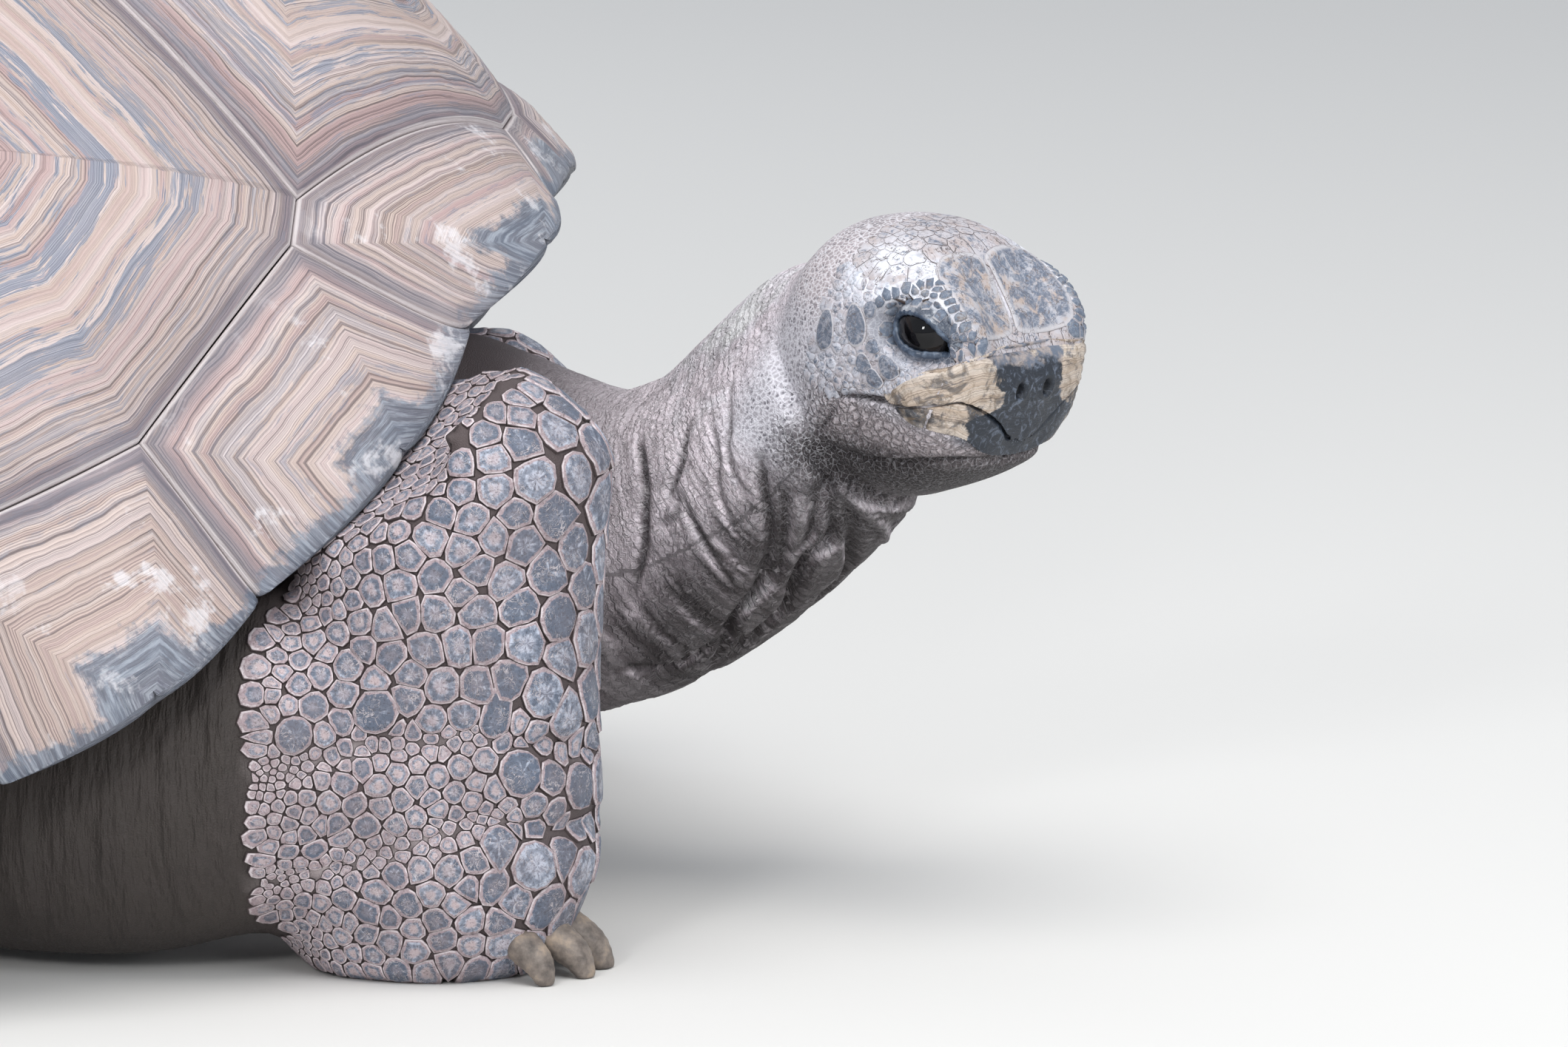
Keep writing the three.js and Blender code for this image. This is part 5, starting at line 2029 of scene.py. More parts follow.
@dataclass
class Beak:
    """The horn of both jaws, laid over the skin. Millimetres in the head's frame."""

    horn: bpy.types.Material
    upper: tuple[tuple[float, float], ...] = (
        (-12.6, -25.0), (-10.8, -22.4), (-5.9, -17.3), (2.4, -11.6), (10.8, -7.9), (18.5, -2.9), (24.0, -0.8),
        (34.0, -1.4), (48.0, -2.6), (60.0, -4.0), (60.0, -38.0), (45.0, -37.6), (41.0, -36.2), (38.2, -32.0),
        (35.6, -28.0), (32.6, -24.8), (28.6, -21.8), (24.3, -19.9), (19.1, -19.0), (12.1, -21.4),
        (3.6, -24.5),
        (-4.0, -27.2), (-9.5, -28.0),
    )
    lower: tuple[tuple[float, float], ...] = (
        (-6.0, -29.0), (-3.6, -28.3), (3.6, -25.5), (12.1, -22.4), (19.1, -20.1), (24.3, -21.0),
        (28.2, -22.9),
        (31.8, -25.7), (34.6, -29.0), (37.2, -33.0), (40.2, -37.4), (45.0, -39.0), (60.0, -39.4),
        (60.0, -43.4),
        (39.0, -42.6), (31.7, -39.6), (26.2, -35.4), (20.3, -33.0), (11.7, -32.8), (3.6, -32.4),
        (-2.6, -31.2),
    )
    slide: float = 0.5
    slate_from: tuple[tuple[float, ...], tuple[float, ...]] = (
        (-38, -34, -28, -23, -21, -15.6, -9.3, -3.5, 2), (24, 25, 23, 31, 33.5, 34.5, 31, 27, 25),
    )

    def prism(self, outline: Sequence[tuple[float, float]], name: str) -> bpy.types.Object:
        """An outline drawn through the head from side to side.

        Args:
            outline: its points, ahead and up, in mm.
            name: the object's name.

        Returns:
            The closed mesh.
        """
        flat = closed_curve(outline, 6 * len(outline))
        count = len(flat)
        rows = [np.stack([flat[:, 0], np.full(count, y), flat[:, 1]], axis=1) for y in (-70.0, 70.0)]
        faces: list[list[int]] = [list(range(count)), list(range(2 * count - 1, count - 1, -1))]
        faces += [[k, (k + 1) % count, count + (k + 1) % count, count + k] for k in range(count)]
        piece = mesh_from(name, HEAD.out(np.concatenate(rows)), faces)
        face_outward(piece)
        return piece

    def unroll(self, piece: bpy.types.Object, way: int) -> None:
        """Slides points ahead the nearer they lie to the head's middle, or back again.

        Args:
            piece: the mesh.
            way: 1 to slide them ahead and -1 to slide them back.
        """
        local = HEAD.into(places_of(piece))
        local[:, 0] += way * self.slide * (30 - np.abs(local[:, 1]))
        move_to(piece, HEAD.out(local))

    def band(self, name: str, outline: Sequence[tuple[float, float]], grow: float) -> bpy.types.Object:
        """A band of horn as wide as an outline, grown a little over the skin.

        Args:
            name: the object's name.
            outline: its points, ahead and up, in mm.
            grow: how far it stands over the skin, in mm.

        Returns:
            The band.
        """
        piece = SKULL.body(name, grow, 150, 180)
        core = SKULL.body("core", -3.4, 120, 140)
        tool = self.prism(outline, "cutter")
        self.unroll(piece, 1)
        self.unroll(core, 1)
        for how, other in (("INTERSECT", tool), ("DIFFERENCE", core)):
            finish_with(piece, "BOOLEAN", operation=how, object=other, solver="MANIFOLD")
            bpy.data.objects.remove(other)
        self.unroll(piece, -1)
        remesh(piece, 0.62 * MM)
        finish_with(piece, "SMOOTH", factor=0.5, iterations=4)
        alone(piece)
        bpy.ops.object.shade_smooth()
        return piece

    def carve(self, piece: bpy.types.Object, border: Array, seed: int) -> None:
        """Rings, dents and waves of the horn, running along its border.

        Args:
            piece: the band.
            border: the border that its rings follow.
            seed: picks the waves.
        """
        places = places_of(piece)
        normals = normals_of(piece)
        local = HEAD.into(places)
        flat = np.stack([local[:, 0] + self.slide * (30 - np.abs(local[:, 1])), local[:, 2]], axis=1)
        gap, _ = polyline_distance(flat, border)
        wave = noise(np.stack([flat[:, 0], flat[:, 1], 0.4 * np.abs(local[:, 1])], axis=1), 7, seed)
        rings = np.sin(gap * 2.1 + 1.6 * wave) * smooth(gap, 0.8, 2.5) * (1 - smooth(flat[:, 0], 20, 30))
        lift = 0.16 * rings + 0.35 * wave
        lift += 0.45 * bell(gap, 2.4, 1.8) * (1 - smooth(flat[:, 0], 12, 20))
        lift -= 1.3 * (1 - smooth(flat[:, 0], -14, 0)) + 0.9 * (1 - smooth(gap, 0.0, 1.8)) * (seed == 3)
        notch = bell(flat[:, 0], 10.9 + 0.15 * (flat[:, 1] + 15), 0.9) * smooth(-flat[:, 1], 9, 14)
        lift -= 1.0 * notch
        flush = smooth(flat[:, 0], 17, 23)
        lift -= 1.0 * flush * (1 - smooth(gap, 0.2, 3.0)) * (seed == 3)
        hole = np.hypot(np.abs(local[:, 1]) - NOSTRIL[0], (flat[:, 1] - NOSTRIL[1]) * 0.85)
        hole = np.where(local[:, 0] > 18, hole, 99.0)
        lift -= 3.7 * np.exp(-((hole / 2.2) ** 4)) - 0.6 * bell(hole, 3.6, 1.1)
        ahead = normals @ (HEAD.turn @ np.array([0.45, 0, 0]))
        sideways = np.abs(normals @ (HEAD.turn @ [0, 1.0, 0]))
        outside = (ahead + sideways) > 0.2
        places += normals * (lift * outside * MM)[:, None]
        move_to(piece, places)
        note(piece, "ring", gap)
        start = np.interp(flat[:, 1], self.slate_from[0], self.slate_from[1])
        note(piece, "tip", smooth(flat[:, 0] - start, -4.0, 4.0))
        note(piece, "low", smooth(-flat[:, 1], 2, 11))
        # hole: where the nostrils open, which the material paints black as painted shade
        note(piece, "hole", np.exp(-((hole / 2.3) ** 4)))
        note(piece, "jaw", np.full(len(flat), float(seed == 8)))

    def build(self) -> None:
        """Makes both jaws' horn."""
        top = np.array(self.upper[:10])
        piece = self.band("upper_beak_horn", self.upper, 0.9)
        self.carve(piece, top, 3)
        dress(piece, self.horn, "beak", "upper_beak")
        under = np.array(self.lower[13:] + self.lower[:1])
        piece = self.band("lower_beak_horn", self.lower, 0.6)
        self.carve(piece, under, 8)
        dress(piece, self.horn, "beak")


# ------------------------------------------------------------------ claws
@dataclass(frozen=True)
class Fan:
    """The claws of one foot. Millimetres and degrees."""

    middle: tuple[float, float]
    reach: tuple[float, float]
    turn: float
    spread: float
    count: int


FANS: dict[str, Fan] = {
    "right_fore": Fan((474, -207), (53, 43), 0, 46, 5),
    "left_fore": Fan((438, 210), (51, 43), 8, 46, 5),
    "left_hind": Fan((-392, 255), (48, 46), 60, 42, 4),
    "right_hind": Fan((-392, -255), (48, 46), -60, 42, 4),
}


@dataclass
class Claws:
    """The blunt claws: one is modelled, and the others are copies of it. Millimetres."""

    horn: bpy.types.Material
    length: float = 31.0
    half_width: float = 8.8
    pitch: float = 32.0
    height: float = 10.0

    def model(self) -> bpy.types.Object:
        """One claw, pointing ahead from its root.

        Returns:
            The claw.
        """
        bpy.ops.object.select_all(action="DESELECT")
        bpy.ops.mesh.primitive_cube_add(size=2)
        claw = bpy.context.object
        claw.name = claw.data.name = "claw"
        edit(claw, lambda: bpy.ops.mesh.subdivide(number_cuts=5, smoothness=0.0))
        p = places_of(claw)
        length = np.maximum(np.linalg.norm(p, axis=1, keepdims=True), 1e-9)
        most = np.abs(p).max(axis=1, keepdims=True)
        ball = p / length * most
        share = ball[:, 0]
        taper = 1.0 - 0.30 * smooth(share, -0.4, 1.0)
        from_middle = np.minimum(np.abs(share), 0.999)
        taper = taper * np.sqrt((1 - from_middle ** 5) / (1 - from_middle ** 2))
        x = share * self.length / 2
        y = ball[:, 1] * self.half_width * taper
        z = ball[:, 2] * self.half_width * taper * np.where(ball[:, 2] < 0, 0.72, 1.0)
        z -= 4.0 * smooth(share, 0.1, 1.0) ** 1.4
        move_to(claw, np.stack([x, y, z], axis=1) * MM)
        finish_with(claw, "SUBSURF", levels=2, render_levels=2)
        p = places_of(claw) / MM
        n = normals_of(claw)
        rings = 0.10 * np.sin(p[:, 0] * 1.9 + 1.2 * noise(p, 9, 4)) + 0.16 * noise(p, 5, 7)
        blunt = 0.8 * bell(p[:, 0], self.length / 2, 4) * noise(p, 7, 9)
        move_to(claw, (p + n * (rings + blunt)[:, None]) * MM)
        alone(claw)
        bpy.ops.object.shade_smooth()
        return claw

    def build(self) -> None:
        """Makes every foot's claws."""
        pattern = self.model()
        shape = places_of(pattern)
        for foot, fan in FANS.items():
            for k in range(fan.count):
                offset = -fan.spread + 2 * fan.spread * k / (fan.count - 1)
                a = math.radians(fan.turn + offset)
                yaw = math.radians(fan.turn + 0.8 * offset)
                size = 1.0 - 0.16 * abs(k - (fan.count - 1) / 2) / 2 + 0.05 * math.sin(3.3 * k + fan.turn)
                place = (
                    fan.middle[0] + fan.reach[0] * math.cos(a), fan.middle[1] + fan.reach[1] * math.sin(a),
                    self.height,
                )
                down = math.radians(self.pitch)
                ahead = np.array([math.cos(yaw) * math.cos(down), math.sin(yaw) * math.cos(down),
                                  -math.sin(down)])
                left = np.array([-math.sin(yaw), math.cos(yaw), 0.0])
                axes = np.stack([ahead, left, np.cross(ahead, left)])
                turned = shape @ (axes * size) + np.array(place) * MM
                turned[:, 2] = np.maximum(turned[:, 2], 0.0004)
                alone(pattern)
                bpy.ops.object.duplicate()
                claw = bpy.context.object
                claw.name = claw.data.name = f"{foot}_claw_{k + 1}"
                move_to(claw, turned)
                dress(claw, self.horn, "beak")
        bpy.data.objects.remove(pattern)


# ------------------------------------------------------------------ scales
def chart(places: Array) -> Array:
    """Lays the skin out flat: a place on a square for each point of the skin.

    Each limb, the tail and the neck with the head have a tile of their own, with the angle
    round the part across it and the way along the part up it.

    Args:
        places: points of the skin, in metres.

    Returns:
        One place from 0 to 1 across and up for each point.
    """
    p = places / MM
    fore, left = p[:, 0] > 0, p[:, 1] > 0
    axis = np.stack([np.where(fore, np.where(left, 445, 476), -390),
                     np.where(left, 1, -1) * np.where(fore, 206, 252)], axis=1)
    tile = np.where(fore, 0, 2) + left
    off = p[:, :2] - axis
    angle = np.arctan2(off[:, 1], off[:, 0]) / (2 * np.pi) + 0.5
    up = np.clip((p[:, 2] + 0.25 * np.hypot(off[:, 0], off[:, 1])) / 420, 0, 1)
    tail = (p[:, 0] < -400) & (np.abs(p[:, 1] - 40) < 90)
    tile = np.where(tail, 4, tile)
    angle = np.where(tail, np.arctan2(p[:, 2] - 45, p[:, 1] - 40) / (2 * np.pi) + 0.5, angle)
    up = np.where(tail, np.clip((-p[:, 0] - 380) / 180, 0, 1), up)
    local = HEAD.into(places)
    front = (np.abs(p[:, 1] + 70) < 82) & (p[:, 0] > 430)
    tile = np.where(front, 5, tile)
    angle = np.where(front, np.arctan2(local[:, 2] + 22, local[:, 1]) / (2 * np.pi) + 0.5, angle)
    up = np.where(front, np.clip((local[:, 0] + 260) / 300, 0, 1), up)
    return np.stack([(tile % 3 + 0.02 + 0.96 * angle) / 3, (tile // 3 + 0.02 + 0.96 * up) / 2], axis=1)


@dataclass(frozen=True)
class BigScale:
    """A large scale, given one by one. Millimetres, and degrees from upright."""

    place: Point
    long: float
    wide: float
    turn: float = 0.0


@dataclass
class SkinFaces:
    """The finished skin, as its triangles and a search tree."""

    skin: bpy.types.Object

    def __post_init__(self) -> None:
        """Reads the mesh."""
        data = self.skin.data
        self.points = places_of(self.skin)
        corners = np.empty(len(data.loops), np.int32)
        data.loops.foreach_get("vertex_index", corners)
        self.faces = corners.reshape(-1, 3)
        a, b, c = (self.points[self.faces[:, k]] for k in range(3))
        cross = np.cross(b - a, c - a)
        self.areas = np.linalg.norm(cross, axis=1) / 2
        self.normals = unit(cross)
        self.middles = (a + b + c) / 3
        self.tree = BVHTree.FromPolygons(self.points.tolist(), self.faces.tolist())

    def sample(self, chosen: Array, count: int, rng: np.random.Generator) -> tuple[Array, Array]:
        """Random points of some of the faces, and their directions.

        Args:
            chosen: True for each face to use.
            count: how many points.
            rng: makes the random draws.

        Returns:
            The points, and the direction at each.
        """
        index = np.nonzero(chosen)[0]
        share = self.areas[index] / self.areas[index].sum()
        pick = rng.choice(index, count, p=share)
        s, t = rng.random((2, count))
        flip = s + t > 1
        s, t = np.where(flip, 1 - s, s)[:, None], np.where(flip, 1 - t, t)[:, None]
        a, b, c = (self.points[self.faces[pick, k]] for k in range(3))
        return a + s * (b - a) + t * (c - a), self.normals[pick]

    def settle(self, places: Array) -> tuple[Array, Array]:
        """The nearest points of the skin, and its directions there."""
        hits = [self.tree.find_nearest(place) for place in places.tolist()]
        return np.array([h[0] for h in hits]), np.array([h[1] for h in hits])


@dataclass
class ScaleBed:
    """A bed of scales that meet like paving, each a low domed plate over the skin. Millimetres."""

    name: str
    covers: Callable[[Array, Array], Array]
    half_size: Callable[[Array, Array], Array]
    seed: int
    big: tuple[BigScale, ...] = ()
    groove: float = 0.12
    height: float = 1.35
    corners: int = 12
    crowd: float = 0.84
    snug: float = 24.0
    rounds: int = 6
    unlike: float = 0.16
    profile: tuple[tuple[float, float], ...] = ((1.0, -0.5), (0.99, 0.35), (0.88, 0.90), (0.64, 1.0))
    dish: float = 0.86
    bare: tuple[tuple[Point, ...], ...] = ()
    bare_half: float = 0.8

    def scatter(self, skin: SkinFaces) -> tuple[Array, Array, Array]:
        """Spreads the scales' middles over the bed, the largest first.

        Args:
            skin: the skin below.

        Returns:
            Their places in metres, the skin's directions there and their half sizes in millimetres.
        """
        rng = np.random.default_rng(self.seed)
        chosen = self.covers(skin.middles / MM, skin.normals)
        wanted = np.clip(self.half_size(skin.middles / MM, skin.normals), 0.8, 20)
        expected = (skin.areas[chosen] / MM**2 / (3.3 * wanted[chosen] ** 2)).sum()
        places, normals = skin.sample(chosen, int(expected * 26), rng)
        sizes = np.clip(self.half_size(places / MM, normals), 0.8, 20)
        thin = rng.random(len(places)) < np.clip((sizes.min() / sizes) ** 1.2 * 2.2, 0.15, 1)
        places, normals, sizes = places[thin], normals[thin], sizes[thin]
        sizes *= rng.uniform(1 - self.unlike, 1 + self.unlike, len(sizes))
        order = np.argsort(-sizes + rng.uniform(0, 0.25, len(sizes)) * sizes)
        kept = np.zeros((len(self.big) + len(places), 3))
        radii = np.zeros(len(kept))
        count = len(self.big)
        if self.big:
            spots, _ = skin.settle(np.array([b.place for b in self.big]) * MM)
            kept[:count] = spots / MM
            radii[:count] = [math.sqrt(b.long * b.wide) for b in self.big]
        at = places / MM
        for i in order:
            gap = ((kept[:count] - at[i]) ** 2).sum(axis=1) - (self.crowd * (radii[:count] + sizes[i])) ** 2
            if count == 0 or gap.min() > 0:
                kept[count], radii[count] = at[i], sizes[i]
                count += 1
        kept, radii = kept[:count], radii[:count]
        for _ in range(self.rounds):
            total, hits = kept.copy() * 0.5, np.full(count, 0.5)
            for block in np.array_split(at, max(1, len(at) // 2500)):
                reach = ((block[:, None] - kept[None]) ** 2).sum(axis=2) - radii[None] ** 2
                owner = reach.argmin(axis=1)
                np.add.at(total, owner, block)
                np.add.at(hits, owner, 1)
            moved = total / hits[:, None]
            moved[: len(self.big)] = kept[: len(self.big)]
            kept = moved
        spots, directions = skin.settle(kept * MM)
        return spots, directions, radii

    def outlines(self, spots: Array, across: Array, along: Array, radii: Array, angles: Array) -> Array:
        """How far each scale reaches at each angle, up to its neighbours.

        Args:
            spots: the scales' middles, in millimetres.
            across: a direction along the skin at each.
            along: the direction square to it.
            radii: their half sizes.
            angles: the angles to read.

        Returns:
            One row of lengths for each scale.
        """
        around = 14
        reach = np.empty((len(spots), len(angles)))
        lines = [resample(line, 60) for line in self.bare]
        others = np.concatenate([spots, *lines])
        widths = np.concatenate([radii, np.full(len(others) - len(spots), self.bare_half)])
        for block in np.array_split(np.arange(len(spots)), max(1, len(spots) // 500)):
            off = others[None] - spots[block][:, None]
            gap = np.maximum(np.linalg.norm(off, axis=2), 0.1)
            gap[np.arange(len(block)), block] = 1e6
            near = np.argsort(gap - widths[None], axis=1)[:, :around]
            rows = np.arange(len(block))[:, None]
            off, gap = off[rows, near], gap[rows, near]
            x = (off * across[block][:, None]).sum(axis=2)
            y = (off * along[block][:, None]).sum(axis=2)
            way = np.arctan2(y, x)
            mine = radii[block][:, None]
            border = (gap**2 + mine**2 - widths[near] ** 2) / (2 * gap)
            border = np.clip(border, 0.35 * mine, 4.0 * mine)
            facing = np.maximum(np.cos(angles[None, None] - way[:, :, None]), 0) / border[:, :, None]
            widest = (1 / (2.6 * mine)) ** self.snug
            reach[block] = ((facing**self.snug).sum(axis=1) + widest) ** (-1 / self.snug)
        return reach

    def build(self, skin: SkinFaces, finish: bpy.types.Material, slot: str) -> bpy.types.Object:
        """Makes all the bed's scales as one mesh.

        Args:
            skin: the skin below.
            finish: their material.
            slot: the record's slot.

        Returns:
            The new object.
        """
        rng = np.random.default_rng(self.seed + 1)
        spots, normals, radii = self.scatter(skin)
        count, around = len(spots), self.corners
        up = np.array([0.0, 0.0, 1.0]) + 0.02 * normals
        across = unit(np.cross(up, normals))
        along = unit(np.cross(normals, across))
        angles = np.arange(around) * 2 * np.pi / around
        rng.random(count)  # one unused draw for each scale keeps the draws after it as they are
        angles = np.tile(angles, (count, 1))
        reach = self.outlines(spots / MM, across, along, radii, angles[0])
        for k, big in enumerate(self.big):
            turned = angles[0] - math.radians(90 + big.turn)
            oval = 1 / np.sqrt((np.cos(turned) / big.long) ** 2 + (np.sin(turned) / big.wide) ** 2)
            reach[k] = 0.4 * oval + 0.6 * np.minimum(reach[k], 1.25 * oval)
        reach = reach * (1.045 + rng.normal(0, 0.018, reach.shape)) - self.groove / 2
        reach = np.maximum(reach, 0.3)
        profile = self.profile
        x = np.cos(angles) * reach
        y = np.sin(angles) * reach
        rows = [
            spots[:, None]
            + (across[:, None] * (x * s)[:, :, None] + along[:, None] * (y * s)[:, :, None]) * MM
            for s, _ in profile
        ]
        flat = np.concatenate([spots[:, None], *rows], axis=1).reshape(-1, 3)
        ground, facing = skin.settle(flat)
        own = np.repeat(normals, 1 + around * len(profile), axis=0)
        facing = unit(facing + 1.2 * own)
        tall = self.height * np.sqrt(np.clip(radii / 5, 0.15, 2.2)) * rng.uniform(0.75, 1.2, count)
        lift = np.empty((count, 1 + around * len(profile)))
        core = np.empty_like(lift)
        lift[:, 0], core[:, 0] = tall * self.dish, 0
        for k, (s, h) in enumerate(profile):
            part = slice(1 + k * around, 1 + (k + 1) * around)
            tilt = -0.22 * np.sin(angles[:1]) * s * (h > 0)
            lift[:, part] = tall[:, None] * (h + tilt * (h > 0)) if h > 0 else -0.5
            core[:, part] = s
        points = ground + facing * (lift.reshape(-1) * MM)[:, None]
        points[:, 2] = np.maximum(points[:, 2], 0.0)
        faces = self.faces(count, around, len(profile))
        piece = mesh_from(self.name, points, faces)
        note(piece, "core", core.reshape(-1))
        note(piece, "pick", np.repeat(rng.random(count), 1 + around * len(profile)))
        note(piece, "girth", np.repeat(radii, 1 + around * len(profile)))
        place = np.concatenate([np.zeros((count, 1, 2))] + [
            np.stack([np.cos(angles) * s + 0 * x, np.sin(angles) * s + 0 * y], axis=2) for s, _ in profile
        ], axis=1)
        note(piece, "east", place[:, :, 0].reshape(-1))
        note(piece, "north", place[:, :, 1].reshape(-1))
        spread = chart(spots)[:, None] + 0.0015 * place
        spread_out(piece, spread.reshape(-1, 2))
        dress(piece, finish, slot)
        log.info("%s: %d scales", self.name, count)
        return piece

    def faces(self, count: int, around: int, rings: int) -> list[list[int]]:
        """The faces of so many scales, each a fan in rings.

        Args:
            count: how many scales.
            around: how many points are in a ring.
            rings: how many rings are in a scale.

        Returns:
            The numbers of each face's points.
        """
        one = []
        for k in range(around):
            n = (k + 1) % around
            for ring in range(rings - 1):
                a, b = 1 + ring * around, 1 + (ring + 1) * around
                one.append([a + k, a + n, b + n, b + k])
            last = 1 + (rings - 1) * around
            one.append([last + k, last + n, 0])
        size = 1 + around * rings
        return [[v + i * size for v in face] for i in range(count) for face in one]


def plan_share(p: Array) -> Array:
    """How far out under the shell each point lies, seen from above: 1 is the rim.

    Args:
        p: the points, in mm.

    Returns:
        One number for each point.
    """
    ahead = p[:, 0] > DOME.crown_x
    reach = np.where(ahead, DOME.front - DOME.crown_x, DOME.rear + DOME.crown_x)
    n = np.where(ahead, DOME.front_power, DOME.rear_power)
    width = DOME.half_width * (1 - DOME.rear_swell * p[:, 0] / DOME.rear)
    along, across = np.abs(p[:, 0] - DOME.crown_x) / reach, np.abs(p[:, 1]) / width
    return (along**n + across**n) ** (1 / n)


LEG_CREASES: tuple[tuple[Point, ...], ...] = (
    ((405, -268, 78), (414, -266, 81), (433, -263, 85), (448, -254, 90), (470, -256, 92), (491, -253, 94),
     (510, -246, 90), (524, -232, 86), (530, -212, 84)),
    ((405, -254, 38), (413, -255, 39), (434, -250, 43), (453, -255, 49), (486, -255, 60), (502, -250, 62),
     (517, -240, 59),
     (530, -224, 56), (535, -206, 54)),
)
RIGHT_FORELEG_BIG = (
    BigScale((456, -254, 103), 9.5, 7.5, -55), BigScale((427, -263, 95.5), 8.5, 6.2, -35),
    BigScale((526, -230, 160), 9.0, 7.5, 5), BigScale((528, -230, 187), 10, 6.5, 5),
    BigScale((521, -236, 135), 9.5, 8, 0), BigScale((516, -241, 108), 9.5, 8.5, 0),
    BigScale((508, -246, 80), 9.5, 8.5, 0), BigScale((513, -243, 45), 10, 9, 0),
    BigScale((443, -258, 121), 6.2, 5.6, -40),
)


@dataclass
class LegScales:
    """The scales of the four legs and the tail."""

    finish: bpy.types.Material

    def on_leg(self, fore: bool, side: int) -> Callable[[Array, Array], Array]:
        """Which of the skin's faces one leg's scales cover."""

        def covers(p: Array, n: Array) -> Array:
            """True for the faces of the leg outside the shell.

            Args:
                p: the middles of faces, in mm.
                n: the directions of the faces.

            Returns:
                True for each face to cover.
            """
            inside = (138 if side < 0 else 168) if fore else 150
            own = (p[:, 1] * side > inside) & ((p[:, 0] > 280) if fore else (p[:, 0] < -250))
            if fore:
                behind = (413 if side < 0 else 374) + 0.42 * np.maximum(p[:, 2] - 120, 0)
                own &= (p[:, 0] > behind) & (p[:, 0] < 548)
            if fore and side < 0:
                for crease in LEG_CREASES:
                    own &= polyline_distance(p, np.array(crease))[0] > 1.0
            rim = DOME.rim_height(np.arctan2(p[:, 1] / DOME.half_width, (p[:, 0] - DOME.crown_x) / 525))
            seen = (plan_share(p) > 0.8) & (p[:, 2] < rim + 75)
            return own & seen & (p[:, 2] > 2.5) & (n[:, 2] > -0.75)

        return covers

    def fore_size(self, side: int) -> Callable[[Array, Array], Array]:
        """Half sizes on a foreleg: largest down its front, smallest behind."""

        def read(p: Array, n: Array) -> Array:
            """The half size at each place.

            Args:
                p: the places, in mm.
                n: the skin's directions there.

            Returns:
                Half sizes, in mm.
            """
            forward = n[:, 0] * 0.9 + 0.05
            size = 2.3 + 2.7 * smooth(forward, -0.75, 0.05) + 3.2 * smooth(forward, 0.25, 0.85)
            wrist = bell(p[:, 2], 72, 16) * (1 - smooth(n[:, 0], 0.3, 0.8))
            crease = 50.0
            if side < 0:
                crease = np.minimum(*(polyline_distance(p, np.array(c))[0] for c in LEG_CREASES))
            low = 1 - 0.32 * wrist - 0.12 * (1 - smooth(p[:, 2], 20, 60))
            inner = 1 - 0.3 * smooth(-n[:, 1] * side, 0.1, 0.8)
            top = 1 - 0.18 * smooth(p[:, 2], 190, 225)
            rear = 1 - 0.42 * (1 - smooth(p[:, 0] - (0 if side < 0 else -38), 414, 452))
            return size * low * inner * top * rear * (0.55 + 0.45 * smooth(crease, 3, 11))

        return read

    def hind_size(self, p: Array, n: Array) -> Array:
        """Half sizes on a hind leg."""
        size = 3.0 + 2.6 * smooth(p[:, 2], 75, 10) + 1.4 * smooth(-n[:, 0], 0.0, 0.8)
        return size

    def build(self, skin: SkinFaces) -> None:
        """Makes the beds.

        Args:
            skin: the skin's faces.
        """
        for name, fore, side, seed, big in (
            ("right_foreleg_scales", True, -1, 301, RIGHT_FORELEG_BIG),
            ("left_foreleg_scales", True, 1, 302, ()),
            ("right_hind_leg_scales", False, -1, 303, ()),
            ("left_hind_leg_scales", False, 1, 304, ()),
        ):
            size = self.fore_size(side) if fore else self.hind_size
            bare = LEG_CREASES if fore and side < 0 else ()
            bed = ScaleBed(name, self.on_leg(fore, side), size, seed, big, bare=bare)
            bed.build(skin, self.finish, "skin")
        tail = lambda p, n: (p[:, 0] < -425) & (np.abs(p[:, 1] - 45) < 80) & (p[:, 2] > 3)
        size = lambda p, n: 4.2 - 1.4 * smooth(p[:, 1], 20, 100)
        ScaleBed("tail_scales", tail, size, 305).build(skin, self.finish, "skin")


@dataclass(frozen=True)
class Shield:
    """One large scale of the head: its outline, or its middle and half sizes. Head millimetres."""

    outline: tuple[Point, ...] = ()
    middle: Point = (0, 0, 0)
    long: float = 0.0
    wide: float = 0.0
    turn: float = 0.0
    mirror_at: float = 0.0
    height: float = 0.6

    def line(self, side: int, steps: int) -> Array:
        """The closed outline on one side of the head, 1 for the left and -1 for the right.

        Args:
            side: 1 for the left and -1 for the right.
            steps: how many points to give back.

        Returns:
            One row for each step.
        """
        if self.outline:
            line = closed_curve(self.outline, steps)
        else:
            a = np.arange(steps) * 2 * np.pi / steps
            out = np.array(self.middle, float)
            around = math.radians(self.turn)
            x, z = self.long * np.cos(a), self.wide * np.sin(a)
            across = x * math.cos(around) - z * math.sin(around)
            above = x * math.sin(around) + z * math.cos(around)
            wave = 1 + 0.06 * np.sin(3 * a + self.middle[0])
            line = out + np.stack([across * wave, 0 * a, above * wave], axis=1)
        if side > 0:
            line = line * [1, -1, 1] + [0, 2 * self.mirror_at, 0]
        return line


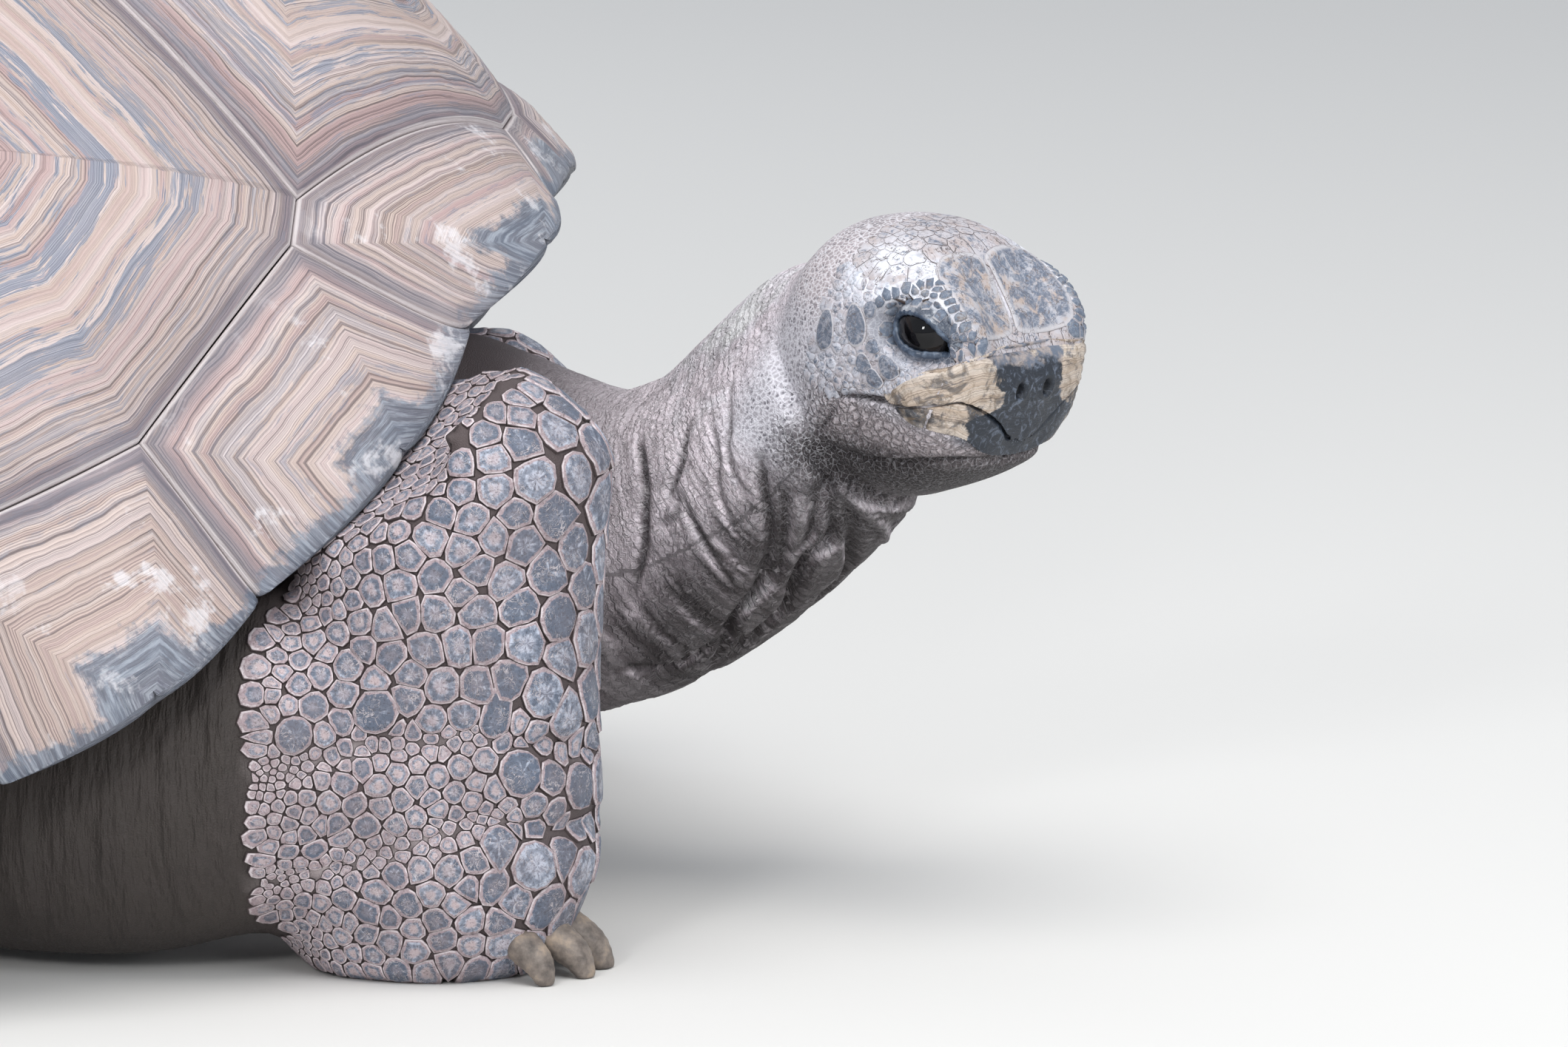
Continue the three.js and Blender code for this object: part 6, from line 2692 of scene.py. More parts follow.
FOREHEAD = -2.6
SHIELDS: tuple[Shield, ...] = (
    Shield(
        ((-8.5, -29, 20), (-11.6, -24.5, 22.5), (-12, -17.9, 24.2), (-11, -10, 24.6), (-8.1, -3.4, 23.3),
         (-3.2, -3.2, 19.6), (3.8, -3.2, 13.7), (10.5, -3.4, 7.6), (15.4, -3.8, 2.2), (17.4, -12.8, 1.6),
         (20.2, -26.6, 3.6), (18.5, -31.6, 5.4), (15.1, -33.2, 8.6), (10, -33.6, 12.4), (4, -33, 15.7),
         (-2.7, -31.8, 17.6)),
        mirror_at=FOREHEAD, height=0.5,
    ),
    Shield(middle=(-24.0, -47, -6.6), long=8.6, wide=4.6, turn=118, height=0.5),
    Shield(middle=(-13.9, -46.8, -10.6), long=3.5, wide=3.0, turn=40),
    Shield(middle=(-5.2, -46.1, -15.4), long=5.3, wide=4.4, turn=150, height=0.7),
    Shield(middle=(-15.7, -47.3, -18.7), long=4.6, wide=3.3, turn=140),
    Shield(middle=(-9.8, -46.8, -22.2), long=4.4, wide=3.2, turn=145, height=0.7),
    Shield(middle=(-20.6, -45.5, 1.6), long=3.6, wide=3.0, turn=100),
    Shield(middle=(-36.5, -48.4, -13.6), long=8.4, wide=4.6, turn=105, height=0.4),
    Shield(middle=(14.2, -38, 4.4), long=2.2, wide=1.5, turn=60, height=0.4),
    Shield(middle=(14.8, -37.6, -2.2), long=3.0, wide=1.7, turn=-20, height=0.4),
)


@dataclass
class HeadShields:
    """The large plates of the forehead, temples and jaw."""

    finish: bpy.types.Material
    shields: tuple[Shield, ...] = SHIELDS
    steps: int = 44
    profile: tuple[tuple[float, float], ...] = (
        (1.0, -0.6), (0.985, 0.35), (0.95, 0.8), (0.87, 1.0), (0.7, 1.02), (0.5, 0.98), (0.25, 0.95),
    )

    def build(self, skin: SkinFaces) -> None:
        """Makes them all as one mesh.

        Args:
            skin: the skin's faces.
        """
        rng = np.random.default_rng(411)
        points, cores, picks, girths, spreads = [], [], [], [], []
        lines = [(shield, side) for shield in self.shields for side in (-1, 1)]
        for shield, side in lines:
            line = shield.line(side, self.steps)
            ground, _ = skin.settle(HEAD.out(line))
            line = HEAD.into(ground)
            middle = line.mean(axis=0)
            rows = [middle[None] + (line - middle) * s for s, _ in self.profile] + [middle[None]]
            flat = np.concatenate(rows)
            core = np.concatenate([np.full(self.steps, s) for s, _ in self.profile] + [[0.0]])
            share = np.concatenate([np.full(self.steps, h) for _, h in self.profile] + [[0.95]])
            ground, facing = skin.settle(HEAD.out(flat))
            near = unit(np.cross(line[0] - middle, line[self.steps // 4] - middle))
            near *= np.sign(near @ (HEAD.into(ground[-1:] + facing[-1:] * MM) - HEAD.into(ground[-1:]))[0])
            facing = unit(facing + 0.3 * (HEAD.turn @ near))
            waves = 0.10 * noise(flat * MM, 3.2 * MM, 7) * (core < 0.9)
            points.append(ground + facing * ((shield.height * share + waves) * MM)[:, None])
            size = np.linalg.norm(line - middle, axis=1).mean()
            cores.append(core)
            picks.append(np.full(len(flat), rng.random()))
            girths.append(np.full(len(flat), size))
            a = np.arange(self.steps) * 2 * np.pi / self.steps
            ring = np.stack([np.cos(a), np.sin(a)], axis=1)
            own = np.concatenate([ring * s for s, _ in self.profile] + [[[0.0, 0.0]]])
            spreads.append(chart(ground[-1:]) + 0.0015 * own)
        faces = []
        total = len(self.profile) * self.steps + 1
        for index, (_, side) in enumerate(lines):
            for k in range(self.steps):
                n = (k + 1) % self.steps
                for ring in range(len(self.profile) - 1):
                    a, b = ring * self.steps, (ring + 1) * self.steps
                    faces.append([index * total + v for v in (a + k, a + n, b + n, b + k)])
                last = (len(self.profile) - 1) * self.steps
                faces.append([index * total + v for v in (last + k, last + n, total - 1)])
        piece = mesh_from("head_shields", np.concatenate(points), faces)
        note(piece, "core", np.concatenate(cores))
        note(piece, "pick", np.concatenate(picks))
        note(piece, "girth", np.concatenate(girths))
        spread_out(piece, np.concatenate(spreads))
        dress(piece, self.finish, "head_skin")


def spread_out(piece: bpy.types.Object, spread: Array) -> None:
    """Writes a piece's flat places as its map OFBake.

    Args:
        piece: the mesh.
        spread: two numbers for each point.
    """
    layer = piece.data.uv_layers.new(name="OFBake")
    corners = np.empty(len(piece.data.loops), np.int32)
    piece.data.loops.foreach_get("vertex_index", corners)
    layer.data.foreach_set("uv", spread[corners].astype(np.float32).ravel())


@dataclass
class HeadScales:
    """The small scales of the head: pebbles over the eyes, temple scales and crown plates."""

    pebble: bpy.types.Material
    crown: bpy.types.Material
    temple: bpy.types.Material

    def clear_of_shields(self, local: Array) -> Array:
        """True where no shield lies.

        Args:
            local: points in the head's frame, in mm.

        Returns:
            True for each point clear of them.
        """
        free = np.ones(len(local), bool)
        for shield in SHIELDS:
            for side in (-1, 1):
                line = shield.line(side, 32)
                middle = line.mean(axis=0)
                away = unit(middle - np.array([-5.0, -0.0, -20.0]))
                first = unit(np.cross(away, [0.0, 0.0, 1.0]))
                second = np.cross(first, away)
                near = np.linalg.norm(local - middle, axis=1) < 30
                off = local[near] - middle
                flat = np.stack([off @ first, off @ second], axis=1)
                ring = np.stack([(line - middle) @ first, (line - middle) @ second], axis=1)
                hit = (outside_by(flat, ring) < 0.7) & ((off @ away) > -14)
                free[np.nonzero(near)[0][hit]] = False
        return free

    def build(self, skin: SkinFaces) -> None:
        """Makes the beds.

        Args:
            skin: the skin's faces.
        """
        outline = closed_curve(SOCKET.opening, 48)

        def beyond_lid(local: Array) -> Array:
            """How far each point lies outside the eye's opening."""
            return outside_by(local[:, [0, 2]], outline)

        def eyelid(p: Array, n: Array) -> Array:
            """The pebbled band over each eye.

            Args:
                p: the middles of faces, in mm.
                n: the directions of the faces.

            Returns:
                True for each face to cover.
            """
            local = HEAD.into(p * MM)
            near = (np.abs(local[:, 0]) < 26) & (np.abs(local[:, 1]) > 26) & (np.abs(local[:, 2]) < 22)
            chosen = np.zeros(len(p), bool)
            part = local[near]
            e = beyond_lid(part)
            thick = 3.9 + 6.0 * smooth(part[:, 2], -3, 4) * (1 - 0.35 * smooth(-part[:, 0], 4, 14))
            chosen[near] = (e > 3.5) & (e < thick + 0.8) & (part[:, 2] > -5.5 + 0.2 * part[:, 0])
            return chosen & self.clear_of_shields(local)

        def temple(p: Array, n: Array) -> Array:
            """Behind and under the eye, down to the mouth.

            Args:
                p: the middles of faces, in mm.
                n: the directions of the faces.

            Returns:
                True for each face to cover.
            """
            local = HEAD.into(p * MM)
            x, y, z = local.T
            near = (x > -40) & (x < 24) & (np.abs(y) > 26) & (z > -34) & (z < 9)
            chosen = np.zeros(len(p), bool)
            part = local[near]
            e = beyond_lid(part)
            mouth = np.interp(part[:, 0], [-30, -16, -7, 2.5, 11, 16], [-36, -32, -28.5, -19.5, -12.5, -9.0])
            low = part[:, 2] > mouth + 1.2
            over = part[:, 2] < 9 - 0.15 * part[:, 0]
            upper = (part[:, 2] > -5.5 + 0.2 * part[:, 0]) & (e < 10.7)
            chosen[near] = (e > 4.2) & low & over & ~upper & (part[:, 0] < 20)
            return chosen & self.clear_of_shields(local)

        def crown(p: Array, n: Array) -> Array:
            """The top of the head.

            Args:
                p: the middles of faces, in mm.
                n: the directions of the faces.

            Returns:
                True for each face to cover.
            """
            local = HEAD.into(p * MM)
            x, _, z = local.T
            near = (x > -38) & (x < 24) & (z > 3)
            chosen = np.zeros(len(p), bool)
            part = local[near]
            e = np.where(np.abs(part[:, 1]) > 26, beyond_lid(part), 20)
            high = part[:, 2] > 8.8 - 0.15 * part[:, 0]
            chosen[near] = high & (e > 10.8)
            return chosen & self.clear_of_shields(local)

        def bridge(p: Array, n: Array) -> Array:
            """Between the forehead's plates and the horn of the snout.

            Args:
                p: the middles of faces, in mm.
                n: the directions of the faces.

            Returns:
                True for each face to cover.
            """
            local = HEAD.into(p * MM)
            x, y, z = local.T
            near = (x > 14) & (z > -8) & (z < 8) & (np.abs(y) < 40)
            border = np.interp(x, [14, 18.6, 22, 30], [-9.2, -3.6, -1.0, -1.5])
            near &= (z > border + 0.6) & ((np.abs(y) < 34) | (x > 17))
            e = np.where(np.abs(y) > 26, beyond_lid(local), 20)
            return near & (e > 5) & self.clear_of_shields(local)

        pebbles = lambda p, n: np.full(len(p), 1.6)
        small = lambda p, n: 1.15 + 0.7 * smooth(-HEAD.into(p * MM)[:, 0], 8, 30)
        plates = lambda p, n: 4.2 - 2.4 * smooth(-HEAD.into(p * MM)[:, 0], 8, 34)
        nose = lambda p, n: np.full(len(p), 1.9)
        rounded = ((1.0, -0.4), (0.9, 0.55), (0.6, 1.0))
        ScaleBed("eyelid_pebbles", eyelid, pebbles, 421, groove=0.45, height=1.5, corners=9, unlike=0.3,
                 profile=rounded, dish=1.05).build(skin, self.pebble, "head_skin")
        piece = ScaleBed("temple_scales", temple, small, 422, groove=0.2, height=0.42, corners=7, unlike=0.4,
                         profile=((1.0, -0.5), (0.9, 0.6), (0.55, 1.0)), dish=1.05,
                         ).build(skin, self.temple, "head_skin")
        note(piece, "chalk", brow_white(HEAD.into(places_of(piece))))
        ScaleBed("bridge_scales", bridge, nose, 424, groove=0.2, height=0.4, corners=10, unlike=0.3,
                 ).build(skin, self.crown, "head_skin")
        piece = ScaleBed("crown_plates", crown, plates, 423, groove=0.28, height=0.22, corners=16,
                         unlike=0.35,
                         profile=((1.0, -0.4), (0.97, 0.6), (0.9, 1.0), (0.6, 1.0)), dish=1.0,
                         ).build(skin, self.crown, "head_skin")
        note(piece, "chalk", brow_white(HEAD.into(places_of(piece))))


# ------------------------------------------------------------------ finishes
@dataclass(frozen=True)
class HornFinish:
    """Shell horn: rings of growth in tan, pink and slate, pale seams and a worn slate rim."""

    name: str
    pale: Colour = (0.62, 0.52, 0.50)
    tan: Colour = (0.54, 0.425, 0.375)
    rose: Colour = (0.47, 0.335, 0.325)
    slate: Colour = (0.115, 0.14, 0.20)
    dark: Colour = (0.085, 0.062, 0.068)
    seam: Colour = (0.58, 0.53, 0.53)
    roughness: float = 0.52

    def make(self) -> bpy.types.Material:
        """Builds the material.

        Returns:
            The material.
        """
        p = Paint(self.name)
        growth, plate, seam, rim = p.read("growth"), p.read("plate"), p.read("seam"), p.read("rim")
        drift = p.math("MULTIPLY", p.math("SUBTRACT", p.noise(22, 3), 0.5), 7.0)
        year = p.math("ADD", p.math("ADD", growth, drift), p.math("MULTIPLY", plate, 40.0))
        streak_at = p.vector(p.math("MULTIPLY", year, 0.5), p.math("MULTIPLY", p.read("course"), 0.06), plate)
        streak = p.noise(1.0, 6, streak_at, 0.68)
        wide = p.line_noise(year, 0.075, 2)
        fine = p.line_noise(year, 0.55, 3, 0.7)
        hair = p.line_noise(year, 2.4, 2, 0.7)
        colour = p.ramp(wide, [(0.3, self.rose), (0.45, self.tan), (0.56, self.pale), (0.7, self.rose)])
        closer = p.ease(p.math("ADD", seam, p.math("MULTIPLY", p.math("SUBTRACT", wide, 0.5), 30.0)), 52.0,
                        14.0)
        groups = p.math("MAXIMUM", p.ease(p.line_noise(year, 0.045, 2), 0.46, 0.62, 0.0, 0.75), closer)
        lines = p.ease(fine, 0.53, 0.36)
        colour = p.mix(p.math("MULTIPLY", lines, p.ease(groups, 0.0, 1.0, 0.16, 0.80)), colour, self.dark)
        thin = p.ease(hair, 0.56, 0.36)
        colour = p.mix(p.math("MULTIPLY", thin, p.ease(groups, 0.0, 1.0, 0.22, 0.5)), colour, self.dark)
        blue_line = p.line_noise(year, 0.06, 3, 0.62)
        flaked = p.math("MULTIPLY", p.math("SUBTRACT", streak, 0.5), 1.25)
        spread = p.math("MULTIPLY", p.math("SUBTRACT", p.noise(9, 3), 0.5), 0.55)
        blue = p.ease(p.math("ADD", p.math("ADD", blue_line, flaked), spread), 0.54, 0.63)
        sparse = p.ease(rim, 60.0, 130.0, 0.45, 0.86)
        blue = p.math("MULTIPLY", p.math("MULTIPLY", blue, sparse), p.ease(closer, 0.2, 1.0, 1.0, 0.55))
        colour = p.mix(blue, colour, p.mix(p.ease(hair, 0.4, 0.62), self.slate, (0.30, 0.33, 0.40)))
        border_noise = p.math("MULTIPLY", p.math("SUBTRACT", fine, 0.5), 5.0)
        border = p.ease(p.math("ADD", seam, border_noise), 5.0, 10.0, 0.55, 0.0)
        colour = p.mix(border, colour, p.mix(streak, self.slate, self.dark))
        edge = p.ease(p.math("ADD", seam, p.math("MULTIPLY", fine, 1.8)), 2.0, 3.2, 0.85, 0.0)
        colour = p.mix(edge, colour, self.seam)
        worn_noise = p.math("MULTIPLY", p.math("SUBTRACT", p.noise(62, 5, None, 0.72), 0.5), 34.0)
        worn = p.ease(p.math("ADD", rim, worn_noise), 6.0, 11.0, 0.86, 0.0)
        oldest = p.ease(p.math("ADD", growth, worn_noise), 25.0, 31.0, 0.86, 0.0)
        near_rim = p.ease(rim, 45.0, 85.0, 1.0, 0.0)
        worn = p.math("MAXIMUM", worn, p.math("MULTIPLY", oldest, near_rim))
        rubbed = p.mix(p.ease(streak, 0.42, 0.66), (0.085, 0.11, 0.155), (0.30, 0.34, 0.40))
        colour = p.mix(worn, colour, rubbed)
        chalky = p.math("MULTIPLY", p.ease(p.noise(38, 5, None, 0.7), 0.56, 0.66), p.ease(rim, 90.0, 40.0))
        colour = p.mix(p.math("MULTIPLY", chalky, 0.6), colour, (0.74, 0.72, 0.75))
        dust = p.ease(p.noise(9, 4), 0.5, 0.75, 0.0, 0.25)
        colour = p.mix(dust, colour, self.pale)
        height = p.math("ADD", p.math("MULTIPLY", fine, 0.7), p.math("MULTIPLY", hair, 0.25))
        height = p.math("ADD", height, p.math("MULTIPLY", streak, 0.3))
        normal = p.bump(height, 0.8, 0.0013)
        normal = p.bump(p.noise(900, 3), 0.25, 0.0003, normal)
        rough = p.ease(streak, 0.3, 0.7, self.roughness - 0.08, self.roughness + 0.12)
        p.surface(Base_Color=colour, Roughness=rough, Normal=normal, IOR=1.5)
        return p.material


@dataclass(frozen=True)
class HideFinish:
    """Bare tortoise skin: fine grains with dark dots, crossed pale scratches and creases, with painted shade
    in the creases and over the undersides.
    """

    name: str
    roughness: float = 0.72
    dot: Colour = (0.035, 0.04, 0.06)
    pit: Colour = (0.06, 0.045, 0.048)
    scratch: Colour = (0.66, 0.61, 0.63)

    def make(self) -> bpy.types.Material:
        """Builds the material.

        Returns:
            The material.
        """
        p = Paint(self.name)
        neck, loose = p.read("neck"), p.read("loose")
        warp = p.math("MULTIPLY", p.math("SUBTRACT", p.noise(90, 3), 0.5), 9.0)
        run, turn = p.math("ADD", p.read("run"), warp), p.read("turn")
        lines = p.noise(1.0, 4, p.vector(p.math("MULTIPLY", run, 0.55), p.math("MULTIPLY", turn, 0.035)), 0.6)
        valley = p.math("MULTIPLY", p.ease(lines, 0.50, 0.36), neck)
        grains = p.ease(p.cells(1050), 0.0, 0.28)
        specks = p.cells(520, None, "F1")
        patch = p.ease(p.noise(110, 4), 0.30, 0.52)
        dots = p.math("MULTIPLY", p.math("MULTIPLY", p.ease(specks, 0.40, 0.24), p.read("dots")), patch)
        cloud = p.noise(55, 5)
        colour = p.mix(p.ease(cloud, 0.35, 0.7, 0.0, 0.10), p.read_colour("tone"), self.pit)
        colour = p.mix(p.math("MULTIPLY", p.ease(grains, 0.5, 0.05), 0.12), colour, self.pit)
        colour = p.mix(p.math("MULTIPLY", dots, 0.62), colour, self.dot)
        colour = p.mix(p.math("MULTIPLY", valley, 0.16), colour, self.pit)
        colour = p.mix(p.math("MULTIPLY", p.read("ridge"), 0.30), colour, self.scratch)
        # painted shade: the pressed folds, wrinkles and nostrils are darkened by their depth
        colour = p.mix(p.math("MULTIPLY", p.read("crease"), 0.86), colour, (0.030, 0.023, 0.024))
        web = p.math("MULTIPLY", p.math("MAXIMUM", self.scratches(p, 28), self.scratches(p, -52)), neck)
        colour = p.mix(p.math("MULTIPLY", web, 0.55), colour, self.scratch)
        beads = p.cells(470)
        sunken = p.math("MULTIPLY", p.ease(beads, 0.10, 0.30), p.math("MULTIPLY", p.read("dots"), 0.42))
        colour = p.mix(sunken, colour, (0.16, 0.145, 0.17))
        lace = p.math("MULTIPLY", p.ease(beads, 0.11, 0.03), p.math("MULTIPLY", p.read("dots"), 0.65))
        colour = p.mix(lace, colour, (0.74, 0.73, 0.78))
        soft = p.vector(*(
            p.math("ADD", axis, p.math("MULTIPLY", p.noise(110, 4), 0.013)) for axis in self.axes(p)
        ))
        jowl = p.read("jowl")
        seams = p.cells(290, soft)
        colour = p.mix(p.math("MULTIPLY", p.ease(seams, 0.10, 0.02), p.math("MULTIPLY", jowl, 0.42)), colour,
                       self.pit)
        ring_at = p.vector(p.math("MULTIPLY", run, 0.24), p.math("MULTIPLY", turn, 0.022),
                           p.math("MULTIPLY", cloud, 1.2))
        rings = p.cells(1.0, ring_at)
        colour = p.mix(p.math("MULTIPLY", p.ease(rings, 0.075, 0.01), p.math("MULTIPLY", neck, 0.38)),
                       colour, self.pit)
        beside = p.math("MULTIPLY", p.ease(rings, 0.06, 0.12), p.ease(rings, 0.26, 0.14))
        colour = p.mix(p.math("MULTIPLY", beside, p.math("MULTIPLY", neck, 0.20)), colour, self.scratch)
        chalk = p.math("MULTIPLY", p.read("chalk"), p.ease(p.noise(130, 5, None, 0.65), 0.42, 0.62))
        colour = p.mix(p.math("MULTIPLY", chalk, 0.5), colour, (0.86, 0.88, 0.93))
        # painted shade: the undersides that the shade note marks are darkened further
        colour = p.mix(p.math("MULTIPLY", p.read("shade"), 0.6), colour, (0.018, 0.014, 0.014))
        height = p.math("ADD", p.math("MULTIPLY", grains, 0.5), p.math("MULTIPLY", dots, -0.5))
        normal = p.bump(height, 0.6, 0.00045)
        folds = p.noise(1.0, 4, p.vector(*(
            p.math("MULTIPLY", axis, k) for axis, k in zip(self.axes(p), (95, 24, 17))
        )))
        deep = p.math("ADD", p.math("MULTIPLY", lines, neck),
                      p.math("MULTIPLY", p.math("MULTIPLY", folds, loose), 3.0))
        deep = p.math("ADD", deep, p.math("MULTIPLY", web, 0.25))
        deep = p.math("ADD", deep,
                      p.math("MULTIPLY", p.ease(seams, 0.0, 0.22), p.math("MULTIPLY", jowl, 0.55)))
        deep = p.math("ADD", deep,
                      p.math("MULTIPLY", p.ease(rings, 0.0, 0.2), p.math("MULTIPLY", neck, 0.30)))
        normal = p.bump(deep, 0.8, 0.0035, normal)
        rough = p.ease(p.read("wet"), 0.2, 0.8, self.roughness, 0.3)
        p.surface(Base_Color=colour, Roughness=rough, Normal=normal)
        return p.material

    def scratches(self, p: Paint, slant: float) -> bpy.types.NodeSocket:
        """Short straight pale lines across the neck, at a slant in degrees.

        Args:
            p: the material being drawn.
            slant: the slant, in degrees.

        Returns:
            How strong the lines are.
        """
        sine, cosine = math.sin(math.radians(slant)), math.cos(math.radians(slant))
        run, turn = p.read("run"), p.read("turn")
        across = p.math("ADD", p.math("MULTIPLY", run, cosine), p.math("MULTIPLY", turn, sine))
        along = p.math("SUBTRACT", p.math("MULTIPLY", turn, cosine), p.math("MULTIPLY", run, sine))
        across = p.math("ADD", across, p.math("MULTIPLY", p.noise(30, 2), 10.0))
        line = p.noise(1.0, 2, p.vector(p.math("MULTIPLY", across, 0.30), p.math("MULTIPLY", along, 0.035),
                                        slant), 0.5)
        return p.ease(p.math("ABSOLUTE", p.math("SUBTRACT", line, 0.60)), 0.022, 0.004)

    def axes(self, p: Paint) -> tuple[bpy.types.NodeSocket, ...]:
        """The three coordinates of a point, apart.

        Args:
            p: the material being drawn.

        Returns:
            The three, x first.
        """
        node = p.tree.nodes.new("ShaderNodeSeparateXYZ")
        p.put(node.inputs[0], p.objects)
        return tuple(node.outputs)


@dataclass(frozen=True)
class ScaleFinish:
    """Scales: slate middles worn smooth and scratched, a rosy ring, a thin pale net and dark grooves."""

    name: str
    slate: Colour = (0.098, 0.122, 0.172)
    worn: Colour = (0.49, 0.53, 0.63)
    ring: Colour = (0.40, 0.315, 0.335)
    net: Colour = (0.72, 0.645, 0.665)
    groove: Colour = (0.030, 0.020, 0.020)
    roughness: float = 0.5

    def make(self) -> bpy.types.Material:
        """Builds the material.

        Returns:
            The material.
        """
        p = Paint(self.name)
        core, pick, girth = p.read("core"), p.read("pick"), p.read("girth")
        cloud = p.noise(330, 4, None, 0.6)
        reach = p.math("ADD", core, p.math("MULTIPLY", p.math("SUBTRACT", cloud, 0.5), 0.6))
        large = p.ease(girth, 4.0, 7.5)
        east, north = p.math("DIVIDE", p.read("east"), core), p.math("DIVIDE", p.read("north"), core)
        lane = p.math("ADD", p.math("MULTIPLY", pick, 60.0), p.math("MULTIPLY", core, 1.4))
        ray_at = p.vector(p.math("MULTIPLY", east, 2.3), p.math("MULTIPLY", north, 2.3), lane)
        rays = p.noise(1.0, 5, ray_at, 0.66)
        mixed = p.math("ADD", p.math("MULTIPLY", rays, 0.65),
                       p.math("MULTIPLY", p.noise(430, 5, None, 0.7), 0.35))
        lit = p.math("ADD", mixed, p.math("MULTIPLY", p.math("SUBTRACT", pick, 0.5), 0.16))
        centre = p.mix(p.ease(lit, 0.44, 0.64), self.slate, self.worn)
        warm = p.math("MULTIPLY", p.ease(reach, 0.52, 0.22), p.ease(pick, 0.25, 0.75, 0.25, 1.0))
        centre = p.mix(p.math("MULTIPLY", warm, p.ease(large, 0.0, 1.0, 1.0, 0.15)), centre,
                       (0.50, 0.40, 0.41))
        dark_ring = p.math("MULTIPLY", p.ease(reach, 0.38, 0.5), p.ease(reach, 0.74, 0.62))
        centre = p.mix(p.math("MULTIPLY", dark_ring, 0.6), centre, self.slate)
        inward = p.math("MULTIPLY", p.math("SUBTRACT", 1.0, core), p.math("ADD", girth, 0.6))
        ragged = p.math("ADD", inward, p.math("MULTIPLY", p.math("SUBTRACT", cloud, 0.5), 2.2))
        colour = p.mix(p.ease(ragged, 1.9, 1.3), centre, self.ring)
        wrinkle = p.noise(1150, 3, None, 0.6, 0.8)
        colour = p.mix(p.ease(wrinkle, 0.50, 0.34, 0.0, 0.55), colour, self.groove)
        swirl = p.math("ABSOLUTE", p.math("SUBTRACT", p.noise(210, 4, None, 0.6, 1.6), 0.5))
        scratch = p.math("MULTIPLY", p.ease(swirl, 0.028, 0.004), p.ease(p.noise(120, 2), 0.42, 0.6))
        colour = p.mix(p.math("MULTIPLY", scratch, 0.72), colour, self.net)
        net = p.math("MULTIPLY", p.ease(inward, 0.95, 0.65), p.ease(inward, 0.28, 0.42))
        net = p.math("MULTIPLY", net, p.ease(cloud, 0.38, 0.56, 0.05, 0.95))
        colour = p.mix(net, colour, self.net)
        colour = p.mix(p.ease(inward, 0.40, 0.22), colour, self.groove)
        tint = p.ease(p.noise(28, 3), 0.38, 0.66, 0.0, 0.30)
        colour = p.mix(tint, colour, (0.13, 0.095, 0.095))
        height = p.math("ADD", p.math("MULTIPLY", wrinkle, 0.6), p.math("MULTIPLY", cloud, 0.7))
        normal = p.bump(p.math("ADD", height, p.math("MULTIPLY", scratch, 0.4)), 0.7, 0.0007)
        p.surface(Base_Color=colour, Roughness=p.ease(core, 0.3, 0.9, self.roughness - 0.1, 0.72),
                  Normal=normal)
        return p.material


@dataclass(frozen=True)
class ShieldFinish:
    """Head plates: blue-grey and tan patches, a pale border and a thin dark line."""

    name: str
    tan: Colour = (0.40, 0.335, 0.30)
    pale: Colour = (0.42, 0.42, 0.46)
    blue: Colour = (0.095, 0.125, 0.18)
    edge: Colour = (0.52, 0.50, 0.52)
    line: Colour = (0.11, 0.085, 0.08)
    flecks: float = 130.0
    blueness: float = 0.0
    small_blue: float = 0.22
    rimmed: float = 0.8
    crack: float = 0.965
    dashes: float = 0.0

    def make(self) -> bpy.types.Material:
        """Builds the material.

        Returns:
            The material.
        """
        p = Paint(self.name)
        core, girth, pick = p.read("core"), p.read("girth"), p.read("pick")
        coarse = p.noise(self.flecks, 6, None, 0.68, 0.6)
        base = p.mix(p.ease(p.noise(150, 4), 0.4, 0.62), self.pale, self.tan)
        small = p.ease(girth, 12.0, 6.0, 0.0, self.small_blue)
        amount = p.math("ADD", p.math("ADD", coarse, small), self.blueness)
        amount = p.math("ADD", amount, p.math("MULTIPLY", p.math("SUBTRACT", pick, 0.5), 0.05))
        mottle = p.mix(p.ease(p.noise(520, 4, None, 0.7), 0.45, 0.7, 0.0, 0.6), self.blue, self.pale)
        colour = p.mix(p.ease(amount, 0.48, 0.60, 0.0, 0.92), base, mottle)
        rim = p.math("ADD", core, p.math("MULTIPLY", p.math("SUBTRACT", coarse, 0.5), 0.25))
        vein = p.math("ABSOLUTE", p.math("SUBTRACT", p.noise(150, 5, None, 0.62, 1.2), 0.5))
        colour = p.mix(p.ease(vein, 0.03, 0.005, 0.0, 0.5), colour, self.pale)
        chalk = p.math("MULTIPLY", p.read("chalk"), p.ease(p.noise(110, 5, None, 0.65), 0.34, 0.58))
        colour = p.mix(p.math("MULTIPLY", chalk, 0.85), colour, (0.80, 0.83, 0.91))
        colour = p.mix(p.ease(rim, 0.84, 0.93, 0.0, self.rimmed), colour, self.edge)
        stained = p.ease(p.noise(430, 5, None, 0.7, 0.5), 0.54, 0.64, 0.0, self.dashes)
        colour = p.mix(p.math("MULTIPLY", stained, p.ease(p.noise(60, 3), 0.40, 0.60)), colour, self.blue)
        split = p.math("ABSOLUTE", p.math("SUBTRACT", p.noise(95, 4, None, 0.6, 1.4), 0.5))
        colour = p.mix(p.ease(split, 0.014, 0.003, 0.0, 0.75), colour, self.line)
        colour = p.mix(p.ease(core, self.crack, self.crack + 0.03), colour, self.line)
        height = p.math("ADD", coarse, p.math("MULTIPLY", p.noise(800, 3), 0.4))
        normal = p.bump(height, 0.4, 0.0005)
        p.surface(Base_Color=colour, Roughness=p.ease(coarse, 0.4, 0.65, 0.6, 0.75), Normal=normal)
        return p.material


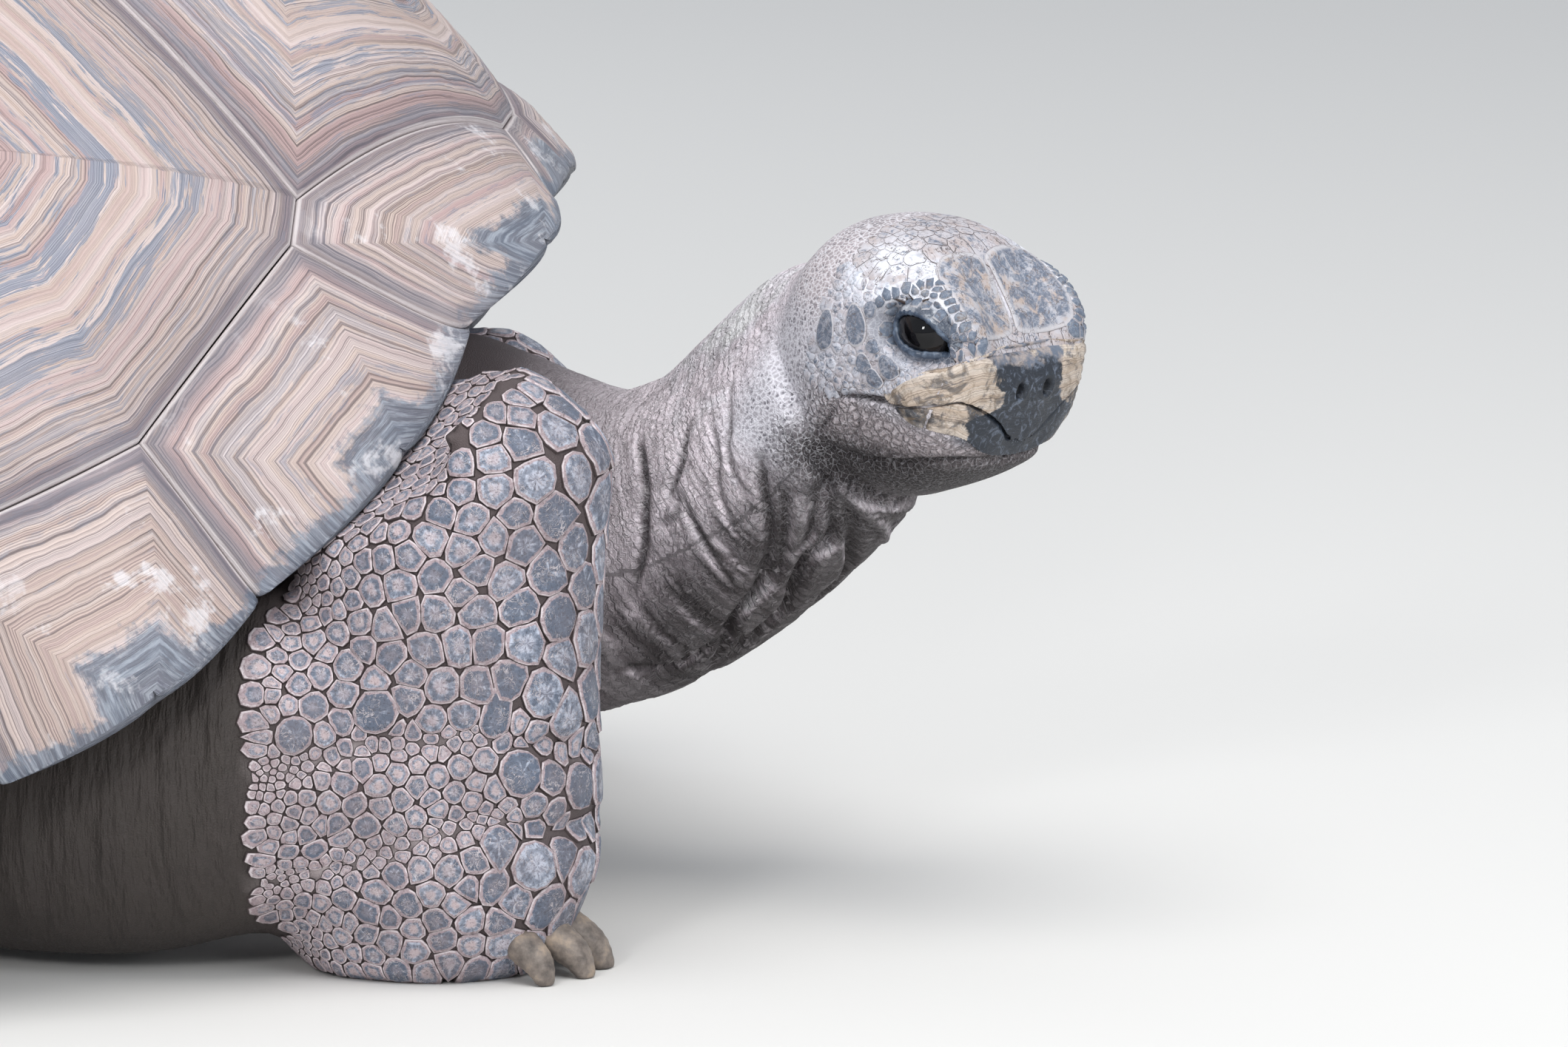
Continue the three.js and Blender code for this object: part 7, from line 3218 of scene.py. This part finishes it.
@dataclass(frozen=True)
class WetEyeFinish:
    """An eye: nearly black, under a clear wet surface."""

    name: str
    iris: Colour = (0.008, 0.007, 0.008)
    dark: Colour = (0.003, 0.003, 0.004)

    def make(self) -> bpy.types.Material:
        """Builds the material.

        Returns:
            The material.
        """
        p = Paint(self.name)
        ring = p.ease(p.read("pupil"), 0.42, 0.5)
        outer = p.ease(p.read("pupil"), 0.78, 0.95)
        colour = p.mix(ring, self.dark, self.iris)
        colour = p.mix(outer, colour, self.dark)
        p.surface(Base_Color=colour, Roughness=0.03, IOR=1.38)
        return p.material


@dataclass(frozen=True)
class LidFinish:
    """The wet slate edge of the lids, with lighter patches that are partly wear and partly a painted sheen.
    """

    name: str
    slate: Colour = (0.040, 0.058, 0.092)
    # worn: a lighter blue-grey, partly wear and partly a painted sheen
    worn: Colour = (0.17, 0.22, 0.30)

    def make(self) -> bpy.types.Material:
        """Builds the material.

        Returns:
            The material.
        """
        p = Paint(self.name)
        cloud = p.noise(320, 4)
        # lighter patches: partly wear, partly a painted sheen
        colour = p.mix(p.ease(cloud, 0.45, 0.75), self.slate, self.worn)
        normal = p.bump(p.noise(700, 3), 0.25, 0.0003)
        p.surface(Base_Color=colour, Roughness=0.28, Normal=normal)
        return p.material


@dataclass(frozen=True)
class BeakFinish:
    """Beak horn: tan with growth lines, turning to dark slate at the snout and tip, with painted shade in the
    nostrils.
    """

    name: str
    tan: Colour = (0.50, 0.395, 0.31)
    pale: Colour = (0.62, 0.54, 0.47)
    line: Colour = (0.12, 0.09, 0.075)
    slate: Colour = (0.014, 0.019, 0.029)
    worn: Colour = (0.125, 0.15, 0.20)
    muzzle: Colour = (0.36, 0.31, 0.29)

    def make(self) -> bpy.types.Material:
        """Builds the material.

        Returns:
            The material.
        """
        p = Paint(self.name)
        ring = p.math("ADD", p.read("ring"),
                      p.math("MULTIPLY", p.math("SUBTRACT", p.noise(110, 4), 0.5), 3.2))
        fine = p.line_noise(ring, 2.1, 3, 0.7)
        wide = p.line_noise(ring, 0.35, 2)
        colour = p.mix(p.ease(wide, 0.35, 0.65), self.tan, self.pale)
        colour = p.mix(p.ease(fine, 0.5, 0.3, 0.0, 0.75), colour, self.line)
        patch = p.noise(80, 6, None, 0.66)
        tip = p.math("ADD", p.read("tip"), p.math("MULTIPLY", p.math("SUBTRACT", patch, 0.5), 2.6))
        low = p.math("ADD", p.read("low"), p.math("MULTIPLY", p.math("SUBTRACT", patch, 0.5), 2.0))
        mixed = p.math("MULTIPLY", p.read("jaw"), p.ease(patch, 0.44, 0.54, 0.0, 0.85))
        cold = p.mix(p.ease(p.noise(240, 6, None, 0.72, 1.6), 0.50, 0.68, 0.0, 0.95), self.slate, self.worn)
        bridge = p.mix(p.ease(p.noise(140, 5, None, 0.65), 0.42, 0.6), self.worn, self.muzzle)
        colour = p.mix(p.ease(tip, 0.40, 0.60), colour, p.mix(p.ease(low, 0.25, 0.65), bridge, cold))
        colour = p.mix(p.ease(p.noise(95, 6, None, 0.7, 1.2), 0.48, 0.60, 0.0, 0.72), colour, cold)
        colour = p.mix(mixed, colour, cold)
        stain = p.ease(p.noise(170, 6, None, 0.72, 1.2), 0.46, 0.66, 0.0, 0.7)
        colour = p.mix(p.math("MULTIPLY", stain, p.ease(tip, 0.6, 0.3)), colour, (0.20, 0.145, 0.095))
        # painted shade: the nostril openings are painted nearly black
        colour = p.mix(p.read("hole"), colour, (0.003, 0.003, 0.004))
        height = p.math("ADD", p.math("MULTIPLY", fine, 0.7), p.math("MULTIPLY", p.noise(500, 4), 0.5))
        normal = p.bump(height, 0.6, 0.0006)
        p.surface(Base_Color=colour, Roughness=p.ease(patch, 0.3, 0.7, 0.34, 0.56), Normal=normal, IOR=1.5)
        return p.material


@dataclass(frozen=True)
class ClawFinish:
    """Blunt horn of the claws: grey-brown, mottled from dark to pale tan."""

    name: str

    def make(self) -> bpy.types.Material:
        """Builds the material.

        Returns:
            The material.
        """
        p = Paint(self.name)
        grain = p.noise(120, 5, None, 0.65)
        colour = p.ramp(grain,
                        [(0.3, (0.07, 0.058, 0.052)), (0.5, (0.20, 0.165, 0.14)), (0.72, (0.40, 0.31, 0.23))])
        normal = p.bump(p.noise(300, 4), 0.5, 0.0006)
        p.surface(Base_Color=colour, Roughness=0.55, Normal=normal)
        return p.material


# ------------------------------------------------------------------ the studio
@dataclass(frozen=True)
class Studio:
    """A pale floor, soft light and the camera. Metres and degrees."""

    target: Point = (0.596, -0.100, 0.149)
    azimuth: float = 3.0
    elevation: float = 9.0
    distance: float = 4.0
    lens: float = 244.64

    def camera(self) -> None:
        """Sets the camera low at the animal's right side."""
        a, e = math.radians(self.azimuth), math.radians(self.elevation)
        back = Vector((math.sin(a) * math.cos(e), -math.cos(a) * math.cos(e), math.sin(e)))
        data = bpy.data.cameras.new("camera")
        data.sensor_width = 36
        data.lens = self.lens
        data.clip_end = 100
        camera = bpy.data.objects.new("camera", data)
        bpy.context.scene.collection.objects.link(camera)
        camera.location = Vector(self.target) + back * self.distance
        camera.rotation_euler = back.to_track_quat("Z", "Y").to_euler()
        bpy.context.scene.camera = camera

    def light(self, name: str, place: Point, aim: Point, size: float, power: float, colour: Colour) -> None:
        """Adds one soft square light.

        Args:
            name: the lamp's name.
            place: where it stands.
            aim: the point that it faces.
            size: the length of its side.
            power: its power, in watts.
            colour: the colour of its light.
        """
        data = bpy.data.lights.new(name, "AREA")
        data.size = size
        data.energy = power
        data.color = colour
        lamp = bpy.data.objects.new(name, data)
        bpy.context.scene.collection.objects.link(lamp)
        lamp.location = place
        lamp.rotation_euler = (Vector(place) - Vector(aim)).to_track_quat("Z", "Y").to_euler()

    def build(self) -> None:
        """Makes the floor, the lights and the camera."""
        self.camera()
        bpy.ops.object.select_all(action="DESELECT")
        bpy.ops.mesh.primitive_plane_add(size=60)
        floor = bpy.context.object
        floor.name = "floor"
        floor.data.transform(floor.matrix_world)
        paint = Paint("floor_paint")
        paint.surface(Base_Color=(0.70, 0.69, 0.67), Roughness=0.85)
        floor.data.materials.append(paint.material)
        self.light("sky_light", (0.5, -0.9, 3.0), (0.35, -0.1, 0.2), 2.4, 62, (1.0, 0.985, 0.96))
        self.light("front_light", (2.6, -2.4, 1.7), (0.5, -0.1, 0.2), 1.8, 46, (0.96, 0.98, 1.0))
        self.light("eye_light", (-0.20, -2.6, 1.15), (0.67, -0.15, 0.23), 0.42, 18, (1.0, 1.0, 1.0))
        self.light("back_light", (-1.5, 2.6, 2.0), (0.2, 0, 0.2), 2.0, 18, (0.95, 0.97, 1.0))
        world = bpy.data.worlds.new("studio")
        world.use_nodes = True
        ground = world.node_tree.nodes["Background"]
        ground.inputs["Color"].default_value = (0.78, 0.82, 0.88, 1)
        ground.inputs["Strength"].default_value = 0.72
        bpy.context.scene.world = world
        bpy.context.scene.view_settings.view_transform = "Standard"


def main() -> None:
    """Builds the tortoise, piece by piece."""
    Studio().build()
    horn = HornFinish("shell_horn").make()
    belly_horn = HornFinish("belly_horn", tan=(0.36, 0.28, 0.2), pale=(0.42, 0.34, 0.25)).make()
    Carapace(horn).build()
    Plastron().build(belly_horn)
    skin = Skin(HideFinish("hide").make())
    skin.build()
    Eyes(WetEyeFinish("wet_eye").make(), LidFinish("lid_rim").make()).build()
    Beak(BeakFinish("beak_horn").make()).build()
    Claws(ClawFinish("claw_horn").make()).build()
    faces = SkinFaces(skin.piece)
    LegScales(ScaleFinish("leg_scale").make()).build(faces)
    HeadShields(ShieldFinish("head_shield", tan=(0.42, 0.34, 0.30), blueness=0.055,
                             flecks=165.0).make()).build(faces)
    pebble = ShieldFinish("eyelid_pebble", tan=(0.30, 0.27, 0.26), pale=(0.26, 0.29, 0.34),
                          blueness=-0.08).make()
    crown = ShieldFinish(
        "crown_plate", tan=(0.42, 0.36, 0.355), pale=(0.46, 0.44, 0.47), blueness=-0.05, small_blue=0.0,
        flecks=260.0,
        rimmed=0.15, crack=0.93, line=(0.05, 0.034, 0.030), dashes=0.85,
    ).make()
    temple = ShieldFinish(
        "temple_scale", tan=(0.46, 0.42, 0.44), pale=(0.52, 0.53, 0.59), blueness=-0.02, small_blue=0.0,
        flecks=420.0,
        rimmed=0.5, crack=0.97, edge=(0.66, 0.65, 0.69), line=(0.16, 0.14, 0.15), dashes=0.6,
    ).make()
    HeadScales(pebble, crown, temple).build(faces)


if __name__ == "__main__":
    main()
